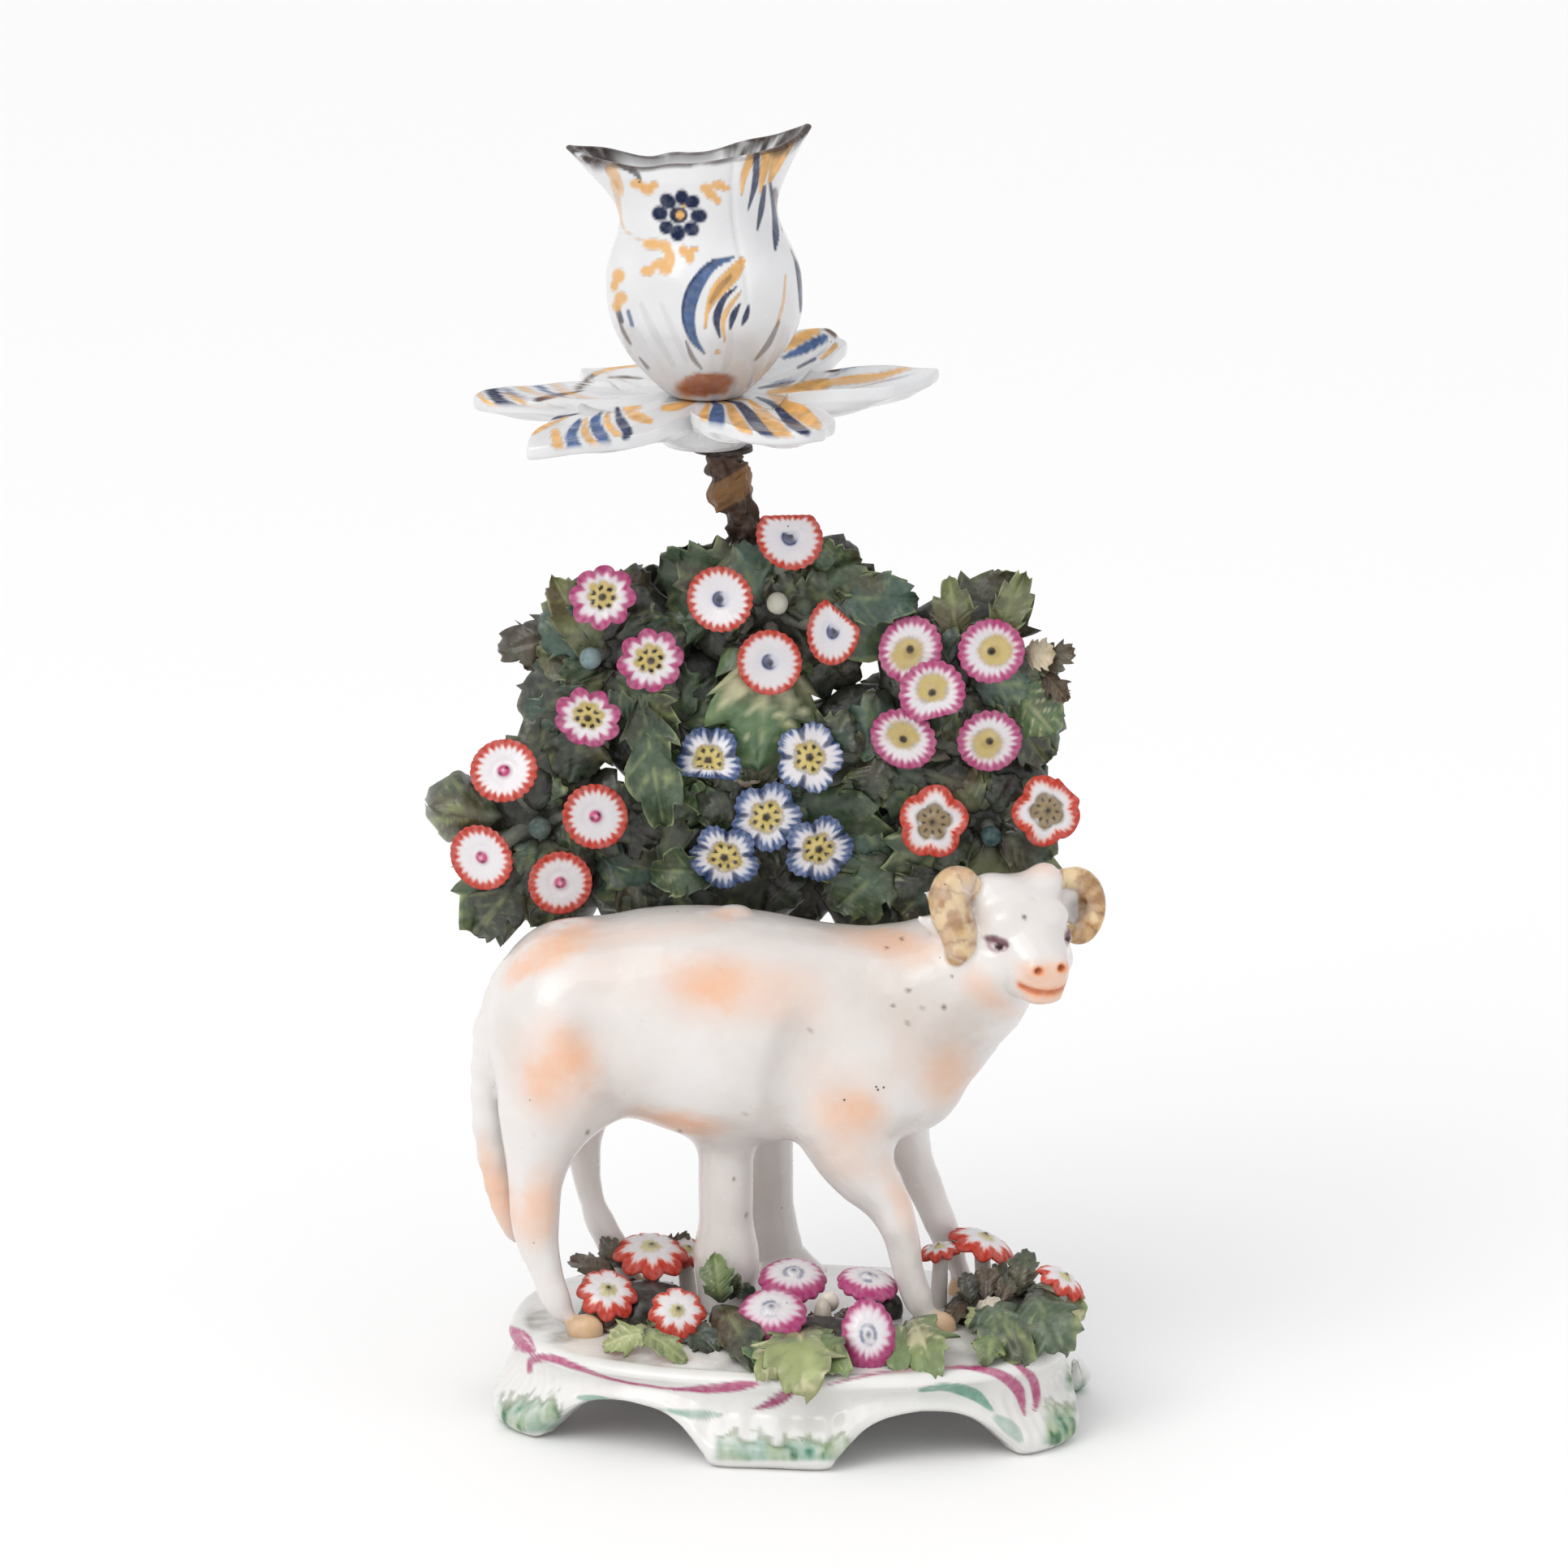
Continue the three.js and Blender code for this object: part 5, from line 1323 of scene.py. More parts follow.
# Brownish grey patches on the top: place in the photograph, two radii and strength
BROWN_TOP_PATCHES = [
    (735, 1650, 110, 38, 0.8), (850, 1660, 100, 34, 0.85), (1150, 1655, 120, 34, 0.6),
    (1005, 1640, 90, 40, 0.5), (1240, 1640, 90, 40, 0.5), (670, 1612, 44, 34, 0.6),
]
# Where the painting of the front ends and the same painting, turned round, begins
BASE_HALVES_Y = 4.0
LOWEST_POINT = 0.02


def corner(value):
    return np.sign(value) * np.abs(value) ** CORNER_POWER


def foot_share(turn):
    direction = np.degrees(np.arctan2(corner(np.sin(turn)), corner(np.cos(turn))) + math.pi / 2)
    off_front = np.abs((direction + 180) % 360 - 180)
    return read_line(FOOT_TABLE, np.minimum(off_front, 180 - off_front))


def on_base(turn, offset, height, share=1.0):
    x = RIM_WIDTH / 2 * corner(np.cos(turn))
    y = RIM_DEPTH / 2 * corner(np.sin(turn))
    away_x, away_y = unit(np.stack([x / RIM_WIDTH ** 2, y / RIM_DEPTH ** 2], -1)).T
    return np.stack([x * share + away_x * offset, y * share + away_y * offset, height + 0 * x], -1)


def turned_base(points):
    c, s = math.cos(BASE_TURN), math.sin(BASE_TURN)
    x = points[..., 0] * c - points[..., 1] * s + BASE_MIDDLE_X
    y = points[..., 0] * s + points[..., 1] * c
    return np.stack([x, y, points[..., 2]], -1)


def base_rows():
    turn = round_turns(BASE_COLUMNS)
    feet = foot_share(turn)
    lowest = ARCH_HEIGHT * (1 - feet)
    flute = np.cos(turn * 96) * 0.5 + np.cos(turn * 61 + 1) * 0.3
    rows = []
    for share in np.linspace(0.01, 0.93, TOP_ROWS):
        edge = smooth(0.55, 0.93, share)
        flat = on_base(turn, 0, 0, share)
        mounds = 0.5 * rough_noise(flat.reshape(-1, 3), 16, 20, 2) * (1 - edge * 0.7)
        dome = BASE_DOME * (1 - share ** 1.6) * 0.9
        rows.append(on_base(turn, 0, BASE_HEIGHT + dome + mounds * 0.8, share))
    for bend in np.linspace(0, math.pi / 2, 9):
        height = WALL_TOP + (BASE_HEIGHT + 0.25 - WALL_TOP) * math.cos(bend)
        rows.append(on_base(turn, RIM_ROLL * (math.sin(bend) - 1), height))
    for share in np.linspace(0.05, 0.95, WALL_ROWS):
        cove, flare = read_line(WALL_COVE, share), read_line(WALL_FLARE, share)
        height = WALL_TOP + (lowest - WALL_TOP) * share
        crest = 0.4 * flute * feet * smooth(0.12, 0.4, share) * smooth(0.98, 0.7, share)
        roll = 0.9 * smooth(0.62, 0.72, share) * smooth(0.99, 0.86, share) * feet
        offset = FOOT_FLARE * flare * feet - RIM_COVE * cove + crest + roll * 0.4
        rows.append(on_base(turn, np.minimum(offset, FOOT_FLARE * 0.97), height))
    outside = FOOT_FLARE * 0.62 * feet - RIM_COVE * 0.2
    for bend in np.linspace(0.15, math.pi / 2, 6):
        inset = 1.4 * (1 - math.cos(bend))
        rows.append(on_base(turn, outside - inset, lowest + 0.75 * (1 - math.sin(bend))))
    rows.append(on_base(turn, outside - BASE_WALL + 0.8, lowest))
    rows.append(on_base(turn, outside - BASE_WALL, lowest + 0.5))
    roof = BASE_HEIGHT - BASE_WALL
    for part in np.linspace(0.2, 1, 5):
        height = lowest + (roof - lowest) * part
        rows.append(on_base(turn, (outside - BASE_WALL) * (1 - part) - (BASE_WALL + RIM_COVE) * part, height))
    rows.append(on_base(turn, -BASE_WALL - RIM_COVE, roof, 0.5))
    return turned_base(np.array(rows))


def paint_base(points, rows):
    paint = Paint(points)
    place = seen(points)
    middle = np.array([BASE_MIDDLE_X, 0, 0])
    other = seen((points - middle) * (-1, -1, 1) + middle)
    behind = points[:, 1] > BASE_HALVES_Y
    wall = np.append((np.arange(rows) >= TOP_ROWS).repeat(BASE_COLUMNS), [False, True])
    place_or_other = np.where((behind & wall)[:, None], other, place)
    hand = noise(points, 4, 22)[:, None] * 1.4
    front = smooth(16, 4, points[:, 1]) + behind * wall
    front = front * smooth(0.3, 4, np.abs(points[:, 1] - BASE_HALVES_Y))
    paint.strokes(place_or_other + hand, BASE_STROKES, 1.25, front, 2.4)
    blades = noise(points * (1, 1, 0.25), 1.5, 23) + 0.5 * noise(points * (1, 1, 0.3), 0.8, 24)
    tone = np.clip(0.5 + 0.8 * noise(points, 3.2, 25), 0, 1)[:, None]
    u, v = place_or_other.T
    for left, right, high, low in GRASS_PATCHES:
        across = smooth(left - 3, left + 8, u) * smooth(right + 3, right - 8, u)
        upper = high + 7 + 12 * blades
        inside = across * smooth(upper - 6, upper + 8, v) * smooth(low + 2, low - 5, v) * front * wall
        paint.lay(TEAL * tone + GRASS_GREEN * (1 - tone), inside * np.clip(0.72 + 0.42 * blades, 0.25, 0.97))
        paint.fade((50, 98, 76), 0.2, 0.7, blades, inside * 0.75)
        crown = across * smooth(upper - 3, upper, v) * smooth(upper + 9, upper + 4, v) * front * wall
        paint.lay((122, 124, 92), crown * 0.45)
    top_mottle = smooth(-0.15, 0.6, rough_noise(points, 7, 26)) * (1 - wall)
    for u, v, wide, high, strength in BROWN_TOP_PATCHES:
        paint.lay((112, 98, 82), dab(place, (u, v), wide, high, 0, 0.6) * strength * top_mottle)
    return paint.done()


def make_base(glaze):
    rows = base_rows()
    points, faces = loft(rows)
    faces = outward(points, faces)
    points = swell(points, faces, 0.08 * noise(points, 5, 21))
    points[:, 2] = np.maximum(points[:, 2], LOWEST_POINT)
    paint = paint_base(points, len(rows))
    make_piece("base", points, faces, glaze, "bocage_group", paint)


# Foliage: leaf, flower and bud places are given in the drawing's front view, about the hubs of their sprigs

HUB_Y = 21.5
BOCAGE_FOOT = 85.0
FLOWER_REACH = 11.0
FLOWER_RADIUS = 6.5
FLOWER_SIDES = 120
BUD_RADII = (2.05, 2.05, 2.05)
HANGING_LEAF = (-4.7, 120.4)
# Leaves that fill a ring round a sprig, a clump or a bed: how many, and the tones that are drawn for them
SPRIG_RING, CLUMP_RING, BED_RING = 11, 7, 15
SPRIG_TONES = ["dark", "dark", "dark", "black", "mid", "mid", "teal", "olive"]
CLUMP_TONES = ["dark", "dark", "black", "teal", "mid"]
BED_TONES = ["dark", "brown", "mid", "black"]
# Tips of such leaves stay above this height at the left, and within this reach of the middle
LOW_TIP, LEFT_TIP, FAR_TIP = 90, -30, 54
# Dark masses behind the leaves, near-black as painted shade in the depths between them
SPRIG_MASS, CLUMP_MASS = (14.5, 4.2, 14.5), (15, 4.4, 15)
SPRIG_SHADE, CLUMP_SHADE, BED_SHADE = colour(38, 42, 34), colour(34, 37, 31), colour(34, 29, 26)
# Rows and columns of the leaves, sides and rows of the masses
FRONT_GRID, BACK_GRID, SMALL_GRID, BED_GRID, TINY_GRID = (34, 17), (16, 11), (18, 11), (28, 17), (16, 9)
MOUND_GRID, BUD_GRID = (44, 24), (24, 14)
# Seeds of the random draws and of the painted unevenness
FOLIAGE_DRAWS, BED_DRAWS = 41, 77
SPRIG_SEED, BACK_SEED, FRONT_SEED, BED_SEED = 100, 500, 700, 900
LEAF_OUTLINE = [
    (0, 0.16), (0.07, 0.5), (0.18, 0.86), (0.3, 0.8), (0.42, 0.9), (0.55, 1), (0.68, 0.8), (0.8, 0.56),
    (0.9, 0.34), (1, 0.04),
]
SPRIGS = [
    {
        "hub": (-32, 142), "kind": "magenta",
        "flowers": [(-33.8, 154.3), (-24.7, 142), (-36.7, 130.8)],
        "buds": [(-36, 142, (112, 132, 134))],
        "leaves": [
            (-43.5, 155, "olive"), (-47, 138, "dark"), (-48.4, 128, "dark"), (-36, 117.5, "teal"),
            (-19, 132, "mid"), (-23, 156.5, "dark"),
        ],
    },
    {
        "hub": (-2.5, 149), "kind": "round_red",
        "flowers": [(-12.1, 153.8), (1.1, 163.1), (-2.7, 141.5), (9.4, 147.6)],
        "buds": [(-1.2, 152.5, (180, 180, 166))],
        "leaves": [
            (-23, 160, "mid"), (-20, 142, "dark"), (-4.7, 120.4, "bright"), (13, 133, "dark"),
            (25, 151, "mid"), (14, 160, "dark"),
        ],
    },
    {
        "hub": (32, 137), "kind": "pink",
        "flowers": [(23.4, 143.9), (27.5, 136.5), (38.7, 143.9), (22.1, 126.8), (38.5, 126.4)],
        "buds": [],
        "leaves": [
            (30.5, 149.5, "mid"), (43.8, 155.5, "olive"), (50, 137, "dark"), (51.6, 121, "bright"),
            (31, 116, "dark"), (14, 124, "dark"),
        ],
    },
    {
        "hub": (-46, 109), "kind": "ringed_red",
        "flowers": [(-52.5, 121.1), (-35.1, 112.1), (-56.9, 104), (-41.9, 99)],
        "buds": [(-45.8, 109.4, (74, 90, 84))],
        "leaves": [
            (-45, 130, "dark"), (-60, 112, "dark"), (-58, 86.6, "mid"), (-40, 84.6, "dark"),
            (-25, 112, "dark"),
        ],
    },
    {
        "hub": (-4, 113), "kind": "blue",
        "flowers": [(-14.3, 122.9), (4.9, 123.6), (-3.3, 111.9), (-11.3, 104), (6.7, 105.6)],
        "buds": [],
        "leaves": [
            (-27, 119, "mid"), (-29, 99, "bright"), (-12, 88, "dark"), (7, 88, "dark"), (20, 103, "mid"),
            (14, 124, "dark"),
        ],
    },
    {
        "hub": (38, 109), "kind": "starred_red",
        "flowers": [(27.7, 111), (49.5, 113.3)],
        "buds": [(38.9, 107.8, (46, 76, 78))],
        "leaves": [(19, 96, "mid"), (37, 86, "dark"), (51, 97, "olive"), (48.5, 121, "dark")],
    },
]
CLUMPS = [(-22, 98), (20, 99), (-20, 128), (17, 120)]
GAPS = [(-34, 121.5, 4), (9.5, 140.3, 5.4), (37.5, 113, 4.4)]
# Tones of leaves: colour, and strength of the pale veins. The near-black tone is painted shadow for the deep
# gaps between leaves and flowers
TONES = {
    "dark": ((46, 52, 42), 0.36), "mid": ((64, 84, 60), 0.62), "bright": ((82, 112, 72), 0.68),
    "olive": ((100, 104, 70), 0.6), "teal": ((56, 82, 70), 0.42), "vivid": ((54, 84, 52), 0.62),
    "bed": ((108, 128, 80), 0.6), "pale": ((150, 160, 106), 0.7), "brown": ((76, 62, 46), 0.25),
    "black": ((30, 28, 25), 0.1), "grey": ((198, 188, 172), 0.1), "cream": ((196, 182, 156), 0.1),
    "taupe": ((158, 142, 124), 0.1),
}
EARTHY_TONES = ("grey", "cream", "taupe")
STREAKED_TONES = ("bed", "pale", "bright", "vivid")
# Leaves in front: root, tip and width in the photograph's pixels, tone, depth, lobes and curl
FRONT_LEAVES = [
    (700, 776, 614, 804, 66, "brown", 21, 0.3, 0.0), (690, 790, 646, 824, 44, "brown", 21, 0.3, 0.0),
    (742, 818, 681, 712, 62, "olive", 15, 0.2, 0.1), (735, 830, 662, 800, 60, "olive", 17, 0.2, 0.0),
    (730, 850, 700, 968, 92, "dark", 16, 0.3, 0.0), (700, 850, 648, 905, 60, "teal", 18, 0.2, 0.0),
    (745, 830, 832, 905, 76, "mid", 14, 0.2, 0.1), (790, 860, 818, 1018, 78, "mid", 13, 0.3, 0.15),
    (750, 760, 790, 702, 60, "dark", 18, 0.2, 0.0), (920, 740, 838, 676, 92, "dark", 17, 0.35, 0.1),
    (884, 764, 806, 772, 60, "mid", 17.5, 0.3, 0.0), (952, 848, 938, 946, 136, "vivid", 13.5, 0.2, -0.25),
    (918, 852, 892, 880, 38, "cream", 12.5, 0.2, 0.0), (868, 948, 938, 958, 44, "taupe", 14.5, 0.2, 0.0),
    (990, 710, 1062, 690, 86, "mid", 16, 0.35, 0.1), (1010, 735, 1132, 738, 76, "teal", 15, 0.25, 0.1),
    (960, 700, 1010, 662, 70, "dark", 18, 0.2, 0.0), (1180, 800, 1170, 712, 58, "olive", 16, 0.2, 0.1),
    (1222, 796, 1264, 706, 52, "olive", 15, 0.25, 0.1),
    (1240, 836, 1302, 906, 90, "bright", 16.5, 0.25, -0.2),
    (1272, 820, 1324, 800, 44, "brown", 16, 0.4, 0.1), (1284, 826, 1316, 864, 34, "brown", 16, 0.4, 0.1),
    (1262, 806, 1300, 806, 44, "cream", 14.5, 0.2, 0.1), (1235, 870, 1290, 942, 72, "dark", 17, 0.3, 0.0),
    (1096, 880, 1056, 932, 66, "teal", 17, 0.2, 0.0), (1090, 930, 1062, 985, 66, "dark", 15, 0.2, 0.0),
    (1130, 950, 1200, 968, 66, "dark", 15, 0.2, 0.0), (620, 1006, 528, 994, 92, "mid", 14, 0.0, -0.55),
    (650, 1060, 588, 1156, 84, "dark", 15, 0.5, 0.0), (700, 1080, 668, 1150, 76, "dark", 16, 0.3, 0.0),
    (846, 974, 820, 918, 44, "bright", 15.5, 0.2, 0.3), (900, 985, 838, 978, 44, "bright", 16.5, 0.2, 0.2),
    (880, 1075, 800, 1072, 70, "mid", 14, 0.3, 0.25), (1100, 1060, 1030, 1120, 100, "mid", 15, 0.3, 0.0),
    (1160, 1075, 1110, 1128, 90, "dark", 14.5, 0.3, 0.0), (760, 1075, 820, 1110, 80, "dark", 17, 0.3, 0.0),
    (940, 1080, 980, 1120, 90, "black", 18, 0.2, 0.0), (750, 1010, 812, 1040, 70, "black", 17, 0.2, 0.0),
    (1240, 1060, 1190, 1000, 66, "brown", 18, 0.1, -0.6), (1000, 940, 1046, 880, 70, "dark", 15, 0.2, 0.0),
]


# A closed thin plate from its front and back grids
def plate(front, back):
    rows, columns = front.shape[:2]
    count = rows * columns
    index = np.arange(count).reshape(rows, columns)
    edge = np.concatenate([index[0, :-1], index[:-1, -1], index[-1, :0:-1], index[:0:-1, 0]])
    following = np.roll(edge, -1)
    lower = np.stack([edge, edge + count, following], 1)
    upper = np.stack([following, edge + count, following + count], 1)
    faces = grid_faces(rows, columns)
    faces = np.concatenate([faces, faces[:, ::-1] + count, lower, upper])
    return np.concatenate([front.reshape(-1, 3), back.reshape(-1, 3)]), faces


# A lobed and toothed leaf with sunk veins, bending from its root to its tip
def add_leaf(heap, root, tip, facing, width, tone, seed, grid=(28, 15), thick=1.2, arch=0.1, bend=0.0,
             lobes=0.18, curl=0.0):
    random = np.random.default_rng(seed)
    root, tip = np.asarray(root, float), np.asarray(tip, float)
    length = np.linalg.norm(tip - root)
    along = unit(tip - root)
    across = unit(np.cross(along, facing))
    out = np.cross(across, along)
    s = np.linspace(0, 1, grid[0])[:, None]
    t = np.linspace(-1, 1, grid[1])[None, :]
    teeth = random.integers(4, 7)
    bites = random.uniform(0.2, 1.5, 24)
    phase = random.uniform(0, 1, 2)
    shift = np.where(t < 0, phase[0], phase[1])
    wave = (s * teeth + shift) % 1
    bite = bites[np.floor(s * teeth + shift).astype(int) + np.where(t < 0, 12, 0)]
    tooth = (wave ** 1.6 - 0.42) * np.abs(t) ** 3 * bite * (2 if curl > -0.4 else 0.3)
    notch = 1 - lobes * (1 - np.abs(np.sin(math.pi * (s * 2.6 + shift))) ** 0.7) * np.abs(t)
    taper = smooth(1, 0.88, s)
    half = read_line(LEAF_OUTLINE, s) * width / 2 * (notch + (1 - notch) * (1 - taper))
    half = half * (1 + 0.16 * tooth * taper)
    sweep = (0.08 * np.abs(t) ** 2 + 0.04 * tooth) * length * taper * smooth(0, 0.12, s)
    side = t * half
    place = s * length + sweep
    ribs = ((place - np.abs(side) * 0.85) / length * 6 + 0.2) % 1
    vein = np.exp(-((ribs - 0.5) / 0.1) ** 2) * smooth(0, 0.25, np.abs(t)) * smooth(1, 0.85, s)
    midrib = np.exp(-(side / 0.45) ** 2) * smooth(1, 0.9, s)
    quilt = 0.09 * width * (0.5 - np.abs(ribs - 0.5)) * np.abs(t)
    ruffle = 0.1 * width * np.sin(s * 10 + phase[0] * 6 + np.sign(t)) * np.abs(t) ** 2
    edge = (random.uniform(-0.22, 0.02) if curl == 0 else curl) * width * t ** 2
    lift = (
        arch * length * np.sin(math.pi * s) + edge + ruffle + quilt - 0.35 * vein - 0.45 * midrib
        + (bend + random.uniform(-0.08, 0.02)) * length * s ** 2 + random.uniform(-0.3, 0.3) * side
    )
    front = root + place[..., None] * along + side[..., None] * across + lift[..., None] * out
    depth = thick * (1 - 0.6 * np.abs(t) ** 3) * (1 - 0.4 * s)
    back = front - depth[..., None] * out + 0.2 * vein[..., None] * out
    points, faces = plate(front, back)
    values = np.broadcast_arrays(place, side, s, np.abs(t), ribs, vein, midrib)
    heap.add(points, faces, paint_leaf(points, *(np.tile(value.ravel(), 2) for value in values), tone, seed))


# The enamel of a leaf: place and side are along and across it, s and rim the shares along and outwards
def paint_leaf(points, place, side, s, rim, ribs, vein, midrib, tone, seed):
    (tint, strong), paint = TONES[tone], Paint(points)
    base = colour(*tint)
    flat = np.stack([place, side, np.full(len(side), float(seed))], -1)
    broad = rough_noise(flat, 8, seed % 23)
    mottle = rough_noise(flat, 4, seed % 29 + 3)
    fleck = noise(flat, 1.5, seed % 19)
    warm = noise(flat, 7, seed % 31)
    light = colour(158, 170, 112) if tone != "brown" else colour(132, 108, 76)
    paint.lay(base, 1)
    paint.fade(base * 0.3, 0.0, 0.5, broad + 0.3 * mottle, 0.75)
    paint.fade(np.clip(base * 1.55 + 0.015, 0, 1), 0.05, 0.6, -broad + 0.5 * mottle, 0.6)
    paint.fade((84, 64, 44), 0.2, 0.65, warm, 0.55)
    paint.fade((52, 84, 66), 0.2, 0.65, noise(flat, 6, seed % 37), 0 if tone in EARTHY_TONES else 0.4)
    fan = np.arctan2(side, place + 1.5)
    brush = 0.5 + 0.5 * np.cos(fan * 22 + 1.6 * fleck + seed)
    brushed = smooth(0.6, 0.95, brush) * smooth(-0.2, 0.5, mottle) * smooth(0.3, 0.6, s)
    paint.lay(light, brushed * strong * 0.75)
    paint.lay(light, np.maximum(vein * 0.7, midrib * 0.9) * strong * smooth(-0.4, 0.4, mottle + 0.6 * fleck))
    paint.fade((30, 30, 24), 0.16, 0.05, np.abs(ribs - 0.2), 0.5 * smooth(0.1, 0.5, rim) * (1 - s))
    # Painted highlight along the leaf's edge
    paint.lay(light * 1.12, smooth(0.84, 1, rim) * smooth(-0.3, 0.5, fleck + mottle) * strong)
    if tone in STREAKED_TONES:
        paint.fade((222, 216, 176), 0.6, 1.1, warm + 0.6 * vein + 0.5 * midrib + 0.3 * brush, 0.6)
    # Painted shade near the root of the leaf
    paint.fade((28, 26, 22), 0.3, 0.0, s, 0.8)
    # Painted shade on the parts of the bocage leaves that lie deep, behind the hubs
    high = points[:, 2] > BOCAGE_FOOT - 5
    paint.fade((30, 29, 24), HUB_Y - 5.5, HUB_Y + 1, points[:, 1], high * 0.6)
    return paint.done()


# A lumpy mass that fills the foliage behind its leaves
def add_mass(heap, middle, radii, tint, seed, grid=(44, 22)):
    sides, rows = grid
    up = np.linspace(0.03, math.pi - 0.03, rows)[:, None]
    turn = full_turn(sides)[None, :]
    ball = np.stack([np.sin(up) * np.cos(turn), np.cos(up) + 0 * turn, np.sin(up) * np.sin(turn)], -1)
    bumps = rough_noise(ball.reshape(-1, 3) * radii, 5, seed, 3).reshape(rows, sides)
    points, faces = loft(np.asarray(middle) + ball * radii * (1 + 0.14 * bumps)[..., None])
    paint = Paint(points)
    paint.lay(tint, 1)
    paint.fade(tint * 2.2, 0.1, 0.6, rough_noise(points, 4, seed + 1), 0.5)
    heap.add(points, faces, paint.done())


def add_stalk(heap, start, end, radius, tint):
    path = curve([start, (np.asarray(start) + end) / 2, end], 10)
    points, faces = loft(tube(path, radius * np.linspace(1.1, 0.9, 10), 10))
    paint = Paint(points)
    paint.lay(tint, 0.85)
    heap.add(points, faces, paint.done())


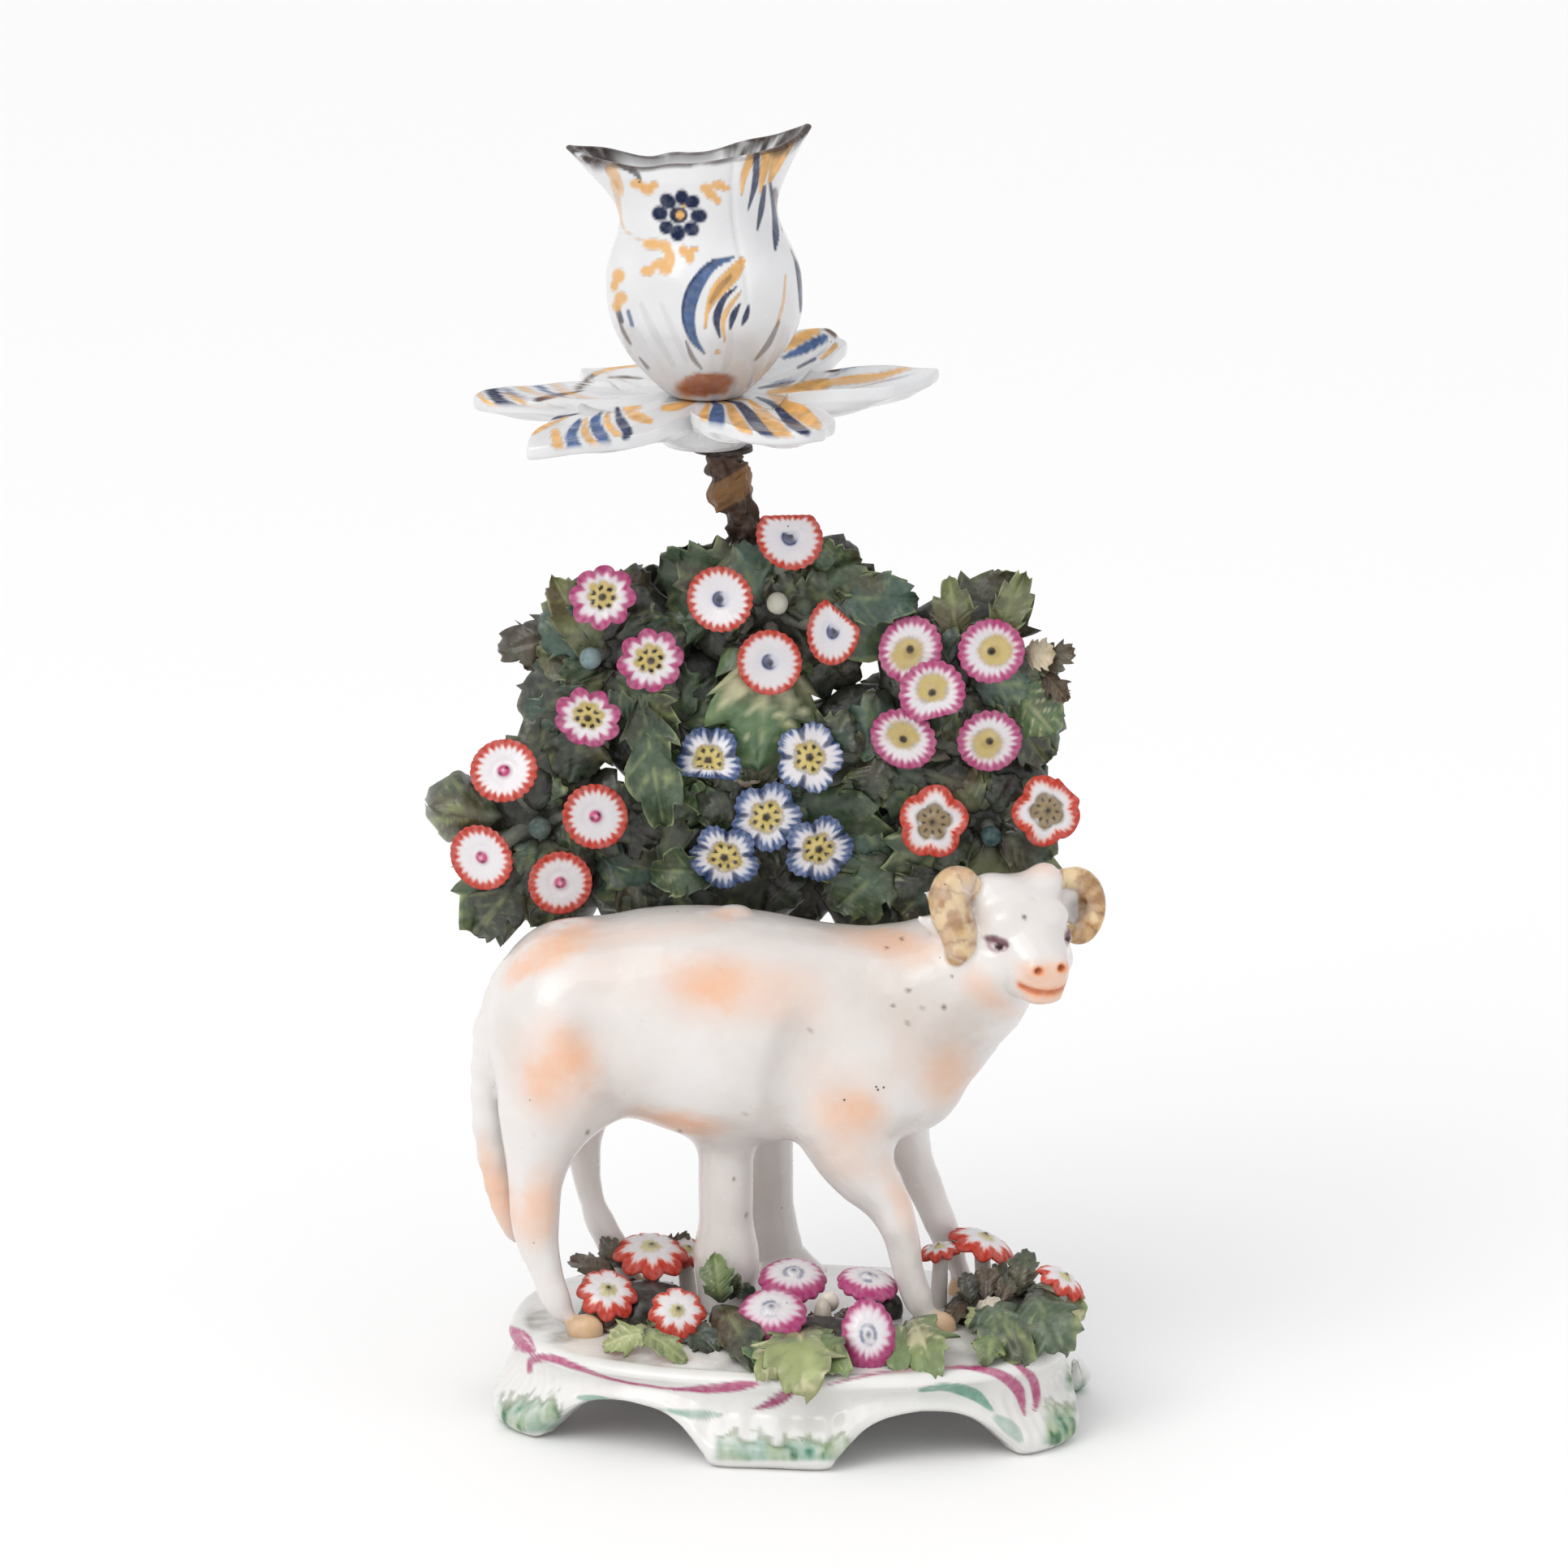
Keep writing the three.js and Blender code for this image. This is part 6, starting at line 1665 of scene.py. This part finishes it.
# The enamel of a flower from shares outwards, angles, and low for the side that faces down
def paint_flower(kind, radius, turn, low, points, seed):
    paint = Paint(points)
    fleck = noise(points, 1.2, seed % 17)
    streaks = 0.5 + 0.5 * np.cos(turn * 24 + seed + 0.8 * noise(points, 0.6, seed % 13))
    rim = smooth(0.72, 0.9, radius)

    # Inward teeth of colour from the rim
    def teeth(tint, count, start, depth, strength, sharp=0.05):
        ragged = 0.6 * np.cos(turn * count + seed) + 0.3 * np.cos(turn * (count * 0.5 + 1.5) + seed * 2)
        paint.fade(tint, -sharp, sharp, radius - start + depth * (0.4 + 0.6 * ragged), strength)

    def dots(tint, count, at, size, strength=1.0):
        step = 2 * math.pi / count
        gap = ((turn - seed + step / 2) % step - step / 2) * at
        paint.fade(tint, 1.3, 0.7, np.hypot(gap, radius - at) / size, strength)

    if kind in ("magenta", "pink"):
        start, count = (0.77, 16) if kind == "magenta" else (0.79, 24)
        teeth((206, 120, 160), count, start, 0.16, 0.7, 0.12)
        teeth(MAGENTA, count, start + 0.04, 0.17, 0.85 + 0.15 * fleck, 0.07)
        paint.fade((124, 30, 80), 0.55, 0.9, streaks, rim * 0.5)
        if kind == "magenta":
            off = np.hypot(radius * np.cos(turn) + 0.04, radius * np.sin(turn) - 0.06)
            paint.fade((196, 174, 98), 0.54, 0.38, off + 0.08 * fleck, 0.95)
            paint.fade((150, 128, 70), 0.1, 0.02, np.abs(off - 0.42), 0.3)
            dots(BLACK, 7, 0.32, 0.085)
        else:
            off = np.hypot(radius * np.cos(turn) - 0.05, radius * np.sin(turn) - 0.12)
            paint.fade((182, 158, 98), 0.58, 0.38, off + 0.1 * fleck, 0.95)
            paint.fade((214, 202, 124), 0.2, 0.05, np.abs(off - 0.3), 0.25)
            paint.fade((118, 96, 66), 0.12, 0.02, np.abs(off - 0.46), smooth(-0.2, 0.6, fleck) * 0.4)
        paint.fade(BLACK, 0.15, 0.08, radius)
    elif kind in ("round_red", "ringed_red"):
        start = 0.85 if kind == "round_red" else 0.8
        teeth((222, 128, 96), 24, start - 0.02, 0.13, 0.5, 0.08)
        teeth(IRON_RED, 24, start + 0.02, 0.14, 0.92 + 0.08 * fleck)
        paint.fade((140, 30, 18), 0.5, 0.95, streaks, rim * 0.55)
        if kind == "ringed_red":
            paint.fade((186, 58, 112), 0.24, 0.17, radius, 0.95)
            paint.fade((226, 170, 190), 0.09, 0.04, radius, 0.8)
            dots((96, 30, 66), 2, 0.14, 0.07, 0.8)
        else:
            paint.fade((196, 200, 214), 0.36, 0.24, radius, 0.7)
            open_side = smooth(-0.9, 0.2, np.sin(turn + seed))
            paint.fade((36, 52, 96), 0.09, 0.03, np.abs(radius - 0.2), open_side * 0.97)
            paint.fade((34, 40, 62), 0.16, 0.08, radius, 0.95)
    elif kind == "blue":
        pale = 0.12 if seed % 5 == 0 else 0
        teeth((150, 170, 206), 26, 0.78 + pale, 0.2, 0.6, 0.12)
        teeth(BLUE, 26, 0.86 + pale, 0.24, 0.85 + 0.15 * fleck)
        paint.fade(NAVY, 0.5, 0.9, 0.5 + 0.5 * np.cos(turn * 30 + seed), rim * 0.7)
        paint.fade(NAVY, 0.84, 0.97, 0.5 + 0.5 * np.cos(turn * 5), smooth(0.42, 0.7, radius) * 0.85)
        paint.fade((204, 184, 104), 0.52, 0.42, radius + 0.08 * fleck, 0.95)
        paint.fade((122, 106, 66), 0.08, 0.02, np.abs(radius - 0.46), 0.5)
        dots(BLACK, 8, 0.34, 0.07)
        paint.fade(BLACK, 0.15, 0.08, radius)
    elif kind in ("starred_red", "bed_red"):
        starred = kind == "starred_red"
        petals = 5 if starred else 8
        star = (0.7 if starred else 0.66 - 0.1 * low) + 0.07 * np.cos(turn * petals + math.pi)
        paint.fade((228, 140, 108), -0.08, 0.1, radius - star, 0.6)
        paint.fade(IRON_RED, -0.02, 0.08, radius - star - 0.05 + 0.05 * np.cos(turn * 31 + seed), 0.96)
        paint.fade((140, 32, 20), 0.5, 0.95, streaks, rim * 0.5)
        if starred:
            paint.fade((140, 120, 82), 0.54, 0.44, radius + 0.06 * fleck + 0.04 * np.cos(turn * petals), 0.95)
            paint.fade((92, 76, 52), 0.08, 0.02, np.abs(radius - 0.48), 0.6)
            dots(BLACK, 9, 0.31, 0.05, 0.85)
        else:
            paint.fade((186, 176, 108), 0.34, 0.2, radius + 0.1 * fleck, 0.8)
        paint.fade(BLACK, 0.12, 0.06, radius, 0.95)
    else:
        start = 0.86 - 0.2 * smooth(-0.2, 0.9, low)
        teeth((208, 118, 164), 18, start - 0.06, 0.14, 0.7, 0.2)
        teeth(MAGENTA, 18, start, 0.12, 0.95, 0.09)
        paint.fade((134, 36, 96), 0.55, 0.9, streaks, rim * 0.5)
        paint.fade((84, 100, 132), 0.1, 0.03, np.abs(radius - 0.27), smooth(-0.6, 0.3, fleck) * 0.8)
        paint.fade((60, 70, 96), 0.13, 0.05, radius, 0.8)
    # Painted shade: the underside of the cup darkened brownish grey
    paint.fade((112, 96, 84), 1.04, 1.3, radius, 0.45)
    return paint.done()


# Petals of each kind: count, depth of the notches and fringe
PETALS = {
    "magenta": (8, 0.19, 1), "round_red": (24, 0.045, 1), "pink": (19, 0.07, 1), "ringed_red": (24, 0.045, 1),
    "blue": (5, 0.2, 5), "starred_red": (5, 0.16, 1), "bed_red": (8, 0.2, 1), "bed_pink": (14, 0.07, 1),
}


# A cupped flower of one of the kinds, with a raised middle, on a stalk
def add_flower(heap, kind, middle, facing, foot, radius, seed, oval, chip=None):
    random = np.random.default_rng(seed)
    count, notch, fringe = PETALS[kind]
    many = count > 12
    turn = full_turn(FLOWER_SIDES)
    start = random.uniform(0, 2 * math.pi) if kind != "blue" else math.pi / 2 + random.uniform(-0.3, 0.3)
    petal = np.abs(np.sin((turn - start) * count / 2)) ** 0.7
    edge = 1 - notch * (1 - petal)
    fringed = 0.03 * np.cos(turn * count * fringe + seed) * (fringe > 1)
    edge = edge * (1 + fringed + 0.03 * np.cos(turn * 2 + seed))
    edge = edge / edge.max()
    if chip is not None:
        chip_turn, chip_reach = chip
        away = np.cos(turn - chip_turn)
        edge = np.minimum(edge, chip_reach / np.maximum(away, 0.05))
    axis = unit(facing)
    reference = np.array([0.0, 0.0, 1.0]) if abs(axis[2]) < 0.9 else np.array([0.0, 1.0, 0.0])
    upright = unit(reference - axis * (axis @ reference))
    sideways = np.cross(upright, axis)
    rows, radii = [], []
    droop = 0.42 * radius if kind.startswith("bed") else 0.06 * radius

    def ring(share, lift, wave=0.0):
        reach = share * edge * radius
        waves = wave * 0.4 * np.cos((turn - start) * count) * (0.4 if many else 1)
        height = lift - droop * share ** 2.5 + waves
        flat = np.outer(np.cos(turn) * reach * oval, sideways) + np.outer(np.sin(turn) * reach, upright)
        rows.append(middle + flat + np.outer(height, axis))
        radii.append(np.full(FLOWER_SIDES, share))

    for share in np.linspace(0.03, 0.99, 16):
        boss = 0.75 * math.exp(-(share / 0.15) ** 2) - 0.15 * math.exp(-((share - 0.3) / 0.1) ** 2)
        ring(share, -0.9 + boss + 0.9 * share ** 2, smooth(0.66 if many else 0.45, 1, share))
    ring(1.0, -0.25, 1)
    for share, lift in ((0.98, -0.7), (0.8, -1.7), (0.45, -2.8), (0.2, -3.6)):
        ring(share, lift, share ** 2)
        radii[-1] = np.full(FLOWER_SIDES, 2 - share)
    points, faces = loft(np.array(rows))
    polar = with_ends(np.concatenate(radii), 0, 2)
    around = with_ends(np.tile(turn - start, len(rows)))
    low = with_ends(np.tile(-np.sin(turn), len(rows)))
    points = swell(points, faces, 0.06 * noise(points, 2, seed % 13))
    heap.add(points, faces, paint_flower(kind, polar, around, low, points, seed))
    neck = middle - axis * 3
    add_stalk(heap, foot, neck, 1.6, (206, 200, 192) if kind.startswith("bed") else (96, 104, 84))


# Flowers with a broken edge: the direction of the break and how far out it is
CHIPS = {("round_red", 1): (math.pi / 2, 0.66), ("round_red", 3): (0.9, 0.6), ("pink", 1): (-1.3, 0.72),
         ("blue", 0): (-1.57, 0.45), ("ringed_red", 0): (1.7, 0.92), ("starred_red", 1): (0.75, 0.82)}


# Flowers that stand apart from the others of their sprig: how narrow, how far forward and how far up
SET_APART = {("round_red", 3): (0.86, 0, 0), ("round_red", 1): (1.0, 0, 2.6), ("pink", 0): (1.0, -1.5, 0),
             ("pink", 1): (1.0, 3, 0)}


def facing_of(x, z, hub):
    return np.array([(x - hub[0]) * 0.03, -1.0, (z - hub[2]) * 0.03 + 0.12])


# A step from a hub: some way out in the front view, and some way forward
def step_out(turn, reach, forward):
    return np.array([math.cos(turn) * reach, -forward, math.sin(turn) * reach])


# Whether a leaf's tip would hide one of the gaps that the photograph shows
def in_gap(tip):
    return any(np.hypot(tip[0] - x, tip[2] - z) < gap + 3 for x, z, gap in GAPS)


def make_foliage(leaf_glaze, flower_glaze):
    leaves, small_leaves, back_leaves, front_leaves, flowers = (Heap() for _ in range(5))
    random = np.random.default_rng(FOLIAGE_DRAWS)
    seed = SPRIG_SEED
    for i, (root_u, root_v, tip_u, tip_v, wide, tone, y, lobes, curl) in enumerate(FRONT_LEAVES):
        root, tip = at_pixel(root_u, root_v, y + 1.5), at_pixel(tip_u, tip_v, y)
        add_leaf(front_leaves, root, tip, (0, -1, 0.15), wide / PHOTO_SCALE, tone, FRONT_SEED + i, FRONT_GRID,
                 bend=-0.04, lobes=lobes, curl=curl)
    for sprig in SPRIGS:
        kind, hub = sprig["kind"], np.array([sprig["hub"][0], HUB_Y, sprig["hub"][1]])
        add_mass(leaves, hub + (0, 0.5, 0), SPRIG_MASS, SPRIG_SHADE, seed)
        for i, (x, z, tone) in enumerate(sprig["leaves"]):
            seed += 1
            step = -4 if i % 2 else 4
            forward = 9 if (x, z) == HANGING_LEAF else step
            tip = np.array([x, HUB_Y - forward, z])
            width = min(22, np.linalg.norm(tip - hub - (0, -step / 2, 0)) * 0.78)
            add_leaf(leaves, hub + (0, -step / 2, 0), tip, (0, -1, 0), width, tone, seed)
            inner = hub + (tip - hub) * 0.93 + (0, 5, 0)
            add_leaf(back_leaves, hub + (0, 3, 0), inner, (0, 1, 0), width * 0.76, "dark", seed + BACK_SEED,
                     BACK_GRID, thick=1.4)
        for i in range(SPRIG_RING):
            seed += 1
            turn = i * 2 * math.pi / SPRIG_RING + random.uniform(-0.3, 0.3)
            reach = random.uniform(10, 15.5)
            start = hub + step_out(turn, 3, 5 + random.uniform(0, 2))
            tip = hub + step_out(turn, reach, 3.5 + random.uniform(0, 3.5))
            if in_gap(tip) or tip[2] < LOW_TIP and tip[0] < LEFT_TIP or abs(tip[0]) > FAR_TIP:
                continue
            tone = random.choice(SPRIG_TONES)
            add_leaf(small_leaves, start, tip, (0, -1, 0.1), reach * 0.78, tone, seed,
                     SMALL_GRID, thick=1.0, arch=0.12, bend=-0.08)
        for i, (x, z) in enumerate(sprig["flowers"]):
            seed += 1
            oval, forward, raised = SET_APART.get((kind, i), (1.0, 0, 0))
            radius = FLOWER_RADIUS * (1.1 if kind in ("blue", "starred_red") else 1.0)
            middle = np.array([x, HUB_Y - FLOWER_REACH - forward, z + raised])
            facing = facing_of(x, z, hub)
            add_flower(flowers, kind, middle, facing, hub, radius, seed, oval, CHIPS.get((kind, i)))
        for x, z, tint in sprig["buds"]:
            seed += 1
            place = np.array([x, HUB_Y - FLOWER_REACH * 0.8, z])
            add_mass(flowers, place, BUD_RADII, colour(*tint), seed, BUD_GRID)
            add_stalk(flowers, hub, place, 1.4, (70, 84, 66))
    for x, z in CLUMPS:
        seed += 1
        middle = np.array([x, HUB_Y, z])
        add_mass(leaves, middle + (0, 2.2, 0), CLUMP_MASS, CLUMP_SHADE, seed)
        for i in range(CLUMP_RING):
            seed += 1
            turn = i * 2 * math.pi / CLUMP_RING + random.uniform(-0.3, 0.3)
            reach = random.uniform(11, 15)
            tip = middle + step_out(turn, reach, 1.5 + random.uniform(0, 3))
            if in_gap(tip):
                continue
            tone = random.choice(CLUMP_TONES)
            add_leaf(small_leaves, middle + (0, -3, 0), tip, (0, -1, 0.1), reach * 0.8, tone, seed,
                     SMALL_GRID, thick=1.0)
    for heap, name in ((leaves, "leaves"), (small_leaves, "small_leaves"), (front_leaves, "front_leaves"),
                       (back_leaves, "back_leaves")):
        heap.make(name, leaf_glaze, "leaf_enamel")
    flowers.make("flowers", flower_glaze, "flower_enamel")


# Supports: the trunk behind the ram, and the branch of each sprig

# The trunk's middle, as places across and up, and its radius at some heights
TRUNK = [(-2, 16), (-3, 22), (-3.5, 31), (-3.8, 60), (-4, 85)]
TRUNK_RADII = [(16, 10.4), (18.5, 8.6), (22, 6.6), (31, 5.4), (100, 5.4), (160, 4.2)]
TRUNK_Y = 27.5
TRUNK_BEND = (-6.5, 26.3, 132)
TRUNK_ROWS, TRUNK_SIDES = 120, 64
FORK = np.array([-4.5, TRUNK_Y, 100.0])
# Branches start between these heights, and are thinner at the hub of their sprig
BRANCH_LOW, BRANCH_HIGH = 100, 150
BRANCH_ROWS, BRANCH_SIDES = 24, 20
BRANCH_RADII = (3.3, 2.3)


def make_supports(glaze):
    supports = Heap()
    top = STEM_FOOT - (0, 0, 0.3)
    trunk = [(x, TRUNK_Y, z) for x, z in TRUNK]
    path = curve([*trunk, FORK, TRUNK_BEND, top], TRUNK_ROWS)
    radius = np.interp(path[:, 2], *zip(*TRUNK_RADII))
    rows = tube(path, radius, TRUNK_SIDES, (0, 1, 0.01))
    points, faces = loft(rows)
    points = swell(points, faces, 0.25 * rough_noise(points, 7, 31))
    points[:, 2] = np.minimum(points[:, 2], top[2])
    paint = Paint(points)
    bark = smooth(88, 104, points[:, 2] + 6 * noise(points, 8, 32))
    paint.lay((74, 64, 50), bark * 0.95)
    paint.lay((60, 78, 54), bark * smooth(0, 0.6, noise(points, 6, 33)) * 0.7)
    # Painted shade: greyer towards the foot, where the trunk stands behind the ram
    paint.fade((150, 146, 142), 70, 30, points[:, 2], 0.22)
    supports.add(points, faces, paint.done())
    for sprig in SPRIGS:
        hub = np.array([sprig["hub"][0], HUB_Y + 1, sprig["hub"][1]])
        below = min(max(hub[2] - 14, BRANCH_LOW), BRANCH_HIGH)
        share = (below - FORK[2]) / (STEM_FOOT[2] - FORK[2])
        start = FORK + (top - FORK) * share
        path = curve([start, (start + hub) / 2 + (0, 2.5, 0), hub], BRANCH_ROWS)
        points, faces = loft(tube(path, np.linspace(*BRANCH_RADII, BRANCH_ROWS), BRANCH_SIDES))
        points = swell(points, faces, 0.3 * rough_noise(points, 4, 34))
        paint = Paint(points)
        paint.lay((72, 62, 48), 0.95)
        paint.fade((62, 84, 56), -0.1, 0.5, noise(points, 5, 35), 0.8)
        supports.add(points, faces, paint.done())
    supports.make("supports", glaze, "painted_porcelain")


# Flower beds on the base

BEDS = [
    {
        "mound": (-0.5, -0.05), "kind": "bed_red",
        "flowers": [
            (803, 1531, 31, 96, 0.6, 4), (850, 1534, 29, 56, 0.66, 24), (750, 1585, 26.5, 80, 0.78, 8),
            (836, 1611, 24.8, 78, 0.84, 6),
        ],
        "leaves": [
            (806, 1640, 22, 740, 1656, 19.3, 44, "pale"), (790, 1640, 22, 844, 1674, 18.6, 34, "pale"),
            (888, 1606, 23, 880, 1545, 32.6, 46, "bed"), (896, 1600, 23, 908, 1572, 28, 30, "dark"),
            (880, 1606, 22, 934, 1684, 18.6, 58, "dark"), (912, 1648, 20.5, 940, 1682, 19, 24, "bright"),
            (764, 1580, 24, 700, 1546, 27, 40, "brown"), (772, 1560, 26, 736, 1526, 30, 36, "brown"),
            (760, 1600, 24, 716, 1572, 26.5, 40, "brown"), (800, 1560, 25, 850, 1520, 30.5, 32, "brown"),
            (800, 1604, 22, 744, 1634, 19.4, 44, "brown"), (846, 1636, 20.5, 884, 1664, 18.4, 46, "black"),
            (842, 1612, 21, 800, 1630, 20, 26, "mid"), (870, 1580, 22, 905, 1600, 22, 30, "dark"),
        ],
        "mass": (12, 8.5, 6.5),
        "lumps": [],
    },
    {
        "mound": (0.12, -0.46), "kind": "bed_pink",
        "flowers": [
            (978, 1563, 29, 88, 0.6, 4), (1072, 1568, 29, 78, 0.5, 10), (950, 1608, 26.5, 88, 0.74, -6),
            (1070, 1644, 24, 70, 0.99, 0),
        ],
        "leaves": [
            (985, 1636, 21.5, 990, 1702, 18, 108, "pale"), (980, 1644, 21, 938, 1690, 19, 58, "pale"),
            (1000, 1644, 21, 1040, 1688, 19, 52, "bed"), (1120, 1624, 21, 1150, 1684, 19, 74, "bed"),
            (1112, 1630, 21, 1106, 1680, 19, 50, "bed"), (934, 1600, 22, 902, 1584, 25, 26, "dark"),
            (930, 1625, 21, 898, 1650, 19.4, 34, "black"), (1030, 1640, 20, 1052, 1612, 22, 34, "black"),
        ],
        "mass": (10, 6.5, 4.5),
        # The near-black lump is painted shadow in the dark hollow beside the near fore leg
        "lumps": [
            (1014, 1622, 22, 1.7, 1.8, 3.6, (190, 180, 168)),
            (1022, 1604, 24, 1.9, 1.6, 1.9, (198, 188, 176)), (1094, 1612, 20.5, 3, 2.6, 3.4, (20, 18, 17)),
        ],
    },
    {
        "mound": (0.78, -0.02), "kind": "bed_red",
        "flowers": [
            (1156, 1530, 31.5, 54, 0.36, -10), (1216, 1518, 32.5, 88, 0.36, 20),
            (1316, 1568, 29.5, 70, 0.36, 33),
        ],
        "leaves": [
            (1214, 1600, 24.5, 1256, 1664, 20, 84, "mid"), (1222, 1612, 23, 1188, 1630, 20.4, 36, "pale"),
            (1268, 1590, 26.5, 1310, 1662, 20, 86, "mid"), (1280, 1584, 26, 1336, 1620, 22, 56, "bed"),
            (1254, 1596, 23.5, 1266, 1537, 31.5, 44, "dark"), (1236, 1600, 23, 1228, 1556, 28, 40, "dark"),
            (1268, 1604, 23, 1300, 1586, 25, 46, "dark"), (1214, 1600, 24, 1216, 1558, 29, 36, "brown"),
            (1232, 1606, 24, 1246, 1572, 28, 30, "brown"), (1196, 1606, 23.5, 1190, 1566, 29, 30, "black"),
            (1202, 1612, 24, 1234, 1600, 25.4, 22, "grey"), (1224, 1640, 21.5, 1216, 1672, 19.4, 44, "bed"),
            (1190, 1600, 22, 1172, 1630, 19.6, 30, "brown"),
        ],
        "mass": (12, 8, 6.5),
        "lumps": [],
    },
]


def make_beds(leaf_glaze, flower_glaze):
    leaves, flowers = Heap(), Heap()
    random = np.random.default_rng(BED_DRAWS)
    seed = BED_SEED
    for bed in BEDS:
        share_x, share_y = bed["mound"]
        mass = np.array(bed["mass"])
        middle = np.array([share_x * RIM_WIDTH / 2, share_y * RIM_DEPTH / 2, BASE_HEIGHT + 1])
        add_mass(leaves, middle, mass, BED_SHADE, seed, MOUND_GRID)
        for u, v, height, wide, deep, high, tint in bed["lumps"]:
            seed += 1
            add_mass(leaves, at_pixel(u, v, height=height), (wide, deep, high), colour(*tint), seed, BUD_GRID)
        for root_u, root_v, root_z, tip_u, tip_v, tip_z, wide, tone in bed["leaves"]:
            seed += 1
            root, tip = at_pixel(root_u, root_v, height=root_z), at_pixel(tip_u, tip_v, height=tip_z)
            facing = (0, -1, 0.15) if tip_z > root_z + 3 else (0, -0.75, 0.65)
            add_leaf(leaves, root, tip, facing, wide / PHOTO_SCALE, tone, seed,
                     BED_GRID, arch=0.12, bend=-0.04, lobes=0.25)
        for _ in range(BED_RING):
            seed += 1
            turn = random.uniform(-0.4, math.pi + 0.4)
            side = np.array([math.cos(turn), math.sin(turn), 0]) * mass
            lift = random.uniform(0.2, 0.9)
            root = middle + side * 0.7 * (1 - lift * 0.6) + (0, 0, mass[2] * lift)
            tip = middle + side * (1.22 - 0.5 * lift) + (0, 0, max(mass[2] * lift * 0.9 - 2, 0.4))
            width, tone = random.uniform(5, 8), random.choice(BED_TONES)
            add_leaf(leaves, root, tip, side + (0, -2, 14), width, tone, seed, TINY_GRID, thick=1.1, arch=0.2)
        for u, v, height, wide, flat, roll in bed["flowers"]:
            seed += 1
            tilt, roll = PHOTO_TILT + math.acos(flat), math.radians(roll)
            facing = (math.sin(tilt) * math.sin(roll), -math.cos(tilt), math.sin(tilt) * math.cos(roll))
            place = at_pixel(u, v, height=height)
            foot = np.array([place[0], place[1] + 1.5, BASE_HEIGHT - 0.5])
            oval = 0.74 if flat > 0.95 else 1.0
            add_flower(flowers, bed["kind"], place, facing, foot, wide / PHOTO_SCALE / 2 / oval, seed, oval)
    leaves.make("bed_leaves", leaf_glaze, "leaf_enamel")
    flowers.make("bed_flowers", flower_glaze, "flower_enamel")


white_glaze = glazed("white_glaze", (0.755, 0.725, 0.705), (0.67, 0.62, 0.59))
cool_glaze = glazed("cool_glaze", (0.73, 0.735, 0.745), (0.64, 0.645, 0.655), 0.08)
base_glaze = glazed("base_glaze", (0.77, 0.765, 0.745), (0.66, 0.655, 0.63), 0.2)
make_stage()
make_ram(white_glaze)
make_nozzle(cool_glaze)
make_pan(cool_glaze)
make_stem(glazed("bark", (0.2, 0.15, 0.12), (0.12, 0.09, 0.07), 0.35, 0.8, 0.42))
make_base(base_glaze)
make_supports(white_glaze)
leaf_glaze = glazed("leaf_glaze", (0.5, 0.5, 0.4), (0.4, 0.4, 0.32), 0.1, 0.9, 0.3, 0.3, 0.5)
flower_glaze = glazed("flower_glaze", (0.73, 0.705, 0.725), (0.65, 0.62, 0.64), 0.12, 0.3, 0.22, 0.2)
make_foliage(leaf_glaze, flower_glaze)
make_beds(leaf_glaze, flower_glaze)
